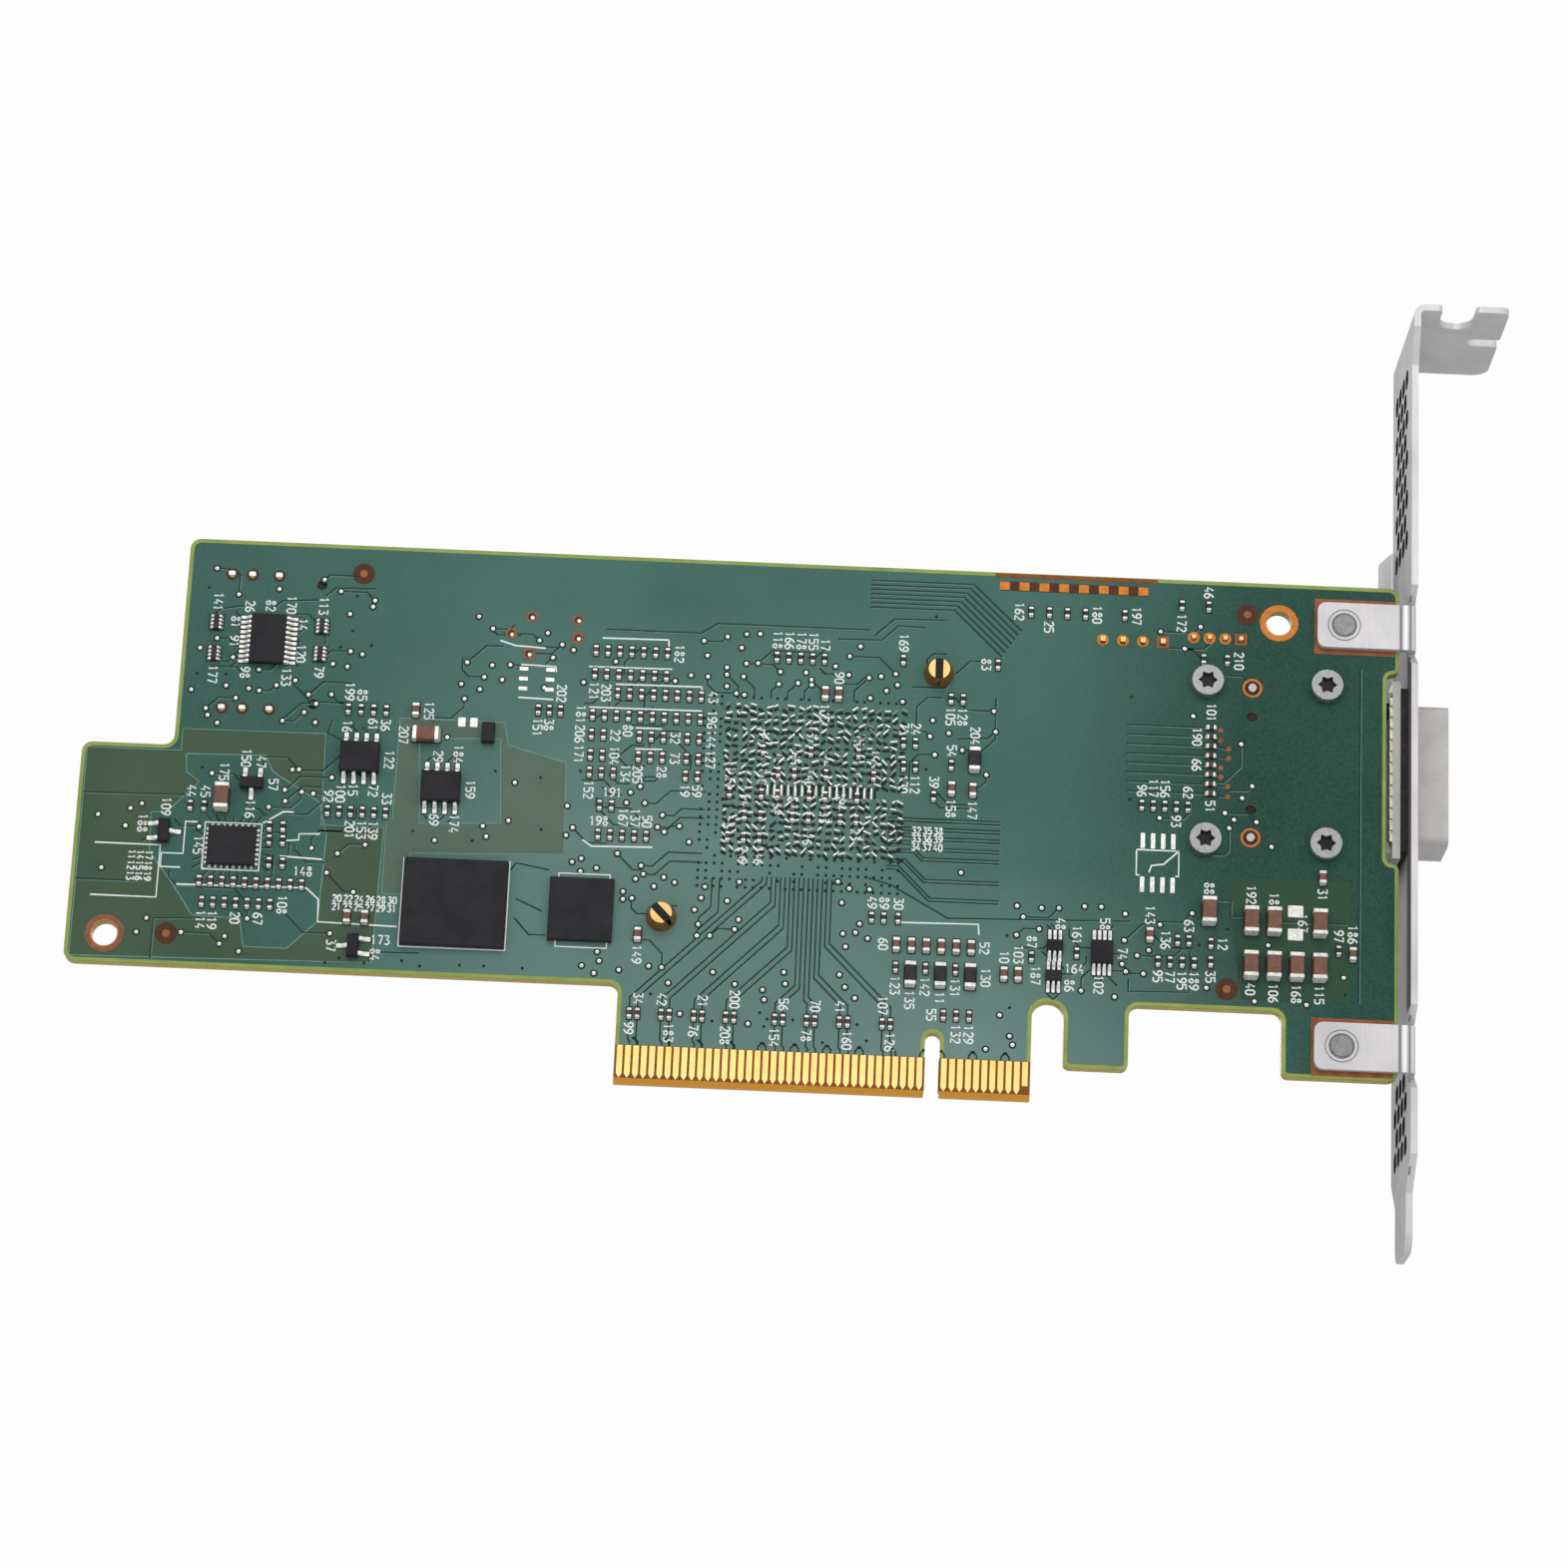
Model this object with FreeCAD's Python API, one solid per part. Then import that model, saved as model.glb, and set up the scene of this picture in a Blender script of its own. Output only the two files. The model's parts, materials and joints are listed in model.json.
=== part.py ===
import FreeCAD
import Part
import math
import os

# Host bus adapter: a low-profile storage card on a full-height bracket, in millimetres.
# Origin: middle of the keying notch on the card edge, half way through the board.
# +X runs along the card to the bracket, +Z up from the card edge, -Y is the solder side.

# Board
BOARD_THICKNESS = 1.57
CARD_LENGTH = 167.65
BOARD_HEIGHT = 68.9
BOARD_CORNER_RADIUS = 1.3
STEP_WIDTH = 11.5
STEP_DROP = 27.7
SHOULDER_HEIGHT = 12.6
SHOULDER_RADIUS = 1.2
RETAINER_SLOT_WIDTH = 4.0
RETAINER_WIDTH = 8.0
RETAINER_CORNER_RADIUS = 0.8
FOOT_WIDTH = 14.4
FOOT_HEIGHT = 4.3

# Card edge and its contacts
KEY_NOTCH_WIDTH = 1.9
KEY_NOTCH_DEPTH = 8.0
SLOT_END_ROUNDING = 0.96
CONTACT_PITCH = 1.0
CONTACT_WIDTH = 0.7
CONTACT_TOP = 4.8
CONTACT_POINT = 0.55
CONTACT_THICKNESS = 0.05
CONTACTS_SHORT_SIDE = 11
CONTACTS_LONG_SIDE = 38
KEY_CONTACT_GAP = 3.0
TONGUE_MARGIN = 0.65
BEVEL_HEIGHT = 0.65
BEVEL_DEPTH = 0.3
SHORT_CONTACT_LIFT = 1.1
SHORT_CONTACTS_SOLDER_SIDE = (1,)
SHORT_CONTACTS_COMPONENT_SIDE = (17, 31, 48)

# Bracket
BRACKET_X = 58.72
BRACKET_THICKNESS = 0.86
BRACKET_WIDTH = 18.42
BRACKET_OVERHANG = 2.5
BRACKET_CLEARANCE = 1.22
BEND_RADIUS = 0.6
EAR_LENGTH = 11.7
EAR_HEIGHT = 6.0
EAR_RELIEF_RISE = 2.0
EAR_RELIEF_GAP = 0.3
UPPER_EAR_DROP = 5.45
LOWER_EAR_RISE = 4.05
EAR_HOLE_INSET = 3.4
EAR_CORNER_RADIUS = 1.1
TAB_HEIGHT = 105.5
TAB_REACH = 11.43
TAB_OVERHANG = 2.3
FLARE_DROP = 6.7
FLARE_RISE = 4.5
SCREW_NOTCH_WIDTH = 4.42
SCREW_NOTCH_DEPTH = 5.7
SCREW_NOTCH_REACH = 5.0
SIDE_SLOT_WIDTH = 2.1
SIDE_SLOT_DEPTH = 4.2
SIDE_SLOT_INSET = 9.9
TONGUE_TIP_DROP = 16.4
TONGUE_WIDTH = 10.19
TONGUE_INSET = 4.4
TONGUE_SHOULDER_DROP = 5.2
TONGUE_TAPER = 3.9
TONGUE_TIP_RADIUS = 2.4
FLANGE_DEPTH = 1.9
FLANGE_TOP = 79.4
FLANGE_BOTTOM = 15.0
FLANGE_CHAMFER = 1.6

# Hexagonal vents in the bracket
VENT_ACROSS_FLATS = 2.5
VENT_PITCH = 3.2
VENT_COLUMNS = 4
VENT_INSET = 2.6
UPPER_VENT_ROWS = 9
UPPER_VENT_BOTTOM = 76.6
LOWER_VENT_ROWS = 4
LOWER_VENT_BOTTOM = -3.1

# Bracket screws
BRACKET_SCREW_RADIUS = 1.35
BRACKET_SCREW_HEAD_RADIUS = 2.6
BRACKET_SCREW_HEAD_HEIGHT = 1.8
BRACKET_SCREW_RECESS = 0.12
CROSS_ARM_WIDTH = 0.68
CROSS_DEPTH = 0.9
SCREW_CLEARANCE = 0.1

# Sides of thin round bars and of heads, and chords of corners rounded by no more than the small rounding
BAR_SIDE_COUNT = 8
HEAD_SIDE_COUNT = 20
SMALL_ROUNDING = 1.4
SMALL_ROUNDING_CHORDS = 4

# External port
PORT_FRACTION_UP = 0.5728
PORT_NOSE_WIDTH = 18.5
PORT_NOSE_HEIGHT = 8.0
PORT_NOSE_LIFT = 0.12
PORT_NOSE_REACH = 4.4
PORT_NOSE_RADIUS = 1.0
PORT_MOUTH_WIDTH = 16.2
PORT_MOUTH_HEIGHT = 5.8
PORT_SHELL_LENGTH = 28.0
PORT_SHELL_WIDTH = 21.2
PORT_SHELL_HEIGHT = 10.2
PORT_SHELL_WALL = 1.4
PORT_SHELL_EDGE_RADIUS = 1.12
PORT_FLANGE_WIDTH = 23.4
PORT_FLANGE_THICKNESS = 1.0
PORT_FLANGE_DROP = 1.3
PORT_CUTOUT_WIDTH = 25.1
PORT_CUTOUT_DEPTH = 1.6
PORT_CUTOUT_RADIUS = 0.8
GASKET_THICKNESS = 1.0
GASKET_MARGIN = 1.5
GASKET_CLEARANCE = 0.1
WINDOW_CLEARANCE = 0.25
PORT_SCREW_SPACING_X = 15.1
PORT_SCREW_SPACING_Z = 20.9
PORT_SCREW_INSET = 9.4
PORT_SCREW_RADIUS = 1.2
PORT_SCREW_LENGTH = 4.6
PORT_SCREW_HEAD_RADIUS = 2.0
PORT_SCREW_HEAD_HEIGHT = 1.1
PORT_BOSS_HALF = 2.5
DRIVE_OUTER_RADIUS = 1.25
DRIVE_INNER_RADIUS = 0.85
DRIVE_DEPTH = 0.6
DRIVE_LOBE_COUNT = 6
PORT_POST_RADIUS = 0.55
PORT_POST_INSET = 18.6
PORT_POST_TIP = 0.3
SHIELD_FINGER_COUNT = 13
SHIELD_FINGER_PITCH = 1.5
SHIELD_FINGER_WIDTH = 0.95
SHIELD_FINGER_THICKNESS = 0.35
SHIELD_FINGER_LENGTH = 1.1

# Contact block inside the external port
PORT_BLOCK_LENGTH = 13.0
PORT_BLOCK_WIDTH = 15.8
PORT_BLOCK_HEIGHT = 7.6
PORT_BLOCK_SETBACK = 17.0
PORT_SLOT_WIDTH = 12.4
PORT_SLOT_HEIGHT = 1.8
PORT_SLOT_DEPTH = 8.0
PEG_RADIUS = 0.6
PEG_SPACING = 12.3
PEG_TIP_SETBACK = 0.3
PORT_CONTACT_COUNT = 13
PORT_CONTACT_PITCH = 0.8
PORT_CONTACT_WIDTH = 0.4
PORT_CONTACT_THICKNESS = 0.2
HOLE_CLEARANCE = 0.2
PEG_CLEARANCE = 0.1

# Internal port at the free end
INNER_PORT_INSET = 1.1
INNER_PORT_DROP = 13.55
INNER_PORT_LENGTH = 18.0
INNER_PORT_WIDTH = 18.4
INNER_PORT_HEIGHT = 8.2
INNER_PORT_SHEET = 0.5
INNER_PORT_MOUTH_DEPTH = 9.5
INNER_LEG_OFFSETS = (4.5, 7.1, 10.5)
INNER_LEG_WIDTH = 0.8
INNER_LEG_TIP = 0.5
INNER_PEG_INSET = 16.0
INNER_PEG_SPACING = 16.0
INNER_SLOT_WIDTH = 15.2
INNER_CONTACT_COUNT = 18
INNER_CLEARANCE = 0.1

# Pin headers near the top edge
WIDE_HEADER_PITCH = 2.54
WIDE_HEADER_INSET = 30.0
WIDE_HEADER_CLEARANCE = 1.33
NARROW_HEADER_PITCH = 2.0
NARROW_HEADER_INSET = 20.1
NARROW_HEADER_CLEARANCE = 2.4
HEADER_PIN_COUNT = 4
HEADER_PIN_HEIGHT = 8.5
HEADER_PIN_TIP = 0.6

# Controller chip, thermal pad and heat sink
CONTROLLER_FRACTION_ALONG = 0.547
CONTROLLER_FRACTION_UP = 0.4547
CONTROLLER_SIZE = 27.0
CONTROLLER_SUBSTRATE = 1.0
CONTROLLER_CAP_INSET = 1.2
CONTROLLER_CAP_HEIGHT = 1.1
THERMAL_PAD_THICKNESS = 0.3
SINK_SIZE = 41.0
SINK_BASE_THICKNESS = 2.2
SINK_FIN_COUNT = 12
SINK_FIN_THICKNESS = 0.9
SINK_FIN_HEIGHT = 7.4
SINK_PIN_OFFSET = 16.75
SINK_CORNER_POCKET = 8.0
SINK_PIN_RADIUS = 1.5
SINK_PIN_HEAD_RADIUS = 3.0
SINK_PIN_HEAD_HEIGHT = 1.0
SINK_PIN_BARB_RADIUS = 1.95
SINK_PIN_BARB_LENGTH = 2.0
SINK_PIN_TIP_RADIUS = 1.35
SINK_PIN_SLOT = 0.5
SINK_PIN_SLOT_DEPTH = 3.4
SINK_PIN_SLOT_ANGLES = (90, 45)
SPRING_HEIGHT = 4.6
SPRING_TURN_COUNT = 4
SPRING_STEP_COUNT = 7
SPRING_WIRE_RADIUS = 0.28
SPRING_RADIUS = 2.2

# Mounting holes of the board
MOUNTING_HOLE_RADIUS = 1.6
FREE_HOLE_INSET = 4.85
FREE_HOLE_RISE = 3.7
BRACKET_HOLE_INSET = 15.3
BRACKET_HOLE_DROP = 5.3

# Leaded chips: body width, body height and thickness, leads each side and their pitch
LEAD_THICKNESS = 0.15
LEAD_FOOT = 0.55
LEAD_SHOULDER = 0.3
CHIP_CHAMFER_SHARE = 0.12
BUFFER_CHIP = (4.4, 6.5, 1.0)
BUFFER_LEADS = (10, 0.65, 0.28)
SMALL_OUTLINE_CHIP = (4.9, 3.9, 1.4)
SMALL_OUTLINE_LEADS = (4, 1.27, 0.42)
CLOCK_CHIP = (2.7, 3.0, 0.9)
CLOCK_LEADS = (4, 0.65, 0.3)
SUPERVISOR_CHIP = (2.0, 1.35, 0.9)
SUPERVISOR_LEADS = (3, 0.65, 0.28)
SMALL_TRANSISTOR = (1.4, 2.9, 1.0)
TRANSISTOR_PITCH = 1.9
TRANSISTOR_LEAD_WIDTH = 0.45

# Surface-mount parts: length, width, height
BULK_CAPACITOR = (3.2, 1.7, 1.5)
BEAD = (2.9, 1.3, 1.1)
LARGE_CHIP_PART = (1.6, 0.85, 0.75)
SMALL_CHIP_PART = (1.1, 0.55, 0.5)
CAP_END = 0.45
CAP_END_STEP = 0.04

# Derived places
FACE = BOARD_THICKNESS / 2
BRACKET_OUTER_X = BRACKET_X + BRACKET_THICKNESS
BOARD_RIGHT = BRACKET_X - BRACKET_CLEARANCE
FREE_END = BRACKET_OUTER_X - CARD_LENGTH
BOARD_LENGTH = BOARD_RIGHT - FREE_END
FIELD_HEIGHT = BOARD_HEIGHT - SHOULDER_HEIGHT
PORT_Z = SHOULDER_HEIGHT + FIELD_HEIGHT * PORT_FRACTION_UP
CONTROLLER_X = FREE_END + BOARD_LENGTH * CONTROLLER_FRACTION_ALONG
CONTROLLER_Z = SHOULDER_HEIGHT + FIELD_HEIGHT * CONTROLLER_FRACTION_UP
STEP_X = FREE_END + STEP_WIDTH
STEP_Z = BOARD_HEIGHT - STEP_DROP
TONGUE_LEFT = -(KEY_CONTACT_GAP / 2 + (CONTACTS_LONG_SIDE - 1) * CONTACT_PITCH + TONGUE_MARGIN)
TONGUE_RIGHT = KEY_CONTACT_GAP / 2 + (CONTACTS_SHORT_SIDE - 1) * CONTACT_PITCH + TONGUE_MARGIN
RETAINER_LEFT = TONGUE_RIGHT + RETAINER_SLOT_WIDTH
RETAINER_RIGHT = RETAINER_LEFT + RETAINER_WIDTH
FOOT_LEFT = BOARD_RIGHT - FOOT_WIDTH
NEAR_EDGE = -FACE - BRACKET_OVERHANG
FAR_EDGE = NEAR_EDGE + BRACKET_WIDTH
UPPER_EAR_Z = BOARD_HEIGHT - UPPER_EAR_DROP
LOWER_EAR_Z = FOOT_HEIGHT + LOWER_EAR_RISE
EAR_HOLE_X = BRACKET_X - EAR_LENGTH + EAR_HOLE_INSET
EAR_FRONT = -FACE - BRACKET_THICKNESS
TAB_TOP = TAB_HEIGHT + BRACKET_THICKNESS
FLANGE_FRONT_X = BRACKET_X - GASKET_THICKNESS
FLANGE_REAR_X = FLANGE_FRONT_X - PORT_FLANGE_THICKNESS
SHELL_REAR_X = FLANGE_FRONT_X - PORT_SHELL_LENGTH
SHELL_TOP = FACE + PORT_SHELL_HEIGHT
NOSE_LOW = FACE + PORT_NOSE_LIFT
NOSE_HIGH = NOSE_LOW + PORT_NOSE_HEIGHT
NOSE_TIP_X = BRACKET_OUTER_X + PORT_NOSE_REACH
MOUTH_LOW = (NOSE_LOW + NOSE_HIGH - PORT_MOUTH_HEIGHT) / 2
PORT_BLOCK_X = NOSE_TIP_X - PORT_BLOCK_SETBACK - PORT_BLOCK_LENGTH
PORT_POST_X = FLANGE_FRONT_X - PORT_POST_INSET - HOLE_CLEARANCE
PORT_SCREW_X = FLANGE_FRONT_X - PORT_SCREW_INSET
INNER_PORT_X = STEP_X + INNER_PORT_INSET
INNER_PORT_Z = BOARD_HEIGHT - INNER_PORT_DROP
SINK_BASE_Y = FACE + CONTROLLER_SUBSTRATE + CONTROLLER_CAP_HEIGHT + THERMAL_PAD_THICKNESS
SINK_BASE_TOP = SINK_BASE_Y + SINK_BASE_THICKNESS
SOLDER = -1
COMPONENT = 1


def in_plane_xz(y):
    return lambda u, v: FreeCAD.Vector(u, y, v)


def in_plane_yz(x):
    return lambda u, v: FreeCAD.Vector(x, u, v)


def in_plane_xy(z):
    return lambda u, v: FreeCAD.Vector(u, v, z)


def corner_edges(arc, radius):
    """Edges of a rounded corner: the arc itself, or a few chords of it where the corner is small."""
    if radius > SMALL_ROUNDING:
        return [arc.toShape()]
    step = (arc.LastParameter - arc.FirstParameter) / SMALL_ROUNDING_CHORDS
    points = [arc.value(arc.FirstParameter + i * step) for i in range(SMALL_ROUNDING_CHORDS + 1)]
    return [Part.LineSegment(a, b).toShape() for a, b in zip(points, points[1:])]


def rounded_face(corners, place):
    """Flat face from (u, v, radius) corners, rounded at each corner that has a radius."""
    count = len(corners)
    starts, mids, ends = [], [], []
    for i, (u, v, radius) in enumerate(corners):
        before = corners[i - 1]
        after = corners[(i + 1) % count]
        back = FreeCAD.Vector(before[0] - u, before[1] - v, 0)
        ahead = FreeCAD.Vector(after[0] - u, after[1] - v, 0)
        half_angle = back.getAngle(ahead) / 2
        room = 0.49 * min(back.Length, ahead.Length)
        reach = min(radius / math.tan(half_angle), room)
        arc_radius = reach * math.tan(half_angle)
        back.normalize()
        ahead.normalize()
        corner = FreeCAD.Vector(u, v, 0)
        starts.append(corner + back * reach)
        ends.append(corner + ahead * reach)
        bisector = back + ahead
        if radius > 0:
            bisector.normalize()
            middle = corner + bisector * (arc_radius / math.sin(half_angle) - arc_radius)
        else:
            middle = corner
        mids.append(middle)
    edges = []
    for i in range(count):
        start, middle, end = (place(p.x, p.y) for p in (starts[i], mids[i], ends[i]))
        if corners[i][2] > 0:
            edges += corner_edges(Part.Arc(start, middle, end), corners[i][2])
        following = starts[(i + 1) % count]
        line_end = place(following.x, following.y)
        if end.distanceToPoint(line_end) > 1e-6:
            edges.append(Part.LineSegment(end, line_end).toShape())
    return Part.Face(Part.Wire(edges))


def plate_y(corners, y_low, y_high):
    return rounded_face(corners, in_plane_xz(y_low)).extrude(FreeCAD.Vector(0, y_high - y_low, 0))


def plate_x(corners, x_low, x_high):
    return rounded_face(corners, in_plane_yz(x_low)).extrude(FreeCAD.Vector(x_high - x_low, 0, 0))


def plate_z(corners, z_low, z_high):
    return rounded_face(corners, in_plane_xy(z_low)).extrude(FreeCAD.Vector(0, 0, z_high - z_low))


def rectangle(u_low, u_high, v_low, v_high, radius=0.0):
    return [
        (u_low, v_low, radius),
        (u_high, v_low, radius),
        (u_high, v_high, radius),
        (u_low, v_high, radius),
    ]


def block(x_low, x_high, y_low, y_high, z_low, z_high):
    corner = FreeCAD.Vector(x_low, y_low, z_low)
    return Part.makeBox(x_high - x_low, y_high - y_low, z_high - z_low, corner)


def rod_y(x, z, radius, y_low, y_high):
    return Part.makeCylinder(radius, y_high - y_low, FreeCAD.Vector(x, y_low, z), FreeCAD.Vector(0, 1, 0))


def many_sided(x, z, radius, sides):
    angles = [2 * math.pi * i / sides for i in range(sides)]
    return [(x + radius * math.cos(a), z + radius * math.sin(a), 0) for a in angles]


def bar_y(x, z, radius, y_low, y_high, sides=BAR_SIDE_COUNT):
    """Many-sided bar that stands for a thin round one, such as a shank, a peg or the hole around it."""
    return plate_y(many_sided(x, z, radius, sides), y_low, y_high)


def head_y(x, z, radius, y_low, y_high):
    """Head of a screw or a pin, nearly round."""
    return bar_y(x, z, radius, y_low, y_high, HEAD_SIDE_COUNT)


def square_bar_y(x, z, half, y_low, y_high):
    return block(x - half, x + half, y_low, y_high, z - half, z + half)


def cone_y(x, z, low_radius, high_radius, y_low, y_high):
    """Blunt cone along Y, nearly round."""
    wires = []
    for radius, y in ((low_radius, y_low), (high_radius, y_high)):
        wires.append(rounded_face(many_sided(x, z, radius, HEAD_SIDE_COUNT), in_plane_xz(y)).OuterWire)
    return Part.makeLoft(wires, True, True)


def fused(first, *others):
    return first.fuse(list(others)).removeSplitter()


def on_side(side, low, high):
    """Y span of something between two heights above one face of the board."""
    ends = (side * (FACE + low), side * (FACE + high))
    return min(ends), max(ends)


def save(name, solids):
    shape = solids[0] if len(solids) == 1 else Part.makeCompound(solids)
    shape.exportStep("parts/" + name + ".step")


# Board


def board_outline():
    slot_radius = RETAINER_SLOT_WIDTH / 2 * SLOT_END_ROUNDING
    key_radius = KEY_NOTCH_WIDTH / 2 * SLOT_END_ROUNDING
    cut_low = PORT_Z - PORT_CUTOUT_WIDTH / 2
    cut_high = PORT_Z + PORT_CUTOUT_WIDTH / 2
    cut_x = BOARD_RIGHT - PORT_CUTOUT_DEPTH
    key = KEY_NOTCH_WIDTH / 2
    return [
        (TONGUE_LEFT, 0, 0),
        (-key, 0, 0),
        (-key, KEY_NOTCH_DEPTH, key_radius),
        (key, KEY_NOTCH_DEPTH, key_radius),
        (key, 0, 0),
        (TONGUE_RIGHT, 0, 0),
        (TONGUE_RIGHT, SHOULDER_HEIGHT, slot_radius),
        (RETAINER_LEFT, SHOULDER_HEIGHT, slot_radius),
        (RETAINER_LEFT, FOOT_HEIGHT, RETAINER_CORNER_RADIUS),
        (RETAINER_RIGHT, FOOT_HEIGHT, RETAINER_CORNER_RADIUS),
        (RETAINER_RIGHT, SHOULDER_HEIGHT, SHOULDER_RADIUS),
        (FOOT_LEFT, SHOULDER_HEIGHT, SHOULDER_RADIUS),
        (FOOT_LEFT, FOOT_HEIGHT, RETAINER_CORNER_RADIUS),
        (BOARD_RIGHT, FOOT_HEIGHT, BOARD_CORNER_RADIUS),
        (BOARD_RIGHT, cut_low, PORT_CUTOUT_RADIUS),
        (cut_x, cut_low, PORT_CUTOUT_RADIUS),
        (cut_x, cut_high, PORT_CUTOUT_RADIUS),
        (BOARD_RIGHT, cut_high, PORT_CUTOUT_RADIUS),
        (BOARD_RIGHT, BOARD_HEIGHT, BOARD_CORNER_RADIUS),
        (STEP_X, BOARD_HEIGHT, BOARD_CORNER_RADIUS),
        (STEP_X, STEP_Z, BOARD_CORNER_RADIUS),
        (FREE_END, STEP_Z, BOARD_CORNER_RADIUS),
        (FREE_END, SHOULDER_HEIGHT, BOARD_CORNER_RADIUS),
        (TONGUE_LEFT, SHOULDER_HEIGHT, SHOULDER_RADIUS),
    ]


def mounting_holes():
    return [
        (FREE_END + FREE_HOLE_INSET, SHOULDER_HEIGHT + FREE_HOLE_RISE),
        (BOARD_RIGHT - BRACKET_HOLE_INSET, BOARD_HEIGHT - BRACKET_HOLE_DROP),
    ]


def ear_holes():
    return [(EAR_HOLE_X, UPPER_EAR_Z), (EAR_HOLE_X, LOWER_EAR_Z)]


def sink_pin_places():
    return [(CONTROLLER_X + s * SINK_PIN_OFFSET, CONTROLLER_Z + s * SINK_PIN_OFFSET) for s in (1, -1)]


def port_screw_places():
    half = PORT_SCREW_SPACING_Z / 2
    columns = (PORT_SCREW_X - PORT_SCREW_SPACING_X, PORT_SCREW_X)
    return [(x, PORT_Z + s * half) for x in columns for s in (1, -1)]


def port_post_places():
    offset = (PORT_SHELL_WIDTH - PORT_SHELL_WALL) / 2
    return [(PORT_POST_X, PORT_Z + s * offset) for s in (1, -1)]


def port_peg_places():
    return [(PORT_POST_X, PORT_Z + s * PEG_SPACING / 2) for s in (1, -1)]


def inner_leg_places():
    half = (INNER_PORT_WIDTH - INNER_PORT_SHEET) / 2
    return [(INNER_PORT_X + x, INNER_PORT_Z + s * half) for x in INNER_LEG_OFFSETS for s in (1, -1)]


def inner_peg_places():
    half = INNER_PEG_SPACING / 2
    return [(INNER_PORT_X + INNER_PEG_INSET, INNER_PORT_Z + s * half) for s in (1, -1)]


def header_places(inset, clearance, pitch):
    """Pins of one header, whose base stands clear of the bosses of the port."""
    last = BOARD_RIGHT - inset
    z = PORT_Z + PORT_SCREW_SPACING_Z / 2 + PORT_BOSS_HALF + clearance + pitch / 2
    return [(last - i * pitch, z) for i in range(HEADER_PIN_COUNT)]


def wide_header_places():
    return header_places(WIDE_HEADER_INSET, WIDE_HEADER_CLEARANCE, WIDE_HEADER_PITCH)


def narrow_header_places():
    return header_places(NARROW_HEADER_INSET, NARROW_HEADER_CLEARANCE, NARROW_HEADER_PITCH)


def header_pin_width(pitch):
    return pitch / 4


def board_bars(y_low, y_high):
    """Every drilled hole of the board as the bar that it takes out."""
    bars = [rod_y(x, z, MOUNTING_HOLE_RADIUS, y_low, y_high) for x, z in mounting_holes()]
    for places, radius in (
        (ear_holes(), BRACKET_SCREW_RADIUS + HOLE_CLEARANCE),
        (sink_pin_places(), SINK_PIN_RADIUS + SCREW_CLEARANCE),
        (port_screw_places(), PORT_SCREW_RADIUS + HOLE_CLEARANCE),
        (port_post_places(), PORT_POST_RADIUS + HOLE_CLEARANCE),
        (port_peg_places(), PEG_RADIUS + PEG_CLEARANCE),
        (inner_peg_places(), PEG_RADIUS + PEG_CLEARANCE),
    ):
        bars += [bar_y(x, z, radius, y_low, y_high) for x, z in places]
    for places, half in (
        (inner_leg_places(), max(INNER_LEG_WIDTH, INNER_PORT_SHEET) / 2 + PEG_CLEARANCE),
        (wide_header_places(), header_pin_width(WIDE_HEADER_PITCH) / 2 + PEG_CLEARANCE),
        (narrow_header_places(), header_pin_width(NARROW_HEADER_PITCH) / 2 + PEG_CLEARANCE),
    ):
        bars += [square_bar_y(x, z, half, y_low, y_high) for x, z in places]
    return bars


def circuit_board():
    board = plate_y(board_outline(), -FACE, FACE)
    cuts = board_bars(-FACE, FACE)
    for side in (SOLDER, COMPONENT):
        bevel = [(side * FACE, 0, 0), (side * (FACE - BEVEL_DEPTH), 0, 0), (side * FACE, BEVEL_HEIGHT, 0)]
        cuts.append(plate_x(bevel, TONGUE_LEFT, TONGUE_RIGHT))
    return board.cut(cuts)


# Card-edge contacts


def contact_places():
    """Contact centres from the bracket end to the free end."""
    first = KEY_CONTACT_GAP / 2
    short_side = [first + i * CONTACT_PITCH for i in reversed(range(CONTACTS_SHORT_SIDE))]
    long_side = [-first - i * CONTACT_PITCH for i in range(CONTACTS_LONG_SIDE)]
    return short_side + long_side


def edge_contacts(side, short_numbers):
    y_low, y_high = on_side(side, 0, CONTACT_THICKNESS)
    half = CONTACT_WIDTH / 2
    solids = []
    for number, x in enumerate(contact_places(), start=1):
        if number in short_numbers:
            shape = rectangle(x - half, x + half, BEVEL_HEIGHT + SHORT_CONTACT_LIFT, CONTACT_TOP)
        else:
            shoulder = BEVEL_HEIGHT + CONTACT_POINT
            shape = [
                (x, BEVEL_HEIGHT, 0),
                (x + half, shoulder, 0),
                (x + half, CONTACT_TOP, 0),
                (x - half, CONTACT_TOP, 0),
                (x - half, shoulder, 0),
            ]
        solids.append(plate_y(shape, y_low, y_high))
    return solids


# Bracket


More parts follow.
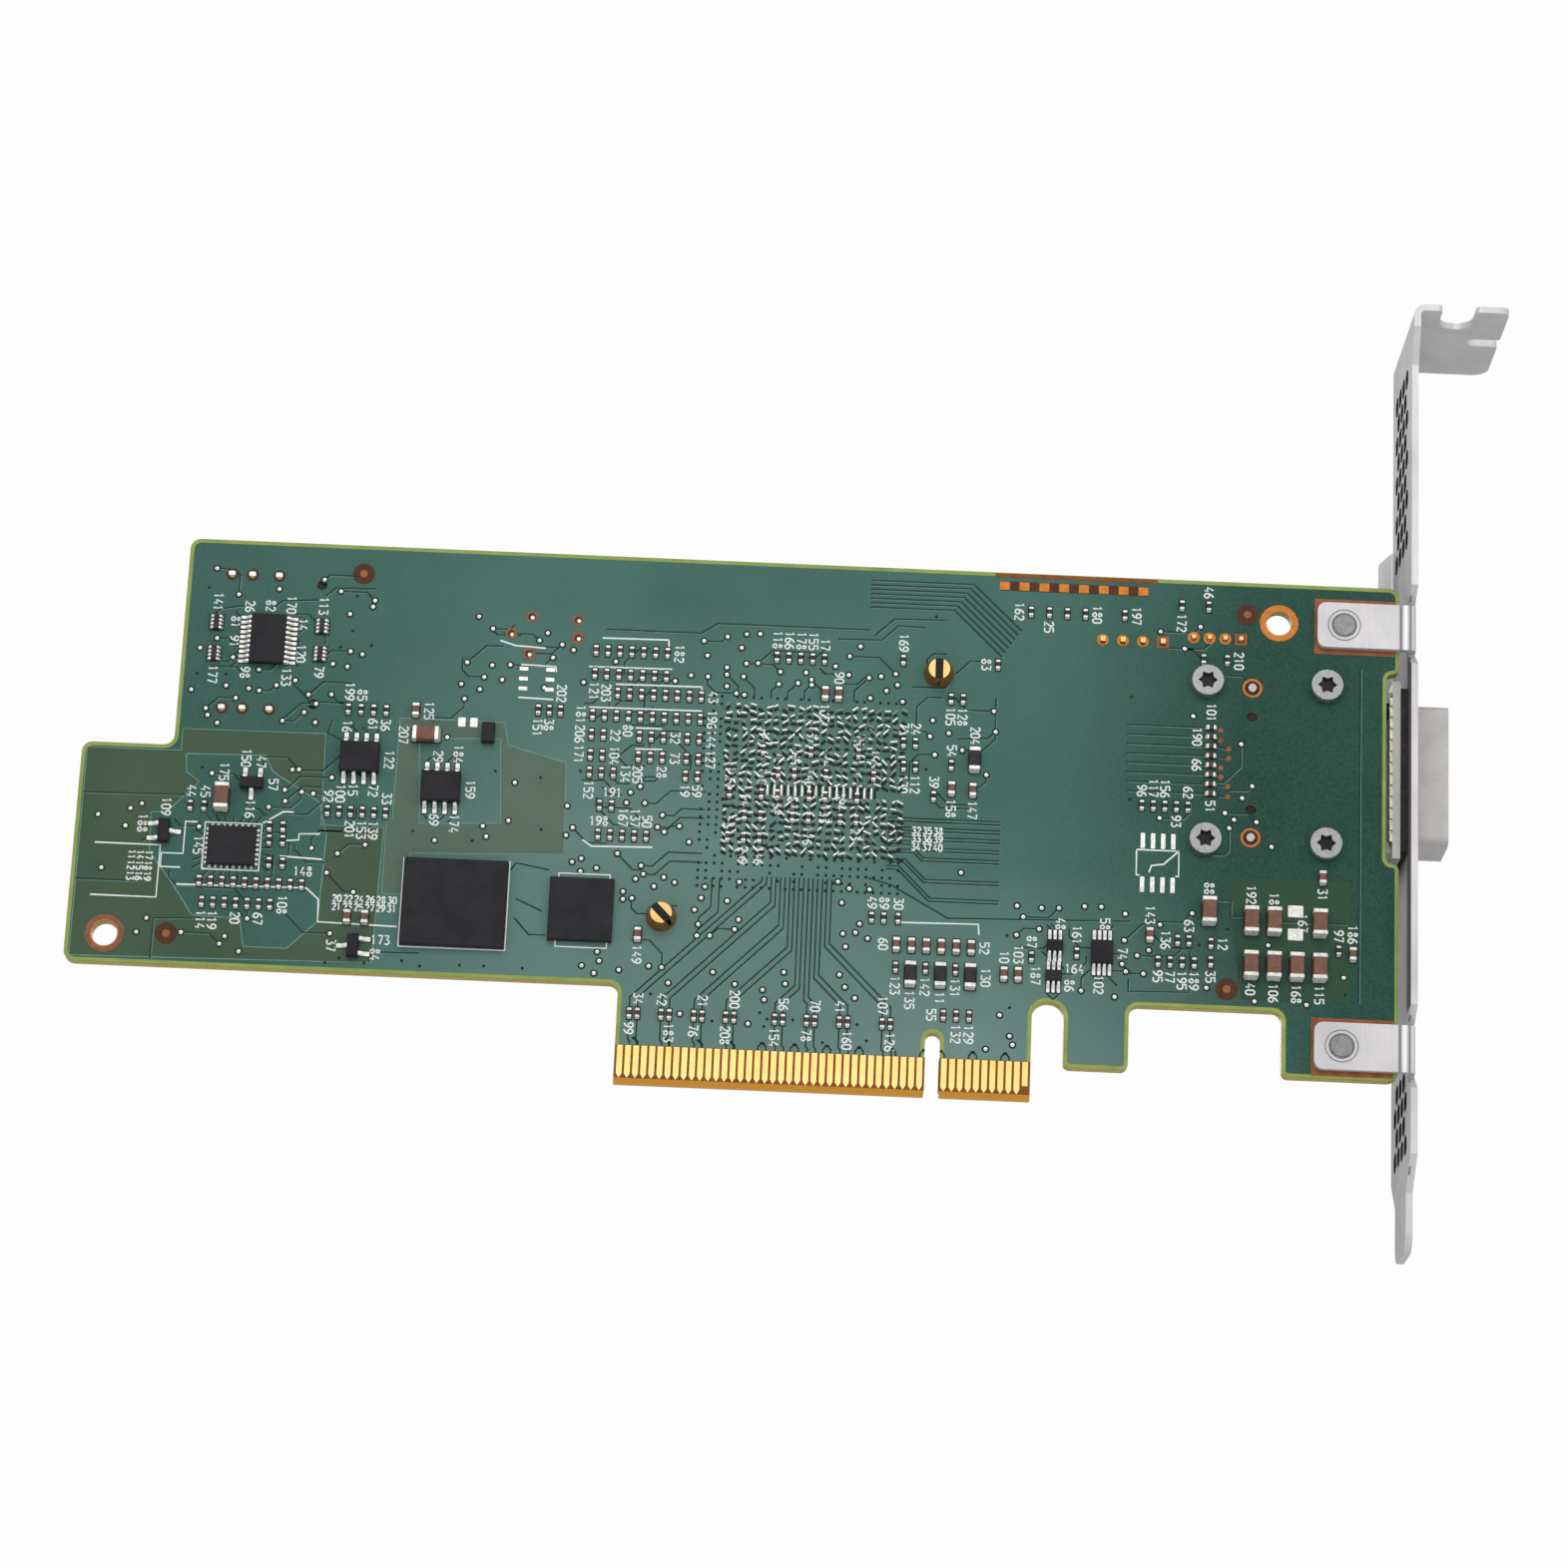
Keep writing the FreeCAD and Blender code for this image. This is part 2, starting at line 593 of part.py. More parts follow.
def bracket_plate():
    """Flat of the bracket in the YZ plane, from the tongue up to the bend of the tab."""
    ear_root = -FACE + BEND_RADIUS
    flange_root = FAR_EDGE - BRACKET_THICKNESS - BEND_RADIUS
    tongue_near = NEAR_EDGE + TONGUE_INSET
    tongue_far = tongue_near + TONGUE_WIDTH
    tongue_top = -TONGUE_SHOULDER_DROP
    corners = [
        (tongue_near, -TONGUE_TIP_DROP, TONGUE_TIP_RADIUS),
        (tongue_far, -TONGUE_TIP_DROP, TONGUE_TIP_RADIUS),
        (tongue_far, tongue_top - TONGUE_TAPER, 0),
        (FAR_EDGE, tongue_top, 0),
        (FAR_EDGE, FLANGE_BOTTOM, 0),
        (flange_root, FLANGE_BOTTOM, 0),
        (flange_root, FLANGE_TOP, 0),
        (FAR_EDGE, FLANGE_TOP, 0),
        (FAR_EDGE, TAB_HEIGHT - BEND_RADIUS, 0),
        (NEAR_EDGE - TAB_OVERHANG, TAB_HEIGHT - BEND_RADIUS, 0),
        (NEAR_EDGE - TAB_OVERHANG, TAB_HEIGHT - FLARE_DROP + FLARE_RISE, 0),
        (NEAR_EDGE, TAB_HEIGHT - FLARE_DROP, 0),
    ]
    for centre in (UPPER_EAR_Z, LOWER_EAR_Z):
        high = centre + EAR_HEIGHT / 2 + EAR_RELIEF_GAP
        low = centre - EAR_HEIGHT / 2 - EAR_RELIEF_GAP
        corners += [
            (NEAR_EDGE, high + EAR_RELIEF_RISE, 0),
            (ear_root, high, 0),
            (ear_root, low, 0),
            (NEAR_EDGE, low - EAR_RELIEF_RISE, 0),
        ]
    corners += [
        (NEAR_EDGE, tongue_top, 0),
        (tongue_near, tongue_top - TONGUE_TAPER, 0),
    ]
    return plate_x(corners, BRACKET_X, BRACKET_OUTER_X)


def bracket_ear(centre):
    """Ear folded along the board, its free corners rounded, with the hole that the screw bites in."""
    outer_bend = BEND_RADIUS + BRACKET_THICKNESS
    fold_x = BRACKET_X - BEND_RADIUS
    tip_x = BRACKET_X - EAR_LENGTH
    low = centre - EAR_HEIGHT / 2
    high = centre + EAR_HEIGHT / 2
    flat = [
        (tip_x, low, EAR_CORNER_RADIUS),
        (fold_x, low, 0),
        (fold_x, high, 0),
        (tip_x, high, EAR_CORNER_RADIUS),
    ]
    angle = [
        (fold_x, EAR_FRONT, 0),
        (BRACKET_OUTER_X, EAR_FRONT, outer_bend),
        (BRACKET_OUTER_X, -FACE + BEND_RADIUS, 0),
        (BRACKET_X, -FACE + BEND_RADIUS, 0),
        (BRACKET_X, -FACE, BEND_RADIUS),
        (fold_x, -FACE, 0),
    ]
    hole = bar_y(EAR_HOLE_X, centre, BRACKET_SCREW_RADIUS, EAR_FRONT, -FACE)
    root = -FACE + BEND_RADIUS
    link_low = low - EAR_RELIEF_GAP
    link_high = high + EAR_RELIEF_GAP
    link = block(BRACKET_X, BRACKET_OUTER_X, root, root + BEND_RADIUS, link_low, link_high)
    return plate_y(flat, EAR_FRONT, -FACE).cut(hole), plate_z(angle, low, high), link


def bracket_tab():
    """Tab folded outwards at the top, with the screw notch and the side slot."""
    near = NEAR_EDGE - TAB_OVERHANG
    tip_x = BRACKET_OUTER_X + TAB_REACH
    notch_x = BRACKET_OUTER_X + SCREW_NOTCH_REACH
    notch_half = SCREW_NOTCH_WIDTH / 2
    notch_end = near + SCREW_NOTCH_DEPTH
    slot_y = near + SIDE_SLOT_INSET
    slot_half = SIDE_SLOT_WIDTH / 2
    slot_x = tip_x - SIDE_SLOT_DEPTH
    root_x = BRACKET_OUTER_X + BEND_RADIUS
    corner = SIDE_SLOT_WIDTH / 2
    outline = [
        (root_x, near, 0),
        (notch_x - notch_half, near, corner / 2),
        (notch_x - notch_half, notch_end, notch_half * SLOT_END_ROUNDING),
        (notch_x + notch_half, notch_end, notch_half * SLOT_END_ROUNDING),
        (notch_x + notch_half, near, corner / 2),
        (tip_x, near, corner),
        (tip_x, slot_y - slot_half, corner / 2),
        (slot_x, slot_y - slot_half, slot_half * SLOT_END_ROUNDING),
        (slot_x, slot_y + slot_half, slot_half * SLOT_END_ROUNDING),
        (tip_x, slot_y + slot_half, corner / 2),
        (tip_x, FAR_EDGE, 2 * corner),
        (root_x, FAR_EDGE, 0),
    ]
    tab = plate_z(outline, TAB_HEIGHT, TAB_TOP)
    fold = [
        (BRACKET_X, TAB_HEIGHT - BEND_RADIUS),
        (BRACKET_OUTER_X, TAB_HEIGHT - BEND_RADIUS),
        (root_x, TAB_HEIGHT),
        (root_x, TAB_TOP),
    ]
    a, b, c, d = (FreeCAD.Vector(x, near, z) for x, z in fold)
    centre = FreeCAD.Vector(root_x, near, TAB_HEIGHT - BEND_RADIUS)
    quarter = FreeCAD.Vector(-math.sqrt(2) / 2, 0, math.sqrt(2) / 2)
    edges = [
        Part.LineSegment(a, b).toShape(),
        Part.Arc(b, centre + quarter * BEND_RADIUS, c).toShape(),
        Part.LineSegment(c, d).toShape(),
        Part.Arc(d, centre + quarter * (BEND_RADIUS + BRACKET_THICKNESS), a).toShape(),
    ]
    bend = Part.Face(Part.Wire(edges)).extrude(FreeCAD.Vector(0, FAR_EDGE - near, 0))
    return tab, bend


def bracket_flange():
    """Stiffening flange folded inwards along the far edge, its ends cut off at a slant."""
    outer_bend = BEND_RADIUS + BRACKET_THICKNESS
    root = FAR_EDGE - BRACKET_THICKNESS - BEND_RADIUS
    tip_x = BRACKET_X - FLANGE_DEPTH
    angle = [
        (BRACKET_X, root, 0),
        (BRACKET_OUTER_X, root, 0),
        (BRACKET_OUTER_X, FAR_EDGE, outer_bend),
        (tip_x, FAR_EDGE, 0),
        (tip_x, FAR_EDGE - BRACKET_THICKNESS, 0),
        (BRACKET_X, FAR_EDGE - BRACKET_THICKNESS, BEND_RADIUS),
    ]
    bent = plate_z(angle, FLANGE_BOTTOM, FLANGE_TOP)
    slants = []
    for z, step in ((FLANGE_TOP, -FLANGE_CHAMFER), (FLANGE_BOTTOM, FLANGE_CHAMFER)):
        corner = [(tip_x, z, 0), (tip_x + FLANGE_CHAMFER, z, 0), (tip_x, z + step, 0)]
        slants.append(plate_y(corner, FAR_EDGE - BRACKET_THICKNESS, FAR_EDGE))
    return bent.cut(slants)


def vent_field(rows, bottom):
    """Staggered hexagonal holes, the points of each hexagon up and down."""
    row_rise = VENT_PITCH * math.sqrt(3) / 2
    corner_radius = VENT_ACROSS_FLATS / math.sqrt(3)
    holes = []
    for row in range(rows):
        stagger = VENT_PITCH / 2 if row % 2 else 0
        for column in range(VENT_COLUMNS - row % 2):
            y = FAR_EDGE - VENT_INSET - VENT_ACROSS_FLATS / 2 - stagger - column * VENT_PITCH
            z = bottom + row * row_rise
            angles = [math.radians(90 + 60 * i) for i in range(6)]
            corners = [(y + corner_radius * math.cos(a), z + corner_radius * math.sin(a), 0) for a in angles]
            holes.append(plate_x(corners, BRACKET_X, BRACKET_OUTER_X))
    return holes


def mounting_bracket():
    half = PORT_NOSE_WIDTH / 2 + WINDOW_CLEARANCE
    window_outline = rectangle(
        NOSE_LOW - WINDOW_CLEARANCE,
        NOSE_HIGH + WINDOW_CLEARANCE,
        PORT_Z - half,
        PORT_Z + half,
        PORT_NOSE_RADIUS + WINDOW_CLEARANCE,
    )
    window = plate_x(window_outline, BRACKET_X, BRACKET_OUTER_X)
    vents = vent_field(UPPER_VENT_ROWS, UPPER_VENT_BOTTOM) + vent_field(LOWER_VENT_ROWS, LOWER_VENT_BOTTOM)
    plate = bracket_plate().cut([window] + vents)
    folds = [bracket_flange()]
    folds += bracket_tab()
    for centre in (UPPER_EAR_Z, LOWER_EAR_Z):
        folds += bracket_ear(centre)
    return fused(plate, *folds)


def bracket_screw(x, z):
    """Pan-head screw from the component side, its end just below the face of the ear."""
    top = FACE + BRACKET_SCREW_HEAD_HEIGHT
    shank = bar_y(x, z, BRACKET_SCREW_RADIUS, EAR_FRONT + BRACKET_SCREW_RECESS, FACE)
    arm = CROSS_ARM_WIDTH / 2
    reach = BRACKET_SCREW_RADIUS
    depth = top - CROSS_DEPTH
    recess = fused(
        block(x - arm, x + arm, depth, top, z - reach, z + reach),
        block(x - reach, x + reach, depth, top, z - arm, z + arm),
    )
    return fused(head_y(x, z, BRACKET_SCREW_HEAD_RADIUS, FACE, top), shank).cut(recess)


# External port


def port_shell():
    """Die-cast shell: hollow body on four bosses, flange behind the bracket and nose through it."""
    half = PORT_SHELL_WIDTH / 2
    nose_half = PORT_NOSE_WIDTH / 2
    flange_half = PORT_FLANGE_WIDTH / 2
    body = block(SHELL_REAR_X, FLANGE_REAR_X, FACE, SHELL_TOP, PORT_Z - half, PORT_Z + half)
    upright = [edge for edge in body.Edges if abs(edge.tangentAt(edge.FirstParameter).x) > 0.9]
    upper = [edge for edge in upright if edge.CenterOfMass.y > SHELL_TOP - PORT_SHELL_WALL]
    body = body.makeFillet(PORT_SHELL_EDGE_RADIUS, upper)
    flange_outline = rectangle(
        FACE - PORT_FLANGE_DROP, SHELL_TOP, PORT_Z - flange_half, PORT_Z + flange_half
    )
    flange = plate_x(flange_outline, FLANGE_REAR_X, FLANGE_FRONT_X)
    nose_outline = rectangle(NOSE_LOW, NOSE_HIGH, PORT_Z - nose_half, PORT_Z + nose_half, PORT_NOSE_RADIUS)
    nose = plate_x(nose_outline, FLANGE_REAR_X, NOSE_TIP_X)
    pieces = [flange, nose]
    for x, z in port_screw_places():
        boss_top = FACE + PORT_SCREW_LENGTH + PORT_SHELL_WALL
        pieces.append(square_bar_y(x, z, PORT_BOSS_HALF, FACE, boss_top))
    for x, z in port_post_places():
        pieces.append(bar_y(x, z, PORT_POST_RADIUS, -FACE - PORT_POST_TIP, FACE))
    inner = half - PORT_SHELL_WALL
    hollow = block(
        SHELL_REAR_X + PORT_SHELL_WALL,
        FLANGE_REAR_X,
        FACE,
        SHELL_TOP - PORT_SHELL_WALL,
        PORT_Z - inner,
        PORT_Z + inner,
    )
    mouth_half = PORT_MOUTH_WIDTH / 2
    mouth_outline = rectangle(
        MOUTH_LOW, MOUTH_LOW + PORT_MOUTH_HEIGHT, PORT_Z - mouth_half, PORT_Z + mouth_half, PORT_NOSE_RADIUS
    )
    mouth = plate_x(mouth_outline, FLANGE_REAR_X - PORT_SHELL_WALL, NOSE_TIP_X)
    bores = []
    for x, z in port_screw_places():
        bores.append(bar_y(x, z, PORT_SCREW_RADIUS, FACE, FACE + PORT_SCREW_LENGTH))
    return fused(body.cut(hollow), *pieces).cut([mouth] + bores)


def port_screw(x, z):
    """Low cheese-head screw from the solder side with a six-lobe drive."""
    top = -FACE - PORT_SCREW_HEAD_HEIGHT
    head = head_y(x, z, PORT_SCREW_HEAD_RADIUS, top, -FACE)
    shank = bar_y(x, z, PORT_SCREW_RADIUS, -FACE, FACE + PORT_SCREW_LENGTH - SCREW_CLEARANCE)
    star = []
    for i in range(2 * DRIVE_LOBE_COUNT):
        radius = DRIVE_INNER_RADIUS if i % 2 else DRIVE_OUTER_RADIUS
        angle = math.pi * i / DRIVE_LOBE_COUNT
        star.append((x + radius * math.cos(angle), z + radius * math.sin(angle), 0))
    return fused(head, shank).cut(plate_y(star, top, top + DRIVE_DEPTH))


def port_gasket():
    """Soft frame squeezed between the shell's flange and the bracket."""
    inner = GASKET_CLEARANCE
    outer = GASKET_MARGIN
    half = PORT_NOSE_WIDTH / 2
    frame = rectangle(NOSE_LOW - outer, NOSE_HIGH + outer, PORT_Z - half - outer, PORT_Z + half + outer)
    hole = rectangle(NOSE_LOW - inner, NOSE_HIGH + inner, PORT_Z - half - inner, PORT_Z + half + inner)
    return plate_x(frame, FLANGE_FRONT_X, BRACKET_X).cut(plate_x(hole, FLANGE_FRONT_X, BRACKET_X))


def shield_fingers():
    """Comb of spring fingers on the back of the flange, seen in the board's cut-out."""
    x_low = FLANGE_REAR_X - SHIELD_FINGER_THICKNESS
    y_low = FACE - PORT_FLANGE_DROP
    span = (SHIELD_FINGER_COUNT - 1) * SHIELD_FINGER_PITCH + SHIELD_FINGER_WIDTH
    first = PORT_Z - span / 2
    root = -FACE + SHIELD_FINGER_LENGTH
    corners = [(root, first, 0)]
    for i in range(SHIELD_FINGER_COUNT):
        z = first + i * SHIELD_FINGER_PITCH
        if i:
            corners.append((root - SHIELD_FINGER_LENGTH / 2, z, 0))
        corners += [(y_low, z, 0), (y_low, z + SHIELD_FINGER_WIDTH, 0)]
        if i < SHIELD_FINGER_COUNT - 1:
            corners.append((root - SHIELD_FINGER_LENGTH / 2, z + SHIELD_FINGER_WIDTH, 0))
    corners.append((root, first + span, 0))
    return plate_x(corners, x_low, FLANGE_REAR_X)


def port_block():
    """Moulded contact block on the board inside the shell, slotted for the plug's tongue."""
    half = PORT_BLOCK_WIDTH / 2
    front = PORT_BLOCK_X + PORT_BLOCK_LENGTH
    moulding = block(PORT_BLOCK_X, front, FACE, FACE + PORT_BLOCK_HEIGHT, PORT_Z - half, PORT_Z + half)
    pegs = [bar_y(x, z, PEG_RADIUS, -FACE + PEG_TIP_SETBACK, FACE) for x, z in port_peg_places()]
    slot_low, slot_high = port_slot_span()
    slot_half = PORT_SLOT_WIDTH / 2
    slot = block(front - PORT_SLOT_DEPTH, front, slot_low, slot_high, PORT_Z - slot_half, PORT_Z + slot_half)
    return fused(moulding, *pegs).cut(slot)


def port_slot_span():
    middle = MOUTH_LOW + PORT_MOUTH_HEIGHT / 2
    return middle - PORT_SLOT_HEIGHT / 2, middle + PORT_SLOT_HEIGHT / 2


def contact_row(x_low, x_high, y_low, y_high, z_middle, count):
    first = z_middle - (count - 1) * PORT_CONTACT_PITCH / 2
    half = PORT_CONTACT_WIDTH / 2
    solids = []
    for i in range(count):
        z = first + i * PORT_CONTACT_PITCH
        solids.append(block(x_low, x_high, y_low, y_high, z - half, z + half))
    return solids


def port_contacts():
    front = PORT_BLOCK_X + PORT_BLOCK_LENGTH
    slot_low, slot_high = port_slot_span()
    rows = []
    for low in (slot_low, slot_high - PORT_CONTACT_THICKNESS):
        high = low + PORT_CONTACT_THICKNESS
        rows += contact_row(front - PORT_SLOT_DEPTH, front, low, high, PORT_Z, PORT_CONTACT_COUNT)
    return rows


# Internal port


def inner_port_shell():
    """Folded sheet cover, open towards the free end and the board, with legs through the board."""
    half = INNER_PORT_WIDTH / 2
    inside = half - INNER_PORT_SHEET
    rear = INNER_PORT_X + INNER_PORT_LENGTH
    top = FACE + INNER_PORT_HEIGHT
    bend = 2 * INNER_PORT_SHEET
    outer = plate_x(
        [
            (FACE, INNER_PORT_Z - half, 0),
            (top, INNER_PORT_Z - half, bend),
            (top, INNER_PORT_Z + half, bend),
            (FACE, INNER_PORT_Z + half, 0),
        ],
        INNER_PORT_X,
        rear,
    )
    inner = block(
        INNER_PORT_X, rear, FACE, top - INNER_PORT_SHEET, INNER_PORT_Z - inside, INNER_PORT_Z + inside
    )
    cover = outer.cut(inner)
    legs = []
    for x, z in inner_leg_places():
        half_leg = INNER_LEG_WIDTH / 2
        half_sheet = INNER_PORT_SHEET / 2
        tip = -FACE - INNER_LEG_TIP
        legs.append(block(x - half_leg, x + half_leg, tip, FACE, z - half_sheet, z + half_sheet))
    return fused(cover, *legs)


def inner_port_block():
    """Moulded block inside the cover: floor of the mouth, slotted rear wall and two pegs."""
    half = INNER_PORT_WIDTH / 2 - INNER_PORT_SHEET - INNER_CLEARANCE
    front = INNER_PORT_X + INNER_PORT_MOUTH_DEPTH
    rear = INNER_PORT_X + INNER_PORT_LENGTH - INNER_CLEARANCE
    top = FACE + INNER_PORT_HEIGHT - INNER_PORT_SHEET - INNER_CLEARANCE
    moulding = block(front, rear, FACE, top, INNER_PORT_Z - half, INNER_PORT_Z + half)
    floor = block(INNER_PORT_X, front, FACE, FACE + PORT_SHELL_WALL, INNER_PORT_Z - half, INNER_PORT_Z + half)
    slot_half = INNER_SLOT_WIDTH / 2
    low, high = inner_slot_span()
    slot_end = front + PORT_SLOT_DEPTH / 2
    slot = block(front, slot_end, low, high, INNER_PORT_Z - slot_half, INNER_PORT_Z + slot_half)
    pegs = [bar_y(x, z, PEG_RADIUS, -FACE + PEG_TIP_SETBACK, FACE) for x, z in inner_peg_places()]
    return fused(moulding, floor, *pegs).cut(slot)


def inner_slot_span():
    middle = FACE + (INNER_PORT_HEIGHT + PORT_SHELL_WALL) / 2
    return middle - PORT_SLOT_HEIGHT / 2, middle + PORT_SLOT_HEIGHT / 2


def inner_port_contacts():
    front = INNER_PORT_X + INNER_PORT_MOUTH_DEPTH
    slot_low, slot_high = inner_slot_span()
    rows = []
    for low in (slot_low, slot_high - PORT_CONTACT_THICKNESS):
        high = low + PORT_CONTACT_THICKNESS
        rows += contact_row(front, front + PORT_SLOT_DEPTH / 2, low, high, INNER_PORT_Z, INNER_CONTACT_COUNT)
    return rows


# Pin headers


def header_base(places, pitch):
    half = pitch / 2
    x_low = min(x for x, z in places) - half
    x_high = max(x for x, z in places) + half
    z = places[0][1]
    y_low, y_high = on_side(COMPONENT, 0, pitch)
    base = block(x_low, x_high, y_low, y_high, z - half, z + half)
    pin_half = header_pin_width(pitch) / 2
    holes = [block(x - pin_half, x + pin_half, y_low, y_high, z - pin_half, z + pin_half) for x, z in places]
    return base.cut(holes)


def header_pins(places, pitch):
    half = header_pin_width(pitch) / 2
    tip = -FACE - HEADER_PIN_TIP
    return [block(x - half, x + half, tip, FACE + HEADER_PIN_HEIGHT, z - half, z + half) for x, z in places]


# Controller, heat sink and its fasteners


def controller_chip():
    half = CONTROLLER_SIZE / 2
    cap = half - CONTROLLER_CAP_INSET
    y_middle = FACE + CONTROLLER_SUBSTRATE
    y_top = y_middle + CONTROLLER_CAP_HEIGHT
    centre = (CONTROLLER_X, CONTROLLER_Z)
    substrate = plate_y(square(centre, half), FACE, y_middle)
    moulding = plate_y(square(centre, cap), y_middle, y_top)
    return fused(substrate, moulding)


def square(centre, half, radius=0.0):
    x, z = centre
    return rectangle(x - half, x + half, z - half, z + half, radius)


def thermal_pad():
    cap = CONTROLLER_SIZE / 2 - CONTROLLER_CAP_INSET
    y_low = SINK_BASE_Y - THERMAL_PAD_THICKNESS
    return plate_y(square((CONTROLLER_X, CONTROLLER_Z), cap), y_low, SINK_BASE_Y)


def heat_sink():
    """Extruded sink: straight fins along the card, cut away at the two pinned corners."""
    half = SINK_SIZE / 2
    fin_top = SINK_BASE_TOP + SINK_FIN_HEIGHT
    low_x, high_x = CONTROLLER_X - half, CONTROLLER_X + half
    low_z = CONTROLLER_Z - half
    gap = (SINK_SIZE - SINK_FIN_THICKNESS) / (SINK_FIN_COUNT - 1)
    profile = [(low_z, SINK_BASE_Y), (low_z + SINK_SIZE, SINK_BASE_Y)]
    for i in reversed(range(SINK_FIN_COUNT)):
        fin = low_z + i * gap
        profile += [(fin + SINK_FIN_THICKNESS, fin_top), (fin, fin_top)]
        if i:
            profile += [(fin, SINK_BASE_TOP), (fin - gap + SINK_FIN_THICKNESS, SINK_BASE_TOP)]
    section = [(y, z, 0) for z, y in profile]
    sink = plate_x(section, low_x, high_x)
    cuts = []
    for (x, z), s in zip(sink_pin_places(), (1, -1)):
        corner_x = CONTROLLER_X + s * half
        corner_z = CONTROLLER_Z + s * half
        xs = sorted((corner_x, corner_x - s * SINK_CORNER_POCKET))
        zs = sorted((corner_z, corner_z - s * SINK_CORNER_POCKET))
        cuts.append(block(xs[0], xs[1], SINK_BASE_TOP, fin_top, zs[0], zs[1]))
        cuts.append(bar_y(x, z, SINK_PIN_RADIUS + SCREW_CLEARANCE, SINK_BASE_Y, SINK_BASE_TOP))
    return sink.cut(cuts)


def sink_pin(x, z, slot_angle):
    """Split push pin: head over the spring, shank, and a slotted barb on the solder side."""
    head_low = SINK_BASE_TOP + SPRING_HEIGHT
    head = head_y(x, z, SINK_PIN_HEAD_RADIUS, head_low, head_low + SINK_PIN_HEAD_HEIGHT)
    shank = bar_y(x, z, SINK_PIN_RADIUS, -FACE, head_low)
    barb_end = -FACE - SINK_PIN_BARB_LENGTH
    barb = cone_y(x, z, SINK_PIN_TIP_RADIUS, SINK_PIN_BARB_RADIUS, barb_end, -FACE)
    reach = SINK_PIN_BARB_RADIUS
    half = SINK_PIN_SLOT / 2
    slot = block(x - reach, x + reach, barb_end, barb_end + SINK_PIN_SLOT_DEPTH, z - half, z + half)
    slot.rotate(FreeCAD.Vector(x, 0, z), FreeCAD.Vector(0, 1, 0), slot_angle)
    return fused(barb, shank, head).cut(slot)


def sink_spring(x, z):
    """Coil spring of square wire in short straight runs, between the sink and the pin's head."""
    half = SPRING_WIRE_RADIUS
    rise = SPRING_HEIGHT - 2 * half
    steps = SPRING_TURN_COUNT * SPRING_STEP_COUNT
    rings = []
    for i in range(steps + 1):
        angle = 2 * math.pi * i / SPRING_STEP_COUNT
        y = SINK_BASE_TOP + half + rise * i / steps
        ring = []
        for out, up in ((-half, -half), (half, -half), (half, half), (-half, half)):
            radius = SPRING_RADIUS + out
            ring.append(FreeCAD.Vector(x + radius * math.cos(angle), y + up, z + radius * math.sin(angle)))
        rings.append(ring)
    faces = [flat_face(rings[0]), flat_face(rings[-1])]
    for here, there in zip(rings, rings[1:]):
        for k in range(4):
            a, b, c, d = here[k], here[(k + 1) % 4], there[(k + 1) % 4], there[k]
            faces += [flat_face([a, b, c]), flat_face([a, c, d])]
    return Part.Solid(Part.Shell(faces))


def flat_face(points):
    return Part.Face(Part.makePolygon(points + points[:1]))


# Chips and small parts on either face


def chip_body(centre, size, side, standoff=0.0):
    """Moulded package with a chamfered top edge."""
    x, z = centre
    width, height, thickness = size
    y_low, y_high = on_side(side, standoff, thickness)
    body = block(x - width / 2, x + width / 2, y_low, y_high, z - height / 2, z + height / 2)
    top = side * (FACE + thickness)
    edges = [edge for edge in body.Edges if abs(edge.CenterOfMass.y - top) < 1e-6]
    return body.makeChamfer(thickness * CHIP_CHAMFER_SHARE, edges)


def gull_lead(x, z, outward, width, mid_height, side):
    """Bent lead: shoulder out of the body, leg down, foot on the board."""
    foot = LEAD_SHOULDER + LEAD_FOOT
    half = LEAD_THICKNESS / 2
    profile = [
        (0, mid_height + half),
        (LEAD_SHOULDER, mid_height + half),
        (foot, LEAD_THICKNESS),
        (foot, 0),
        (LEAD_SHOULDER, 0),
        (0, mid_height - half),
    ]
    across = FreeCAD.Vector(outward[1], 0, outward[0])
    points = []
    for out, height in profile:
        place = FreeCAD.Vector(x + out * outward[0], side * (FACE + height), z + out * outward[1])
        points.append(place - across * (width / 2))
    return Part.Face(Part.makePolygon(points + points[:1])).extrude(across * width)


def leads_for(centre, size, leads, side, sideways):
    """Two rows of leads, on the left and right of the body or above and below it."""
    x, z = centre
    per_side, pitch, width = leads
    body_width, body_height, thickness = size
    solids = []
    for direction in (1, -1):
        for i in range(per_side):
            along = (i - (per_side - 1) / 2) * pitch
            if sideways:
                place = (x + direction * body_width / 2, z + along)
                outward = (direction, 0)
            else:
                place = (x + along, z + direction * body_height / 2)
                outward = (0, direction)
            solids.append(gull_lead(*place, outward, width, thickness / 2, side))
    return solids


def transistor_leads(centre, size, side, upright, pair):
    """Three leads: two on the long side that pair points to and one on the other."""
    x, z = centre
    width, height, thickness = size
    solids = []
    for direction, offsets in ((pair, (-TRANSISTOR_PITCH / 2, TRANSISTOR_PITCH / 2)), (-pair, (0,))):
        for along in offsets:
            if upright:
                place = (x + direction * width / 2, z + along)
                outward = (direction, 0)
            else:
                place = (x + along, z + direction * width / 2)
                outward = (0, direction)
            solids.append(gull_lead(*place, outward, TRANSISTOR_LEAD_WIDTH, thickness / 2, side))
    return solids


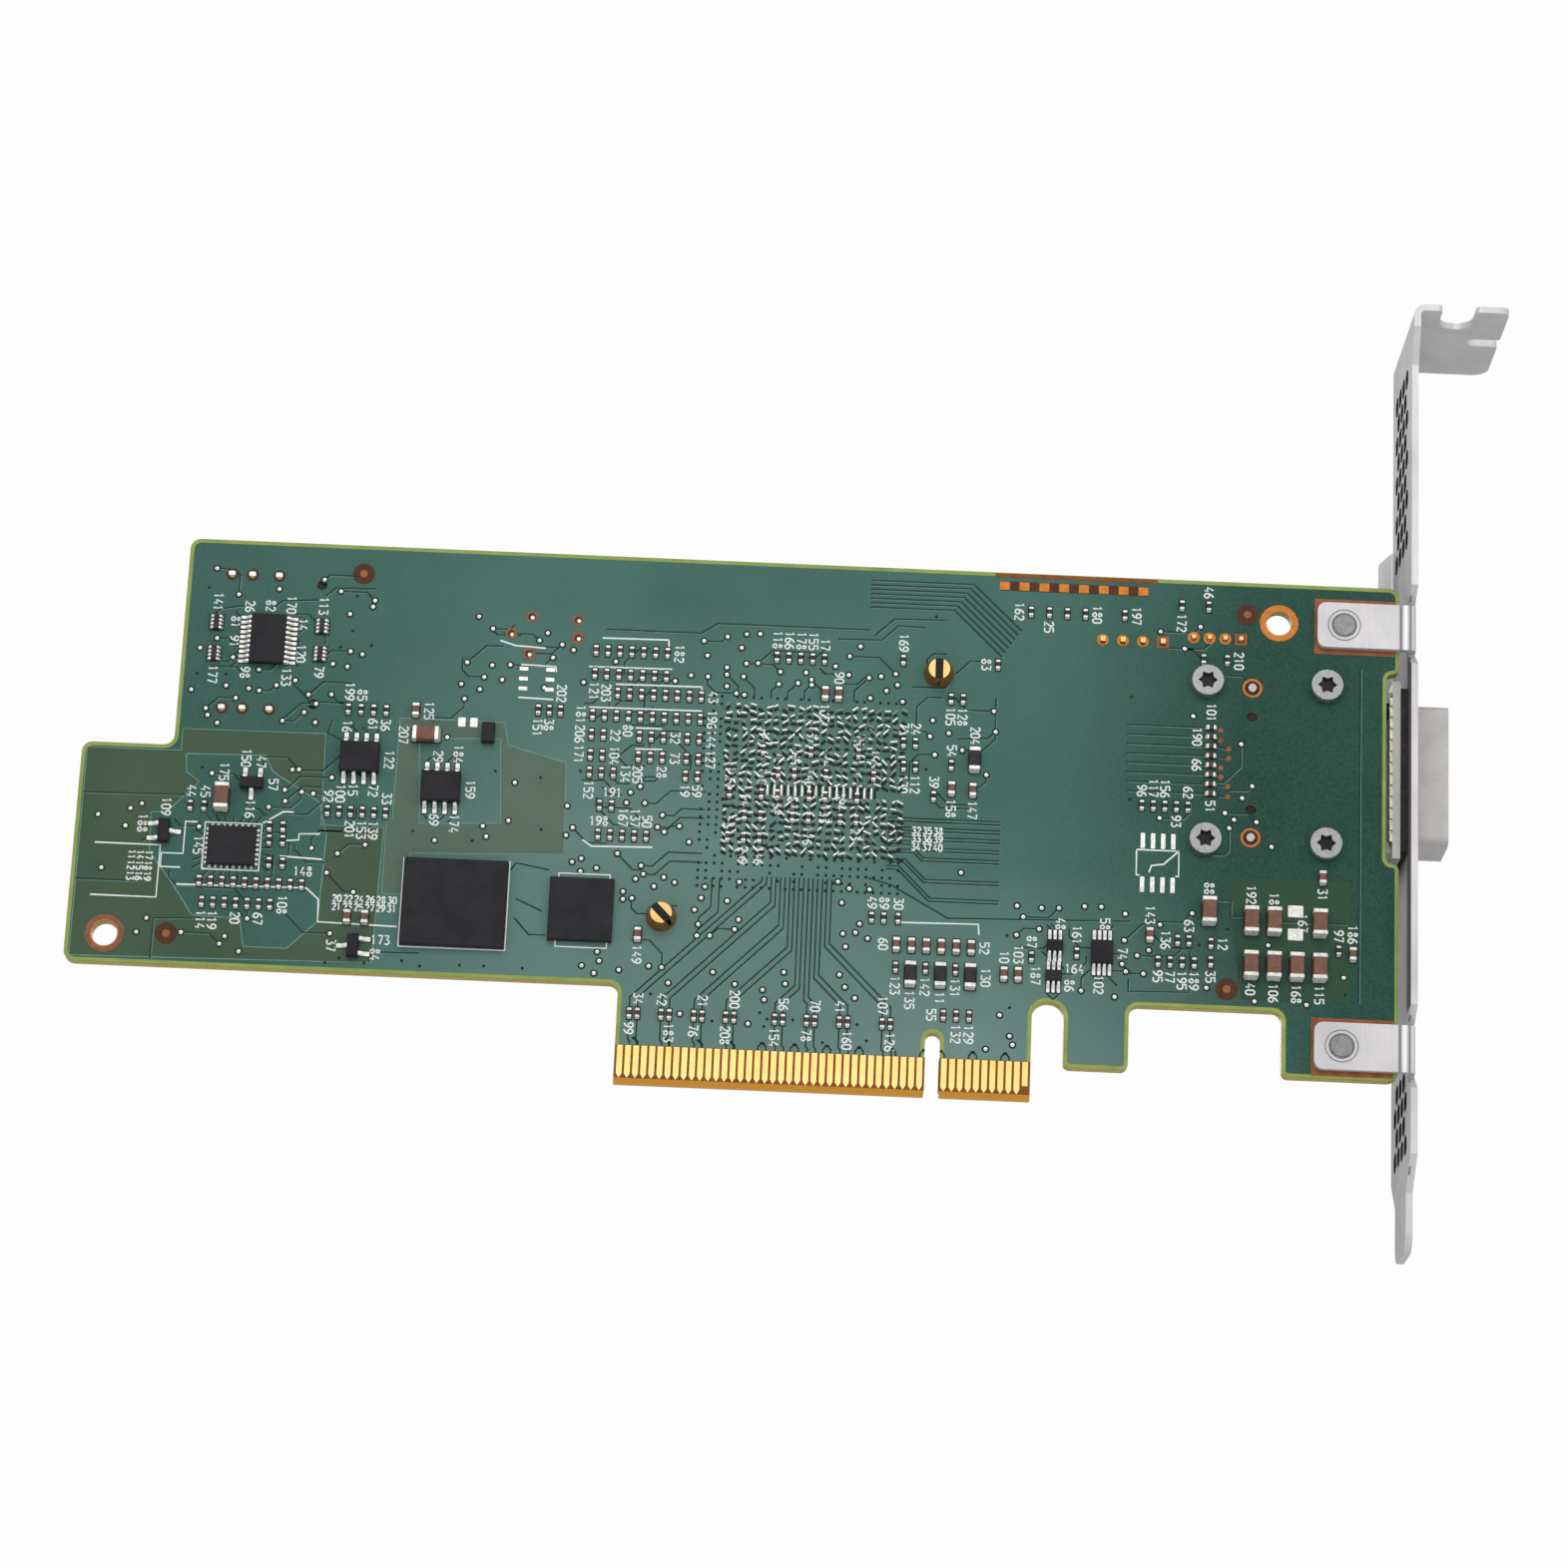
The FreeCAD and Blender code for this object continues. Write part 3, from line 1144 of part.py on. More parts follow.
def capacitor(centre, size, side, upright):
    """Chip capacitor: ceramic body with a plated cap, a little proud, over each end."""
    x, z = centre
    length, width, height = size
    wide, tall = (width, length) if upright else (length, width)
    y_low, y_high = on_side(side, CAP_END_STEP, height)
    body = block(x - wide / 2, x + wide / 2, y_low, y_high, z - tall / 2, z + tall / 2)
    cap_low, cap_high = on_side(side, 0, height + CAP_END_STEP)
    half = width / 2 + CAP_END_STEP
    caps = []
    for direction in (1, -1):
        outer = direction * (length / 2 + CAP_END_STEP)
        inner = direction * (length / 2 - CAP_END)
        low, high = sorted((outer, inner))
        if upright:
            caps.append(block(x - half, x + half, cap_low, cap_high, z + low, z + high))
        else:
            caps.append(block(x + low, x + high, cap_low, cap_high, z - half, z + half))
    return fused(body, *caps)


def chip_part(centre, size, side, upright):
    x, z = centre
    length, width, height = size
    wide, tall = (width, length) if upright else (length, width)
    y_low, y_high = on_side(side, 0, height)
    return block(x - wide / 2, x + wide / 2, y_low, y_high, z - tall / 2, z + tall / 2)


def row(start, pitch, columns):
    """Places in one row, at whole numbers of the pitch from its first place."""
    return [(start[0] + i * pitch, start[1]) for i in columns]


def spot(along, up):
    """Place in hundredths of the board's length from its free end and of its height from the shoulder."""
    return FREE_END + BOARD_LENGTH * along / 100, SHOULDER_HEIGHT + FIELD_HEIGHT * up / 100


def by_controller(run, rise):
    return CONTROLLER_X + run, CONTROLLER_Z + rise


def by_port(inset, rise):
    return BOARD_RIGHT - inset, PORT_Z + rise


# Layout of the solder side

BUFFER_PLACE = spot(13.47, 76.4)
NETWORK_OFFSETS = ((-6.7, 2.1), (-6.7, -2.1), (6.7, 2.1), (6.7, -1.6))
MEMORY_PLACES = (spot(21.14, 49.4), spot(27.42, 43.25))
POWER_CHIP_PLACE = spot(11.96, 27.7)
LARGE_MEMORY_PLACE = spot(28.99, 16.6)
SMALL_MEMORY_PLACE = spot(38.53, 16.34)
TRANSISTOR_PLACES = (
    (spot(6.76, 30.55), True, -1),
    (spot(21.62, 5.95), True, 1),
    (spot(13.1, 42.45), False, 1),
)
DIODE_PLACE = spot(30.74, 56.5)
CLOCK_PLACE = spot(77.74, 11.7)
SUPERVISOR_PLACES = (spot(74.2, 12.8), spot(74.15, 5.86))
BULK_PITCH = 2.85
BULK_PLACES = (
    [spot(85.72, 22.2)]
    + row(spot(88.9, 20.4), BULK_PITCH, (0, 1, 3))
    + row(spot(88.9, 10.2), BULK_PITCH, (0, 1, 2, 3))
)
FREE_BULK_PLACES = ((spot(10.93, 38.9), True), (spot(26.03, 55.4), False))
SUPPLY_X = -4.9
SUPPLY_PITCH = 1.86
SUPPLY_COUNT = 6
SUPPLY_FRACTION_UP = 0.116
BEAD_X = -3.05
BEAD_COUNT = 3
BEAD_FRACTION_UP = 0.049
BETWEEN_BEADS_FRACTION_UP = 0.064
PAIR_X = 8.55
PAIR_PITCH = 1.75
PAIR_COUNT = 2
PAIR_FRACTION_UP = 0.059
KEY_ROW_X = 1.2
KEY_ROW_PITCH = 1.6
KEY_ROW_COUNT = 3
KEY_ROW_DROP = 2.3
FIELD_PITCH = 1.51
FIELD_ROWS = (
    (-26.7, 17.9, range(7)),
    (-26.7, 14.8, range(7)),
    (-26.7, 12.3, range(2, 10)),
    (-26.7, 9.3, range(10)),
    (-26.7, 6.7, (0, 1, 4, 5, 6, 8, 9)),
    (-26.7, 4.0, (0, 1, 4, 5, 6, 8, 9)),
    (-26.7, 1.7, (0, 1, 2, 8, 9)),
    (-26.7, -2.6, (1, 2)),
    (-26.7, -6.4, (1, 2, 3, 4, 5)),
)
CORE_PITCH = 2.0
CORE_ROWS = (
    (-9.0, -6.0, (0, 1, 2)),
    (-9.0, -3.1, (1, 2, 4, 5, 7, 8)),
    (-9.0, -0.2, (0, 2, 3, 5, 6, 8)),
    (-9.0, 2.7, (3, 4, 6, 9)),
    (-9.0, 5.6, (2, 5, 8)),
)
SIDE_ROWS = (
    (18.4, 13.4, (0, 1)),
    (18.7, 4.6, (0,)),
    (16.6, 0.4, (0,)),
    (12.6, 7.3, (0, 1)),
    (12.7, 4.2, (0, 1)),
    (12.2, 18.3, (0,)),
    (24.2, 18.2, (0,)),
    (9.4, -15.7, (0, 1)),
    (12.7, -15.7, (0,)),
    (-3.8, 18.0, (0, 1, 2, 3, 4)),
)
SIDE_CAPACITORS = ((18.8, 1.5), (21.5, 1.4), (2.5, 13.4), (4.2, 13.4))
SIDE_BEAD = (21.6, 5.4)
POWER_ROWS = ((spot(9.72, 19.5), range(10)), (spot(10.03, 14.7), range(7)))
POWER_PITCH = 1.42
RESISTOR_ROWS = (
    (spot(8.58, 36.8), 1.75, range(2)),
    (spot(19.99, 60.9), 1.6, range(4)),
    (spot(18.96, 36.9), 1.46, range(6)),
    (spot(14.68, 32.7), 1.7, range(2)),
    (spot(14.74, 29.5), 1.7, range(2)),
    (spot(14.86, 24.3), 1.7, range(2)),
    (spot(34.43, 62.6), 1.4, range(3)),
    (spot(80.5, 46.2), 1.45, range(5)),
    (spot(83.4, 15.3), 1.4, range(2)),
    (spot(85.9, 14.9), 1.4, range(1)),
    (spot(81.95, 10.3), 1.5, range(4)),
    (spot(85.9, 10.7), 1.4, range(1)),
    (spot(75.85, 11.4), 1.4, range(1)),
    (spot(72.46, 10.1), 1.4, range(1)),
    (spot(95.5, 14.4), 1.4, range(1)),
    (spot(71.74, 90.8), 2.3, range(4)),
    (spot(78.93, 90.9), 2.3, range(1)),
    (spot(83.3, 93.8), 3.4, range(2)),
    (by_port(24.8, 13.45), 3.0, range(2)),
)
LARGE_ROWS = (
    (spot(21.02, 12.6), 2.2, range(2)),
    (spot(25.13, 61.3), 1.6, range(1)),
    (spot(42.88, 11.4), 1.6, range(1)),
    (spot(81.3, 16.3), 1.6, range(1)),
    (spot(96.56, 13.7), 1.6, range(1)),
    (by_port(9.5, -14.75), 1.6, range(1)),
)
COUPLING_FIRST = -37.1
COUPLING_STEPS = (0.0, 3.95, 8.0, 11.95, 18.0, 21.95, 26.0, 31.3)
COUPLING_SPLIT = 1.0
COUPLING_DROP = 3.7
LANE_INSET = 23.7
LANE_PITCH = 1.25
LANE_COUNT = 8

# Layout of the component side

INDUCTOR_SIZE = (6.8, 6.8, 3.6)
INDUCTOR_CORNER_CUT = 1.22
INDUCTOR_PLACES = (spot(85.3, 16.0), spot(90.8, 16.0))
POWER_SWITCH_SIZE = (5.0, 5.8, 1.0)
POWER_SWITCH_PLACES = (spot(95.3, 22.7), spot(95.3, 8.9))
POLYMER_SIZE = (7.3, 4.3, 2.8)
POLYMER_PLACES = (spot(79.6, 23.1), spot(79.6, 12.8))
CRYSTAL_SIZE = (5.0, 3.2, 1.1)
CRYSTAL_PLACE = by_controller(-26.8, 14.0)
REAR_MEMORY_SIZE = (11.2, 13.0, 1.1)
REAR_MEMORY_PLACES = (spot(31.65, 18.5), spot(31.65, 45.8), spot(31.65, 73.2))
REAR_FLASH_SIZE = (7.6, 7.6, 0.9)
REAR_FLASH_PLACE = spot(21.74, 18.5)
REAR_CAPACITOR_PITCH = 5.0
REAR_CAPACITOR_ROWS = (
    (by_controller(-26.8, -16.2), 4),
    (by_controller(24.6, -16.2), 6),
    (spot(26.1, 13.1), 8),
)
LARGE_MEMORY = (13.0, 11.2, 1.0)
SMALL_MEMORY = (8.0, 8.1, 0.9)
POWER_CHIP = (6.0, 5.0, 0.8)
DIODE = (1.6, 2.6, 1.0)
NETWORK = (2.0, 1.3, 0.5)


def supply_row(x, pitch, fraction_up, columns):
    """Row above the card edge, at a fraction of the height over the shoulder."""
    return row((x, SHOULDER_HEIGHT + FIELD_HEIGHT * fraction_up), pitch, columns)


def small_capacitor_places():
    places = []
    for run, rise, columns in FIELD_ROWS:
        places += row(by_controller(run, rise), FIELD_PITCH, columns)
    for run, rise, columns in CORE_ROWS:
        places += row(by_controller(run, rise), CORE_PITCH, columns)
    for start, columns in POWER_ROWS:
        places += row(start, POWER_PITCH, columns)
    places += supply_row(SUPPLY_X, 2 * SUPPLY_PITCH, BETWEEN_BEADS_FRACTION_UP, range(BEAD_COUNT))
    return places + row((KEY_ROW_X, SHOULDER_HEIGHT - KEY_ROW_DROP), KEY_ROW_PITCH, range(KEY_ROW_COUNT))


def small_resistor_places():
    places = []
    for run, rise, columns in SIDE_ROWS:
        places += row(by_controller(run, rise), FIELD_PITCH, columns)
    for start, pitch, columns in RESISTOR_ROWS:
        places += row(start, pitch, columns)
    return places


def supply_places():
    """Places of the middle-sized capacitors."""
    places = supply_row(SUPPLY_X, SUPPLY_PITCH, SUPPLY_FRACTION_UP, range(SUPPLY_COUNT))
    places += supply_row(PAIR_X, PAIR_PITCH, PAIR_FRACTION_UP, range(PAIR_COUNT))
    places += [by_controller(run, rise) for run, rise in SIDE_CAPACITORS]
    for start, pitch, columns in LARGE_ROWS:
        places += row(start, pitch, columns)
    return places


def bead_places():
    beads = supply_row(BEAD_X, 2 * SUPPLY_PITCH, BEAD_FRACTION_UP, range(BEAD_COUNT))
    return beads + [by_controller(*SIDE_BEAD)]


def coupling_places():
    z = SHOULDER_HEIGHT - COUPLING_DROP
    return [(COUPLING_FIRST + step + s * COUPLING_SPLIT / 2, z) for step in COUPLING_STEPS for s in (-1, 1)]


def lane_places():
    first = (LANE_COUNT - 1) / 2 * LANE_PITCH
    return [by_port(LANE_INSET, first - i * LANE_PITCH) for i in range(LANE_COUNT)]


def network_places():
    x, z = BUFFER_PLACE
    return [(x + run, z + rise) for run, rise in NETWORK_OFFSETS]


def all_leads():
    leads = leads_for(BUFFER_PLACE, BUFFER_CHIP, BUFFER_LEADS, SOLDER, True)
    for place in MEMORY_PLACES:
        leads += leads_for(place, SMALL_OUTLINE_CHIP, SMALL_OUTLINE_LEADS, SOLDER, False)
    leads += leads_for(CLOCK_PLACE, CLOCK_CHIP, CLOCK_LEADS, SOLDER, False)
    for place in SUPERVISOR_PLACES:
        leads += leads_for(place, SUPERVISOR_CHIP, SUPERVISOR_LEADS, SOLDER, False)
    for place, upright, pair in TRANSISTOR_PLACES:
        leads += transistor_leads(place, SMALL_TRANSISTOR, SOLDER, upright, pair)
    return leads


def transistors():
    solids = []
    for place, upright, pair in TRANSISTOR_PLACES:
        width, height, thickness = SMALL_TRANSISTOR
        size = SMALL_TRANSISTOR if upright else (height, width, thickness)
        solids.append(chip_body(place, size, SOLDER, LEAD_THICKNESS))
    return solids


def inductor(centre):
    """Shielded coil in a moulded square body with its corners cut off."""
    width, height, thickness = INDUCTOR_SIZE
    x, z = centre
    cut = INDUCTOR_CORNER_CUT
    outline = []
    for sx, sz in ((-1, -1), (1, -1), (1, 1), (-1, 1)):
        side_corner = (x + sx * width / 2, z + sz * (height / 2 - cut), 0)
        end_corner = (x + sx * (width / 2 - cut), z + sz * height / 2, 0)
        outline += [end_corner, side_corner] if sx * sz < 0 else [side_corner, end_corner]
    y_low, y_high = on_side(COMPONENT, 0, thickness)
    return plate_y(outline, y_low, y_high)


def bulk_capacitors():
    solids = [capacitor(place, BULK_CAPACITOR, SOLDER, True) for place in BULK_PLACES]
    for place, upright in FREE_BULK_PLACES:
        solids.append(capacitor(place, BULK_CAPACITOR, SOLDER, upright))
    return solids


def rear_capacitors():
    solids = []
    for (x, z), count in REAR_CAPACITOR_ROWS:
        for i in range(count):
            solids.append(chip_part((x, z + i * REAR_CAPACITOR_PITCH), BULK_CAPACITOR, COMPONENT, True))
    return solids


def main():
    os.makedirs("parts", exist_ok=True)
    save("circuit_board", [circuit_board()])
    save("edge_contacts_solder_side", edge_contacts(SOLDER, SHORT_CONTACTS_SOLDER_SIDE))
    contacts = edge_contacts(COMPONENT, SHORT_CONTACTS_COMPONENT_SIDE)
    save("edge_contacts_component_side", contacts)
    save("mounting_bracket", [mounting_bracket()])
    save("bracket_screws", [bracket_screw(x, z) for x, z in ear_holes()])
    save("port_shell", [port_shell()])
    save("port_screws", [port_screw(x, z) for x, z in port_screw_places()])
    save("port_gasket", [port_gasket()])
    save("port_shield_fingers", [shield_fingers()])
    save("port_contact_block", [port_block()])
    save("port_contacts", port_contacts())
    save("internal_port_cover", [inner_port_shell()])
    save("internal_port_block", [inner_port_block()])
    save("internal_port_contacts", inner_port_contacts())
    for name, places, pitch in (
        ("wide_header", wide_header_places(), WIDE_HEADER_PITCH),
        ("narrow_header", narrow_header_places(), NARROW_HEADER_PITCH),
    ):
        save(name + "_base", [header_base(places, pitch)])
        save(name + "_pins", header_pins(places, pitch))
    save("controller_chip", [controller_chip()])
    save("thermal_pad", [thermal_pad()])
    save("heat_sink", [heat_sink()])
    pin_places = list(zip(sink_pin_places(), SINK_PIN_SLOT_ANGLES))
    save("heat_sink_pins", [sink_pin(x, z, angle) for (x, z), angle in pin_places])
    save("heat_sink_springs", [sink_spring(x, z) for x, z in sink_pin_places()])
    save("buffer_chip", [chip_body(BUFFER_PLACE, BUFFER_CHIP, SOLDER, LEAD_THICKNESS)])
    chips = [chip_body(place, SMALL_OUTLINE_CHIP, SOLDER, LEAD_THICKNESS) for place in MEMORY_PLACES]
    save("serial_memory_chips", chips)
    save("clock_chip", [chip_body(CLOCK_PLACE, CLOCK_CHIP, SOLDER, LEAD_THICKNESS)])
    chips = [chip_body(place, SUPERVISOR_CHIP, SOLDER, LEAD_THICKNESS) for place in SUPERVISOR_PLACES]
    save("supervisor_chips", chips)
    save("transistors", transistors())
    save("chip_leads", all_leads())
    save("power_manager_chip", [chip_body(POWER_CHIP_PLACE, POWER_CHIP, SOLDER)])
    save("large_memory_chip", [chip_body(LARGE_MEMORY_PLACE, LARGE_MEMORY, SOLDER)])
    save("small_memory_chip", [chip_body(SMALL_MEMORY_PLACE, SMALL_MEMORY, SOLDER)])
    save("diode", [chip_body(DIODE_PLACE, DIODE, SOLDER)])
    save("bulk_capacitors", bulk_capacitors())
    save("filter_beads", [capacitor(place, BEAD, SOLDER, True) for place in bead_places()])
    save("supply_capacitors", [chip_part(place, LARGE_CHIP_PART, SOLDER, True) for place in supply_places()])
    small = [chip_part(place, SMALL_CHIP_PART, SOLDER, True) for place in small_capacitor_places()]
    save("small_capacitors", small)
    small = [chip_part(place, SMALL_CHIP_PART, SOLDER, True) for place in small_resistor_places()]
    save("small_resistors", small)
    lanes = [chip_part(place, SMALL_CHIP_PART, SOLDER, False) for place in lane_places()]
    coupling = [chip_part(place, SMALL_CHIP_PART, SOLDER, True) for place in coupling_places()]
    save("coupling_capacitors", coupling + lanes)
    save("resistor_networks", [chip_part(place, NETWORK, SOLDER, True) for place in network_places()])
    save("power_inductors", [inductor(place) for place in INDUCTOR_PLACES])
    chips = [chip_body(place, POWER_SWITCH_SIZE, COMPONENT) for place in POWER_SWITCH_PLACES]
    save("power_switches", chips)
    save("polymer_capacitors", [chip_body(place, POLYMER_SIZE, COMPONENT) for place in POLYMER_PLACES])
    save("crystal", [chip_body(CRYSTAL_PLACE, CRYSTAL_SIZE, COMPONENT)])
    chips = [chip_body(place, REAR_MEMORY_SIZE, COMPONENT) for place in REAR_MEMORY_PLACES]
    save("cache_memory_chips", chips)
    save("boot_memory_chip", [chip_body(REAR_FLASH_PLACE, REAR_FLASH_SIZE, COMPONENT)])
    save("component_side_capacitors", rear_capacitors())


main()
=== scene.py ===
"""Looks of a host bus adapter card: board artwork, solder, chip parts, metalwork, light and camera."""

import json
import math
import random

import bmesh
import bpy
from mathutils import Euler, Matrix, Vector


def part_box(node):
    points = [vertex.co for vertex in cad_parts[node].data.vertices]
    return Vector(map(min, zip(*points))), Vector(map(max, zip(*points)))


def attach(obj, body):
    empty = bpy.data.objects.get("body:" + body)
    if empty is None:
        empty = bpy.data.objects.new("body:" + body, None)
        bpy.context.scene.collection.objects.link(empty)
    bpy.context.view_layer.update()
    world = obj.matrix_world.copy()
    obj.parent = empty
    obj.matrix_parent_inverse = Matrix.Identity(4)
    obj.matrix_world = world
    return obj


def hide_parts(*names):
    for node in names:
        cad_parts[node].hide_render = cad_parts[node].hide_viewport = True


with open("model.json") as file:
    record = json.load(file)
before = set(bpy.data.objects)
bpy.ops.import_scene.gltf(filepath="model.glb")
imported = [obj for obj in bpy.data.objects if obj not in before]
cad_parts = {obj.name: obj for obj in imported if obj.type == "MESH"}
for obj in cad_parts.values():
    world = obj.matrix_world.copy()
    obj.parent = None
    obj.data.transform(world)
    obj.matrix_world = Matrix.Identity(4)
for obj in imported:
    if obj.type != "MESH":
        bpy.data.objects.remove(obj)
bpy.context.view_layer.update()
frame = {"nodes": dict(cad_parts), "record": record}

MM = 0.001
SEED = 7

# Places read from the frame, in millimetres
BOARD_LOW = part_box("circuit_board")[0] / MM
BOARD_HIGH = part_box("circuit_board")[1] / MM
SOLDER_FACE = BOARD_LOW.y
COMPONENT_FACE = BOARD_HIGH.y
BOTH_FACES = (SOLDER_FACE, COMPONENT_FACE)
BOARD_TOP = BOARD_HIGH.z
BOARD_RIGHT = BOARD_HIGH.x
CONTROLLER = (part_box("controller_chip")[0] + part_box("controller_chip")[1]) / 2 / MM
MOUNTS = {mount["name"]: Vector(mount["pos_m"]) / MM for mount in frame["record"]["mounts"]}
BOARD_HOLES = [MOUNTS["board_hole_free_end"], MOUNTS["board_hole_bracket_end"]]

# Heights of the artwork over the board face, in millimetres; no two that meet are level
POUR_HEIGHT = 0.012
RIM_HEIGHT = 0.018
GROUND_HEIGHT = 0.024
TRACE_HIGHLIGHT_HEIGHT = 0.026
BORDER_HEIGHT = 0.027
WINDOW_HEIGHT = 0.0275
TRACE_HEIGHT = 0.03
INK_HEIGHT = 0.036
OPENING_HEIGHT = 0.044
PAD_HEIGHT = 0.055
HOLE_HEIGHT = 0.063
VIA_HEIGHT = 0.075
SUNK = 0.02

# Widths of lines, in millimetres
TRACE_WIDTH = 0.2
BORDER_WIDTH = 0.14
INK_WIDTH = 0.2
RIM_WIDTH = 0.5
RIM_SETBACK = 0.02

# Sides of a round outline
FINE_ROUND = 32
ROUND = 24
SMALL_ROUND = 16
TINY_ROUND = 12


# Colours and node helpers

def srgb(red, green, blue):
    """Colour of a finish as seen, out of 255, as the linear value that a shader takes."""
    def linear(value):
        share = value / 255
        return share / 12.92 if share <= 0.04045 else ((share + 0.055) / 1.055) ** 2.4
    return (linear(red), linear(green), linear(blue), 1.0)


def wire(source, output, target, socket):
    """Link between two nodes of one tree."""
    source.id_data.links.new(source.outputs[output], target.inputs[socket])


def new_finish(name):
    material = bpy.data.materials.new(name)
    material.use_nodes = True
    return material, material.node_tree, material.node_tree.nodes["Principled BSDF"]


def object_coordinates(tree, stretch=(1, 1, 1)):
    """Object coordinates, stretched along the axes where a grain runs one way."""
    coordinates = tree.nodes.new("ShaderNodeTexCoord").outputs["Object"]
    mapping = tree.nodes.new("ShaderNodeMapping")
    mapping.inputs["Scale"].default_value = stretch
    tree.links.new(coordinates, mapping.inputs["Vector"])
    return mapping.outputs["Vector"]


def noise(tree, coordinates, size, detail=4.0, roughness=0.55):
    """Soft random pattern whose patches are about as wide as the given size in millimetres."""
    texture = tree.nodes.new("ShaderNodeTexNoise")
    texture.inputs["Scale"].default_value = 1 / (size * MM)
    texture.inputs["Detail"].default_value = detail
    texture.inputs["Roughness"].default_value = roughness
    tree.links.new(coordinates, texture.inputs["Vector"])
    return texture.outputs["Fac"]


def spread(tree, factor, low, high, from_low=0.3, from_high=0.7):
    node = tree.nodes.new("ShaderNodeMapRange")
    node.inputs["From Min"].default_value = from_low
    node.inputs["From Max"].default_value = from_high
    node.inputs["To Min"].default_value = low
    node.inputs["To Max"].default_value = high
    tree.links.new(factor, node.inputs["Value"])
    return node.outputs["Result"]


def blend(tree, factor, first, second):
    """Mix of two colours, each a colour value or a node's output."""
    node = tree.nodes.new("ShaderNodeMix")
    node.data_type = "RGBA"
    tree.links.new(factor, node.inputs[0])
    for socket, colour in ((node.inputs[6], first), (node.inputs[7], second)):
        if isinstance(colour, tuple):
            socket.default_value = colour
        else:
            tree.links.new(colour, socket)
    return node.outputs[2]


def compute(tree, operation, first, second):
    node = tree.nodes.new("ShaderNodeMath")
    node.operation = operation
    for socket, value in zip(node.inputs, (first, second)):
        if isinstance(value, (int, float)):
            socket.default_value = value
        else:
            tree.links.new(value, socket)
    return node.outputs["Value"]


def times(tree, first, second):
    return compute(tree, "MULTIPLY", first, second)


def unsigned(tree, value):
    return compute(tree, "ABSOLUTE", value, 0.0)


def within(tree, place, low, high):
    """One where a place on an axis lies between two ends in millimetres, else nought."""
    above = compute(tree, "GREATER_THAN", place, low * MM)
    return times(tree, above, compute(tree, "LESS_THAN", place, high * MM))


def fade(tree, place, low, high, start, end):
    """Value that goes from low to high between two places on an axis, in millimetres."""
    return spread(tree, place, low, high, start * MM, end * MM)


def near_to(tree, place, middle_place, reach):
    """One at a place on an axis, falling to nought at its reach in millimetres on either side."""
    away = unsigned(tree, compute(tree, "SUBTRACT", place, middle_place * MM))
    return fade(tree, away, 1, 0, 0, reach)


def axes_of(tree, vector):
    """The X, Y and Z of a vector."""
    node = tree.nodes.new("ShaderNodeSeparateXYZ")
    tree.links.new(vector, node.inputs["Vector"])
    return node.outputs


def facing(tree):
    """The X, Y and Z of the direction in which the surface faces."""
    return axes_of(tree, tree.nodes.new("ShaderNodeNewGeometry").outputs["Normal"])


def raise_bump(tree, shader, height, depth, strength):
    """Relief of the given depth in millimetres."""
    node = tree.nodes.new("ShaderNodeBump")
    node.inputs["Strength"].default_value = strength
    node.inputs["Distance"].default_value = depth * MM
    tree.links.new(height, node.inputs["Height"])
    wire(node, "Normal", shader, "Normal")


def dress(tree, shader, colour, pattern, rough, relief, strength=0.5):
    """Gives a shader its colour, and a gloss and relief that follow one pattern."""
    tree.links.new(colour, shader.inputs["Base Color"])
    tree.links.new(spread(tree, pattern, *rough), shader.inputs["Roughness"])
    if relief:
        raise_bump(tree, shader, pattern, relief, strength)


PATCH_SHARE = 0.65


def grained_finish(name, dark, light, patch, rough, relief=0.01, metallic=0.0, grain=0.2, stretch=(1, 1, 1),
                   specular=0.18):
    """Finish with soft patches of two shades, uneven gloss and a fine relief; sizes in millimetres."""
    material, tree, shader = new_finish(name)
    coordinates = object_coordinates(tree, stretch)
    patches = noise(tree, coordinates, patch)
    fine = noise(tree, coordinates, grain, detail=2.0)
    both = compute(tree, "ADD", times(tree, patches, PATCH_SHARE), times(tree, fine, 1 - PATCH_SHARE))
    colour = blend(tree, spread(tree, both, 0, 1), srgb(*dark), srgb(*light))
    dress(tree, shader, colour, fine, rough, relief)
    shader.inputs["Metallic"].default_value = metallic
    shader.inputs["Specular IOR Level"].default_value = specular
    return material


# Finish of the board

# Where the mask's painted shade and painted sheen change, in millimetres along the board and up it
FREE_END_FADE = (-88, -62)
BRACKET_END_FADE = (10, 38)
PAINTED_SHEEN_LEFT_FADE = (-74, -48)
PAINTED_SHEEN_RIGHT_FADE = (4, 50)
PAINTED_SHEEN_STEP = (-26, 6)
TALL_PAINTED_SHEEN_HEIGHTS = (32, 62)
LOW_PAINTED_SHEEN_HEIGHTS = (6, 30)
CONTACT_FOOT = (0.6, 0.9)

FACE_ON = (0.95, 0.98)
TALL_PAINTED_SHEEN = 0.28
LOW_PAINTED_SHEEN = 0.46
CLOUD_SIZE = 26
WEAVE_SIZE = 0.35
LAMINATE_BANDS = 900


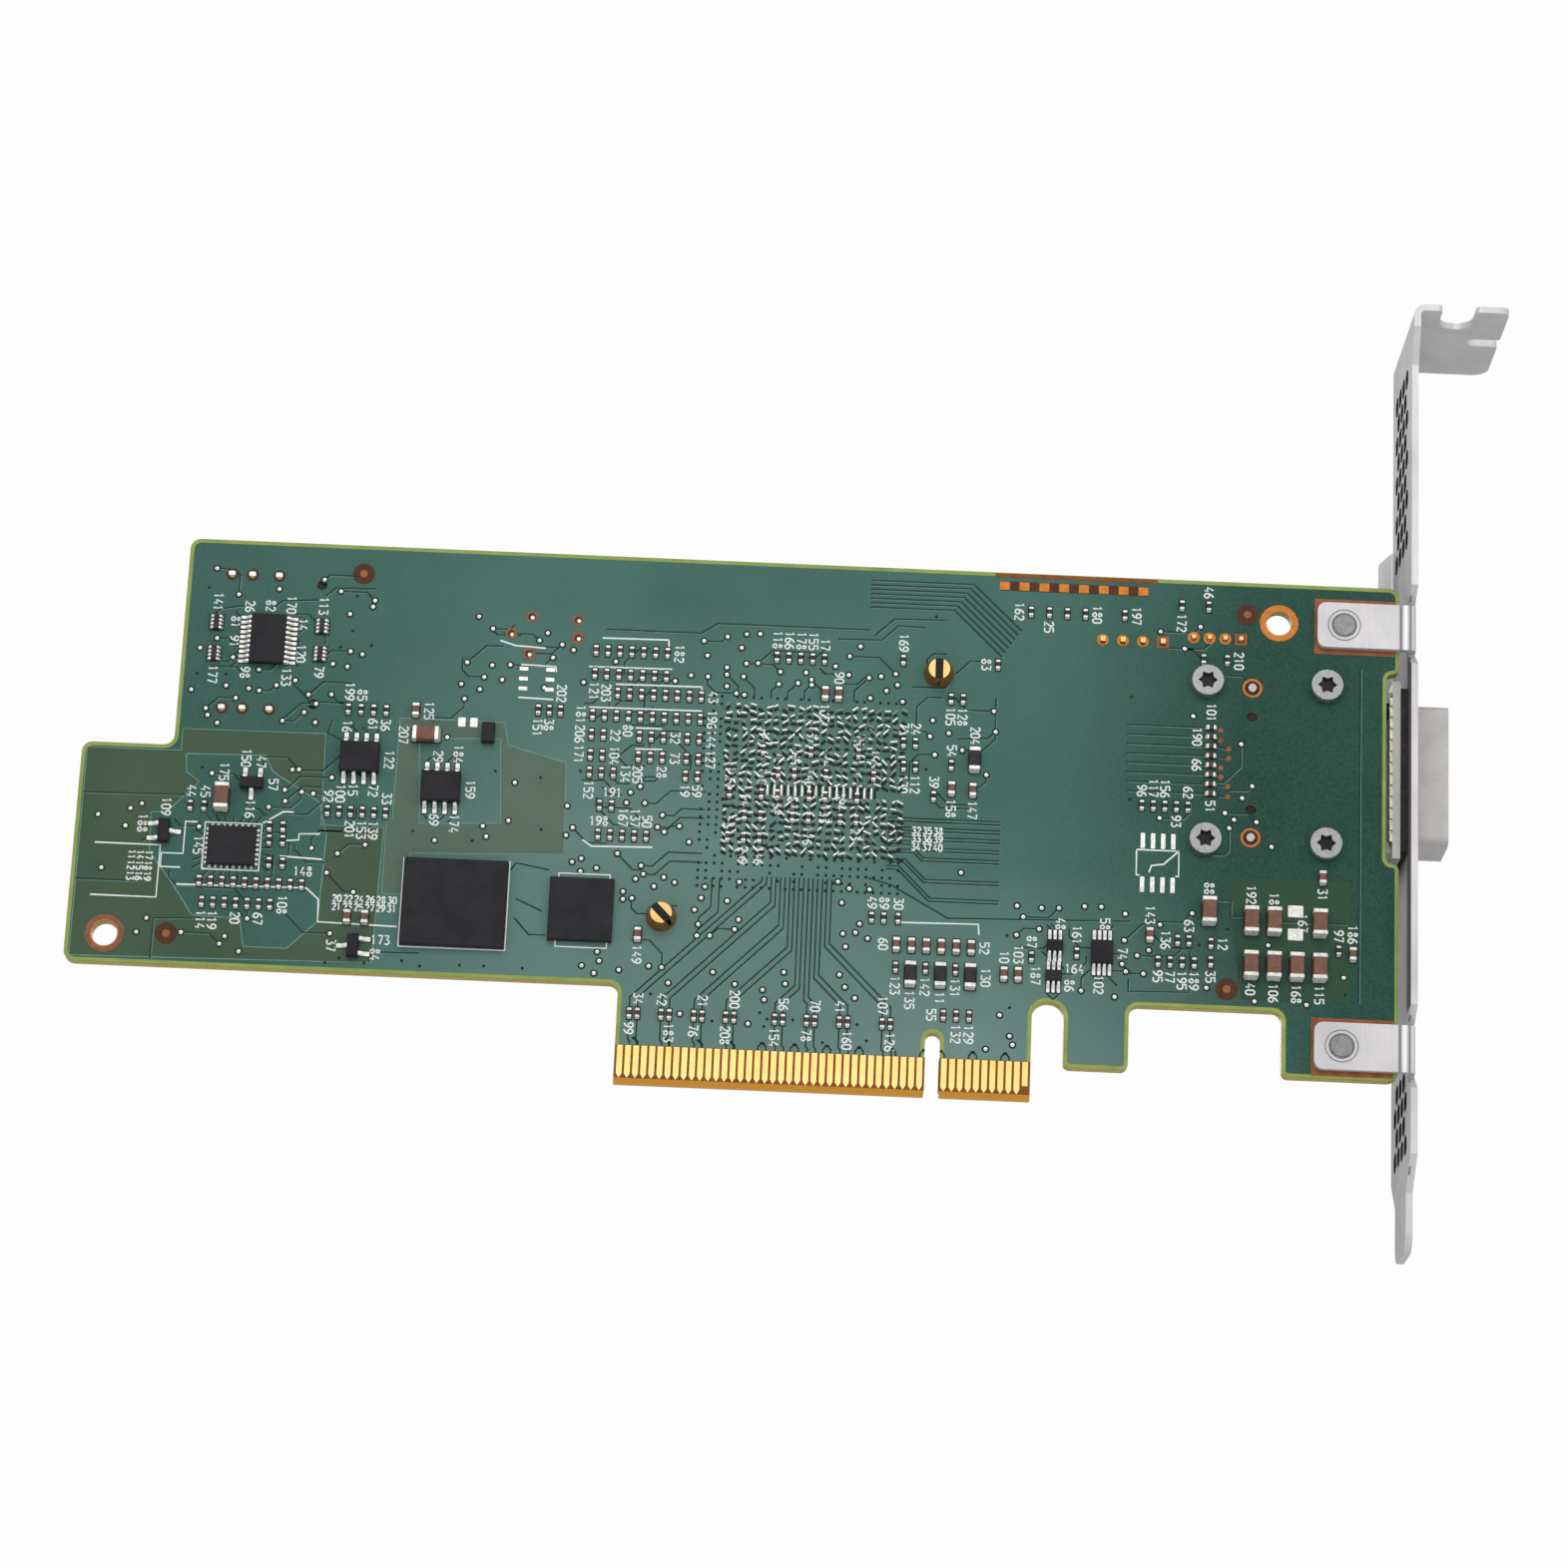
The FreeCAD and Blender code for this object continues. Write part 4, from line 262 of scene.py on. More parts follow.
def mask_colour(tree, axes, clouds, weave):
    """Green of the mask, with painted shade towards both ends and a pale painted sheen that stands taller on
    the left.
    """
    x = axes["X"]
    z = axes["Z"]
    cloudy = spread(tree, clouds, 0, 1)
    lit = blend(tree, cloudy, srgb(56, 96, 86), srgb(68, 109, 99))
    dim = blend(tree, cloudy, srgb(44, 82, 73), srgb(56, 95, 86))
    shaded = blend(tree, cloudy, srgb(20, 58, 47), srgb(30, 71, 59))
    # Painted shade: the green darkens towards the free end, and more towards the bracket end
    green = blend(tree, fade(tree, x, 1, 0, *FREE_END_FADE), lit, dim)
    green = blend(tree, fade(tree, x, 0, 1, *BRACKET_END_FADE), green, shaded)
    # Painted sheen: a pale painted highlight low on the board, taller on the left
    tall = times(tree, fade(tree, z, TALL_PAINTED_SHEEN, 0, *TALL_PAINTED_SHEEN_HEIGHTS), fade(tree, x, 1, 0, *PAINTED_SHEEN_STEP))
    low = times(tree, fade(tree, z, LOW_PAINTED_SHEEN, 0, *LOW_PAINTED_SHEEN_HEIGHTS), fade(tree, x, 0, 1, *PAINTED_SHEEN_STEP))
    ends = times(tree, fade(tree, x, 0, 1, *PAINTED_SHEEN_LEFT_FADE), fade(tree, x, 1, 0, *PAINTED_SHEEN_RIGHT_FADE))
    painted_sheen = times(tree, compute(tree, "ADD", tall, low), ends)
    green = blend(tree, painted_sheen, green, srgb(146, 166, 163))
    return blend(tree, spread(tree, weave, 0, 0.16), green, srgb(96, 132, 119))


def laminate_colour(tree, coordinates, axes, weave):
    """Ochre layers of the cut edges, browner under the contacts."""
    layers = tree.nodes.new("ShaderNodeTexWave")
    layers.bands_direction = "Y"
    layers.inputs["Scale"].default_value = LAMINATE_BANDS
    layers.inputs["Distortion"].default_value = 1.5
    tree.links.new(coordinates, layers.inputs["Vector"])
    ochre = blend(tree, layers.outputs["Fac"], srgb(150, 128, 44), srgb(186, 164, 84))
    ochre = blend(tree, spread(tree, weave, 0, 0.4), ochre, srgb(120, 98, 36))
    return blend(tree, fade(tree, axes["Z"], 1, 0, *CONTACT_FOOT), ochre, srgb(196, 138, 48))


def solder_mask_finish():
    """Green mask on the faces of the board and bare laminate on its cut edges."""
    material, tree, shader = new_finish("solder_mask")
    coordinates = object_coordinates(tree)
    axes = axes_of(tree, coordinates)
    clouds = noise(tree, coordinates, CLOUD_SIZE, detail=3.0)
    weave = noise(tree, coordinates, WEAVE_SIZE, detail=2.0)
    green = mask_colour(tree, axes, clouds, weave)
    ochre = laminate_colour(tree, coordinates, axes, weave)
    on_face = spread(tree, unsigned(tree, facing(tree)["Y"]), 0, 1, *FACE_ON)
    both = blend(tree, on_face, ochre, green)
    dress(tree, shader, both, weave, rough=(0.34, 0.5), relief=0.02, strength=0.25)
    shader.inputs["Specular IOR Level"].default_value = 0.11
    return material


# Finish of the bracket

# Where the walls of the vents lie, in millimetres: through the plate, across it and up it
PLATE_SPAN = (58.7, 59.7)
VENT_SPAN = (0.1, 13.2)
VENT_HEIGHTS = ((73.5, 103.0), (-6.0, 7.2))

# Painted shade and reflection of the board in the bright plate beside it
BOARD_SHADE = 0.85
BOARD_SHADE_HEIGHTS = (13.5, 65.5)
BOARD_SHADE_DEPTH = 1.2
LOW_SHADE = 0.28
LOW_SHADE_HEIGHTS = (74, 90)
PLATE_METALLIC = 0.3
SHADED_METALLIC = 0.05

# How far the inner side, the front side and the cut edges face along their axis
INNER_SIDE = -0.9
FRONT_SIDE = -0.3
EDGE_ON = 0.5

# Painted highlight and shade bands along the folds of the ears: between which depths, how far they reach, and
# each one's place and colour
EAR_DEPTHS = (-1.8, -0.8)
FOLD_REACH = 0.3
FOLD_HIGHLIGHTS_AND_SHADES = ((57.6, (96, 94, 95)), (58.2, (244, 243, 242)), (58.8, (110, 108, 109)))


def vent_walls(tree, axes, towards):
    """One on the walls of the vents, where dark shade is painted, else nought."""
    edge_on = compute(tree, "LESS_THAN", unsigned(tree, towards["X"]), EDGE_ON)
    walls = times(tree, edge_on, within(tree, axes["Y"], *VENT_SPAN))
    walls = times(tree, walls, within(tree, axes["X"], *PLATE_SPAN))
    fields = compute(tree, "ADD", *(within(tree, axes["Z"], *heights) for heights in VENT_HEIGHTS))
    return times(tree, walls, fields)


def bracket_finish():
    """Bright plated sheet with a fine vertical grain, with painted shade low on the inner side, beside the
    board and inside the vents, and painted bands of highlight and shade along the ear folds.
    """
    material, tree, shader = new_finish("zinc_plated_sheet")
    grain = noise(tree, object_coordinates(tree, stretch=(1, 1, 0.04)), size=0.12, detail=3.0)
    clouds = noise(tree, object_coordinates(tree), size=9, detail=3.0)
    axes = axes_of(tree, object_coordinates(tree))
    towards = facing(tree)
    sheet = blend(tree, spread(tree, clouds, 0, 1), srgb(194, 192, 193), srgb(216, 213, 213))
    sheet = blend(tree, spread(tree, grain, 0, 0.25), sheet, srgb(170, 168, 170))
    inner_side = compute(tree, "LESS_THAN", towards["X"], INNER_SIDE)
    # Painted shade: the inner side is darker low down
    low_shade = times(tree, inner_side, fade(tree, axes["Z"], LOW_SHADE, 0, *LOW_SHADE_HEIGHTS))
    sheet = blend(tree, low_shade, sheet, srgb(150, 150, 152))
    # Painted shade: the inner side beside the board is dark brown, with less metal gloss
    painted_board_shade = times(tree, within(tree, axes["Z"], *BOARD_SHADE_HEIGHTS),
                         fade(tree, axes["Y"], BOARD_SHADE, 0, 0, BOARD_SHADE_DEPTH))
    painted_board_shade = times(tree, inner_side, painted_board_shade)
    sheet = blend(tree, painted_board_shade, sheet, srgb(84, 77, 73))
    front_side = compute(tree, "LESS_THAN", towards["Y"], FRONT_SIDE)
    on_ear = times(tree, front_side, within(tree, axes["Y"], *EAR_DEPTHS))
    # Painted highlight and painted shade in bands along each fold
    for place, colour in FOLD_HIGHLIGHTS_AND_SHADES:
        mark = times(tree, on_ear, near_to(tree, axes["X"], place, FOLD_REACH))
        sheet = blend(tree, mark, sheet, srgb(*colour))
    # Painted shade: the walls of the vents are near black
    sheet = blend(tree, vent_walls(tree, axes, towards), sheet, srgb(40, 40, 42))
    dress(tree, shader, sheet, grain, rough=(0.3, 0.46), relief=0.01, strength=0.2)
    metallic = spread(tree, painted_board_shade, PLATE_METALLIC, SHADED_METALLIC, 0, BOARD_SHADE)
    tree.links.new(metallic, shader.inputs["Metallic"])
    shader.inputs["Specular IOR Level"].default_value = 0.0
    shader.inputs["Specular Tint"].default_value = srgb(90, 90, 92)
    return material


# Finishes of the screws, contacts and pins

RECESS_START = 0.05
RECESS_FADE = 0.1
RECESS_FLOOR = -0.5
CONTACT_PALE_TIP = (0.6, 4.8)
PIN_TIP = (0.2, 0.75)


def drive_screw_finish():
    """Grey screw heads whose deep drive recess has a painted black shade."""
    material, tree, shader = new_finish("screw_steel_recessed")
    coordinates = object_coordinates(tree)
    depth = axes_of(tree, coordinates)["Y"]
    fine = noise(tree, coordinates, size=0.3)
    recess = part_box("port_screws")[0].y / MM + RECESS_START
    deep = fade(tree, depth, 0, 1, recess, recess + RECESS_FADE)
    painted_recess_shade = times(tree, deep, compute(tree, "LESS_THAN", facing(tree)["Y"], RECESS_FLOOR))
    steel = blend(tree, spread(tree, fine, 0, 1), srgb(128, 130, 132), srgb(158, 159, 160))
    # Painted shade: the floor of the drive recess is near black
    steel = blend(tree, painted_recess_shade, steel, srgb(12, 12, 13))
    dress(tree, shader, steel, fine, rough=(0.3, 0.45), relief=0.02, strength=0.3)
    shader.inputs["Metallic"].default_value = 0.6
    return material


def contact_finish():
    """Bright gold contacts, a little paler and scuffed towards their tips."""
    material, tree, shader = new_finish("gold_plating")
    coordinates = object_coordinates(tree)
    height = axes_of(tree, coordinates)["Z"]
    scuffs = noise(tree, object_coordinates(tree, stretch=(1, 1, 0.08)), size=0.18, detail=3.0)
    clouds = noise(tree, coordinates, size=1.6)
    gold = blend(tree, fade(tree, height, 0, 1, *CONTACT_PALE_TIP), srgb(248, 214, 136), srgb(244, 200, 106))
    gold = blend(tree, spread(tree, clouds, 0, 0.5), gold, srgb(252, 230, 166))
    gold = blend(tree, spread(tree, scuffs, 0, 0.3), gold, srgb(222, 162, 76))
    dress(tree, shader, gold, scuffs, rough=(0.22, 0.4), relief=0.008, strength=0.25)
    shader.inputs["Metallic"].default_value = 0.75
    return material


def pin_finish():
    """Gilt pins, pale on the tips, with painted shade in dark brown round the sides."""
    material, tree, shader = new_finish("brass_pin")
    fine = noise(tree, object_coordinates(tree), size=0.9)
    at_tip = spread(tree, unsigned(tree, facing(tree)["Y"]), 0, 1, *PIN_TIP)
    # Painted shade: the sides, which face across the board, are dark brown
    side = blend(tree, spread(tree, fine, 0, 1), srgb(94, 56, 22), srgb(118, 74, 34))
    tip = blend(tree, spread(tree, fine, 0, 1), srgb(212, 162, 94), srgb(230, 186, 120))
    dress(tree, shader, blend(tree, at_tip, side, tip), fine, rough=(0.25, 0.4), relief=0.015, strength=0.4)
    shader.inputs["Metallic"].default_value = 0.5
    return material


# Dark shade, light shade, width of the patches in millimetres, roughness, and what else differs
GRAINED_FINISHES = {
    "chip_moulding": ((24, 24, 27), (42, 42, 45), 3, (0.42, 0.6),
                      dict(relief=0.02, grain=0.12, specular=0.14)),
    "tinned_lead": ((198, 197, 192), (244, 243, 238), 0.6, (0.22, 0.42), dict(relief=0.015, metallic=0.55)),
    "capacitor_ceramic": ((96, 66, 54), (134, 96, 80), 1.2, (0.4, 0.6), {}),
    "small_ceramic": ((54, 44, 40), (104, 80, 70), 0.9, (0.4, 0.6), {}),
    "bead_ferrite": ((30, 30, 32), (52, 52, 55), 0.9, (0.4, 0.6), dict(relief=0.015)),
    "resistor_black": ((24, 26, 28), (58, 56, 54), 0.7, (0.35, 0.55), {}),
    "screw_steel": ((150, 151, 154), (188, 188, 190), 1.2, (0.28, 0.42), dict(relief=0.015, metallic=0.8)),
    "swaged_steel": ((116, 116, 118), (150, 150, 152), 0.8, (0.35, 0.5), dict(relief=0.015, metallic=0.4)),
    "groove_shadow": ((96, 94, 94), (134, 132, 131), 0.8, (0.5, 0.65), {}),
    "die_cast_metal": ((166, 163, 161), (191, 188, 185), 4, (0.5, 0.65),
                       dict(relief=0.03, metallic=0.35, grain=0.25)),
    "gasket_foam": ((34, 34, 36), (62, 61, 60), 0.8, (0.75, 0.95), dict(relief=0.08, grain=0.3)),
    "spring_bronze": ((158, 150, 140), (200, 192, 180), 0.8, (0.25, 0.4), dict(metallic=0.8)),
    "spring_steel": ((140, 141, 144), (190, 190, 192), 1.0, (0.25, 0.4), dict(metallic=0.9)),
    "black_moulding": ((24, 25, 26), (44, 45, 46), 2.5, (0.45, 0.62), dict(relief=0.02, grain=0.15)),
    "polymer_case": ((26, 26, 28), (46, 46, 48), 2, (0.45, 0.6), dict(relief=0.02)),
    "tinned_sheet": ((176, 176, 174), (212, 211, 207), 5, (0.25, 0.4),
                     dict(metallic=0.85, stretch=(0.2, 1, 1))),
    "thermal_pad_silicone": ((150, 152, 160), (176, 178, 184), 1.5, (0.6, 0.8), dict(relief=0.02)),
    "sink_aluminium": ((150, 152, 156), (184, 186, 190), 6, (0.3, 0.45),
                       dict(relief=0.02, metallic=0.9, stretch=(1, 1, 0.05))),
    "legend_ink": ((226, 234, 230), (250, 252, 250), 0.6, (0.5, 0.65), {}),
    "covered_trace": ((14, 40, 34), (28, 60, 52), 1.5, (0.3, 0.45), {}),
    "painted_highlight": ((100, 134, 125), (128, 158, 150), 1.5, (0.3, 0.45), {}),
    "covered_pour": ((54, 78, 58), (66, 88, 66), 14, (0.36, 0.5), dict(relief=0.02, grain=0.35)),
    "pale_pour": ((74, 96, 82), (88, 108, 94), 14, (0.36, 0.5), dict(relief=0.02, grain=0.35)),
    "shaded_pour": ((32, 64, 46), (44, 76, 56), 14, (0.36, 0.5), dict(relief=0.02, grain=0.35)),
    "aged_copper": ((104, 66, 48), (148, 102, 76), 0.8, (0.4, 0.55), dict(metallic=0.15)),
    "bare_copper": ((152, 84, 28), (192, 120, 50), 0.9, (0.3, 0.45), dict(metallic=0.5)),
    "dull_copper": ((118, 66, 42), (158, 98, 64), 1.2, (0.4, 0.55), dict(metallic=0.2)),
    "dark_laminate": ((58, 34, 18), (84, 52, 30), 0.8, (0.45, 0.6), {}),
    "bare_laminate": ((122, 140, 66), (156, 170, 90), 3, (0.5, 0.65), dict(relief=0.02)),
    "finger_laminate": ((106, 52, 14), (150, 86, 30), 1.5, (0.45, 0.6), dict(relief=0.02)),
    "dull_via": ((104, 122, 112), (150, 160, 148), 0.5, (0.4, 0.55), {}),
    "via_hole": ((10, 16, 15), (26, 38, 35), 0.4, (0.5, 0.7), {}),
    "mask_opening": ((18, 34, 30), (34, 54, 48), 0.6, (0.5, 0.65), {}),
    "leg_solder": ((170, 148, 92), (222, 206, 156), 0.5, (0.3, 0.45), dict(metallic=0.1)),
    "end_solder": ((182, 183, 178), (246, 244, 238), 0.5, (0.25, 0.4), dict(relief=0.02, metallic=0.35)),
    "pale_floor": ((242, 242, 242), (246, 246, 246), 60, (0.6, 0.7), dict(relief=0)),
}

FINISH = {}
for finish_name, (dark, light, patch, rough, more) in GRAINED_FINISHES.items():
    FINISH[finish_name] = grained_finish(finish_name, dark, light, patch, rough, **more)
FINISH["solder_mask"] = solder_mask_finish()
FINISH["zinc_plated_sheet"] = bracket_finish()
FINISH["drive_screws"] = drive_screw_finish()
FINISH["gold_plating"] = contact_finish()
FINISH["brass_pin"] = pin_finish()

# Nodes of the frame that are shown as they are, by their finish
NODE_FINISHES = {
    "solder_mask": ("circuit_board",),
    "gold_plating": ("edge_contacts_solder_side", "edge_contacts_component_side", "port_contacts",
                     "internal_port_contacts"),
    "zinc_plated_sheet": ("mounting_bracket",),
    "drive_screws": ("port_screws",),
    "screw_steel": ("bracket_screws",),
    "die_cast_metal": ("port_shell",),
    "gasket_foam": ("port_gasket",),
    "spring_bronze": ("port_shield_fingers",),
    "black_moulding": ("port_contact_block", "internal_port_block", "wide_header_base", "narrow_header_base"),
    "tinned_sheet": ("internal_port_cover", "crystal"),
    "tinned_lead": ("chip_leads",),
    "chip_moulding": ("buffer_chip", "serial_memory_chips", "clock_chip", "supervisor_chips", "transistors",
                      "power_manager_chip", "large_memory_chip", "small_memory_chip", "diode",
                      "controller_chip", "power_switches", "cache_memory_chips", "boot_memory_chip"),
    "thermal_pad_silicone": ("thermal_pad",),
    "sink_aluminium": ("heat_sink",),
    "brass_pin": ("heat_sink_pins", "wide_header_pins", "narrow_header_pins"),
    "bead_ferrite": ("power_inductors",),
    "polymer_case": ("polymer_capacitors",),
}


def dress_frame():
    for finish, names in NODE_FINISHES.items():
        for name in names:
            mesh = frame["nodes"][name].data
            mesh.materials.clear()
            mesh.materials.append(FINISH[finish])


# Reading the frame

LEVEL_TOLERANCE = 0.001


def solids_of(node):
    """Lowest and highest corner, in millimetres, of each separate solid of a node."""
    mesh = frame["nodes"][node].data
    keys = [tuple(round(value / MM, 3) for value in vertex.co) for vertex in mesh.vertices]
    parent = {key: key for key in keys}

    def root(key):
        while parent[key] != key:
            parent[key] = parent[parent[key]]
            key = parent[key]
        return key

    for polygon in mesh.polygons:
        first = root(keys[polygon.vertices[0]])
        for index in polygon.vertices[1:]:
            parent[root(keys[index])] = first
    groups = {}
    for key in parent:
        groups.setdefault(root(key), []).append(key)
    boxes = []
    for points in groups.values():
        low = Vector(min(point[axis] for point in points) for axis in range(3))
        high = Vector(max(point[axis] for point in points) for axis in range(3))
        boxes.append((low, high))
    return sorted(boxes, key=lambda box: (round(box[0].x, 2), round(box[0].z, 2)))


def middle(box):
    return (box[0] + box[1]) / 2


def board_outline():
    """Corners of the board's solder face in order, as (x, z)."""
    mesh = frame["nodes"]["circuit_board"].data
    count = {}
    for polygon in mesh.polygons:
        points = [mesh.vertices[index].co / MM for index in polygon.vertices]
        if max(abs(point.y - SOLDER_FACE) for point in points) > LEVEL_TOLERANCE:
            continue
        corners = [(round(point.x, 3), round(point.z, 3)) for point in points]
        for first, second in zip(corners, corners[1:] + corners[:1]):
            count[(first, second)] = count.get((first, second), 0) + 1
    border = {first: second for first, second in count if (second, first) not in count}
    loops = []
    while border:
        start, point = border.popitem()
        loop = [start]
        while point != start:
            loop.append(point)
            point = border.pop(point)
        loops.append(loop)
    return max(loops, key=lambda loop: max(point[0] for point in loop) - min(point[0] for point in loop))


# Building pieces

def settle(name, mesh, slot, *replaced):
    """Piece of the card with its mesh in place."""
    piece = bpy.data.objects.new(name, mesh)
    bpy.context.scene.collection.objects.link(piece)
    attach(piece, "root")
    if replaced:
        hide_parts(*replaced)
    return piece


def signed_area(outline):
    pairs = zip(outline, outline[1:] + outline[:1])
    return sum(a[0] * b[1] - b[0] * a[1] for a, b in pairs) / 2


def prism(outline, height, face=SOLDER_FACE):
    """Closed flat prism on a board face, from an outline of (x, z), as corners and faces."""
    outwards = -1 if face < 0 else 1
    turned = list(outline) if signed_area(outline) * outwards < 0 else list(reversed(outline))
    top = face + outwards * height
    bottom = face - outwards * SUNK
    n = len(turned)
    corners = [(x, top, z) for x, z in turned] + [(x, bottom, z) for x, z in turned]
    faces = [tuple(range(n)), tuple(range(2 * n - 1, n - 1, -1))]
    faces += [(i, i + n, (i + 1) % n + n, (i + 1) % n) for i in range(n)]
    return corners, faces


def level_under(face):
    """Level that lies a little under a face of the board."""
    return face + SUNK if face < 0 else face - SUNK


def band(outer, inner, height, face=SOLDER_FACE):
    """Closed flat ring between two outlines with the same number of corners."""
    outwards = -1 if face < 0 else 1
    if signed_area(outer) * outwards > 0:
        outer = list(reversed(outer))
        inner = list(reversed(inner))
    top = face + outwards * height
    bottom = face - outwards * SUNK
    n = len(outer)
    corners = [(x, y, z) for y in (top, bottom) for outline in (outer, inner) for x, z in outline]
    faces = []
    for i in range(n):
        j = (i + 1) % n
        faces.append((i, n + i, n + j, j)[::-1])
        faces.append((2 * n + i, 2 * n + j, 3 * n + j, 3 * n + i)[::-1])
        faces.append((i, i + 2 * n, j + 2 * n, j))
        faces.append((n + i, n + j, 3 * n + j, 3 * n + i))
    return corners, faces


def joined_mesh(name, shells, finish):
    """One mesh from several closed shells, given in millimetres."""
    corners = []
    faces = []
    for shell_corners, shell_faces in shells:
        start = len(corners)
        corners += [Vector(corner) * MM for corner in shell_corners]
        faces += [tuple(index + start for index in face) for face in shell_faces]
    mesh = bpy.data.meshes.new(name)
    mesh.from_pydata(corners, [], faces)
    mesh.materials.append(FINISH[finish])
    mesh.validate()
    return mesh


def flat_piece(name, shells, finish, slot):
    """Piece of the card that is made of closed shells."""
    return settle(name, joined_mesh(name, shells, finish), slot)


def rectangle(x_low, x_high, z_low, z_high):
    return [(x_low, z_low), (x_high, z_low), (x_high, z_high), (x_low, z_high)]


def square(x, z, half):
    return rectangle(x - half, x + half, z - half, z + half)


def circle(x, z, radius, sides=ROUND):
    step = 2 * math.pi / sides
    return [(x + radius * math.cos(i * step), z + radius * math.sin(i * step)) for i in range(sides)]


def ring(x, z, inner, outer, height, face=SOLDER_FACE):
    return band(circle(x, z, outer), circle(x, z, inner), height, face)


def square_ring(x, z, inner, outer, height):
    return band(square(x, z, outer), square(x, z, inner), height)


def flat_pad(x, z, width, length, height=PAD_HEIGHT, lean=0):
    """Spot of a flat block on the solder face, which may lean by an angle."""
    return ((x, SOLDER_FACE, z), (width, 2 * height, length), lean)


# Node trees for what repeats

SPRING_STEPS = 24
WIRE_SIDES = 8


def new_tree(name, inputs):
    tree = bpy.data.node_groups.new(name, "GeometryNodeTree")
    tree.interface.new_socket("Geometry", in_out="INPUT", socket_type="NodeSocketGeometry")
    sockets = {}
    for label, kind in inputs:
        sockets[label] = tree.interface.new_socket(label, in_out="INPUT", socket_type=kind).identifier
    tree.interface.new_socket("Geometry", in_out="OUTPUT", socket_type="NodeSocketGeometry")
    return tree, sockets, tree.nodes.new("NodeGroupInput"), tree.nodes.new("NodeGroupOutput")


def end_tree(tree, given, made, result):
    """Realizes what the tree made, sets its material and hands it out."""
    real = tree.nodes.new("GeometryNodeRealizeInstances")
    coloured = tree.nodes.new("GeometryNodeSetMaterial")
    tree.links.new(made, real.inputs["Geometry"])
    wire(real, "Geometry", coloured, "Geometry")
    wire(given, "Finish", coloured, "Material")
    wire(coloured, "Geometry", result, "Geometry")


def scatter_tree():
    """Copies of one small shape on points, each with its own size and turn."""
    inputs = (("Shape", "NodeSocketObject"), ("Finish", "NodeSocketMaterial"))
    tree, sockets, given, result = new_tree("small_parts_on_places", inputs)
    shape = tree.nodes.new("GeometryNodeObjectInfo")
    copies = tree.nodes.new("GeometryNodeInstanceOnPoints")
    for label, socket in (("size", "Scale"), ("turn", "Rotation")):
        attribute = tree.nodes.new("GeometryNodeInputNamedAttribute")
        attribute.data_type = "FLOAT_VECTOR"
        attribute.inputs["Name"].default_value = label
        wire(attribute, "Attribute", copies, socket)
    wire(given, "Shape", shape, "Object")
    wire(given, "Geometry", copies, "Points")
    wire(shape, "Geometry", copies, "Instance")
    end_tree(tree, given, copies.outputs["Instances"], result)
    return tree, sockets


def line_tree():
    """Flat lines along drawn paths, laid on the board face."""
    inputs = (("Width", "NodeSocketFloat"), ("Height", "NodeSocketFloat"), ("Face", "NodeSocketFloat"),
              ("Finish", "NodeSocketMaterial"))
    tree, sockets, given, result = new_tree("lines_on_board", inputs)
    curve = tree.nodes.new("GeometryNodeMeshToCurve")
    upright = tree.nodes.new("GeometryNodeSetCurveNormal")
    upright.mode = "Z_UP"
    section = tree.nodes.new("GeometryNodeCurvePrimitiveQuadrilateral")
    swept = tree.nodes.new("GeometryNodeCurveToMesh")
    swept.inputs["Fill Caps"].default_value = True
    place = tree.nodes.new("ShaderNodeCombineXYZ")
    laid = tree.nodes.new("GeometryNodeTransform")
    laid.inputs["Rotation"].default_value = (math.pi / 2, 0, 0)
    wire(given, "Geometry", curve, "Mesh")
    wire(curve, "Curve", upright, "Curve")
    wire(upright, "Curve", swept, "Curve")
    wire(given, "Width", section, "Width")
    wire(given, "Height", section, "Height")
    wire(section, "Curve", swept, "Profile Curve")
    wire(swept, "Mesh", laid, "Geometry")
    wire(given, "Face", place, "Y")
    wire(place, "Vector", laid, "Translation")
    end_tree(tree, given, laid.outputs["Geometry"], result)
    return tree, sockets


def spring_tree():
    """Round wire wound to a spring on each point."""
    inputs = (("Radius", "NodeSocketFloat"), ("Height", "NodeSocketFloat"), ("Turns", "NodeSocketFloat"),
              ("Wire", "NodeSocketFloat"), ("Finish", "NodeSocketMaterial"))
    tree, sockets, given, result = new_tree("springs_on_pins", inputs)
    helix = tree.nodes.new("GeometryNodeCurveSpiral")
    helix.inputs["Resolution"].default_value = SPRING_STEPS
    section = tree.nodes.new("GeometryNodeCurvePrimitiveCircle")
    section.inputs["Resolution"].default_value = WIRE_SIDES
    swept = tree.nodes.new("GeometryNodeCurveToMesh")
    swept.inputs["Fill Caps"].default_value = True
    copies = tree.nodes.new("GeometryNodeInstanceOnPoints")
    copies.inputs["Rotation"].default_value = (-math.pi / 2, 0, 0)
    for label, socket in (("Radius", "Start Radius"), ("Radius", "End Radius"), ("Height", "Height"),
                          ("Turns", "Rotations")):
        wire(given, label, helix, socket)
    wire(given, "Wire", section, "Radius")
    wire(helix, "Curve", swept, "Curve")
    wire(section, "Curve", swept, "Profile Curve")
    wire(given, "Geometry", copies, "Points")
    wire(swept, "Mesh", copies, "Instance")
    end_tree(tree, given, copies.outputs["Instances"], result)
    return tree, sockets


SCATTER = scatter_tree()
LINES = line_tree()
SPRINGS = spring_tree()


def grown_mesh(name, seed_mesh, tree_and_sockets, values):
    """Plain mesh that a node tree makes from a seed mesh."""
    tree, sockets = tree_and_sockets
    seed = bpy.data.objects.new(name + "_seed", seed_mesh)
    bpy.context.scene.collection.objects.link(seed)
    modifier = seed.modifiers.new("grow", "NODES")
    modifier.node_group = tree
    for label, value in values.items():
        modifier[sockets[label]] = value
    bpy.context.view_layer.update()
    depsgraph = bpy.context.evaluated_depsgraph_get()
    mesh = bpy.data.meshes.new_from_object(seed.evaluated_get(depsgraph), depsgraph=depsgraph)
    mesh.name = name
    bpy.data.objects.remove(seed)
    return mesh


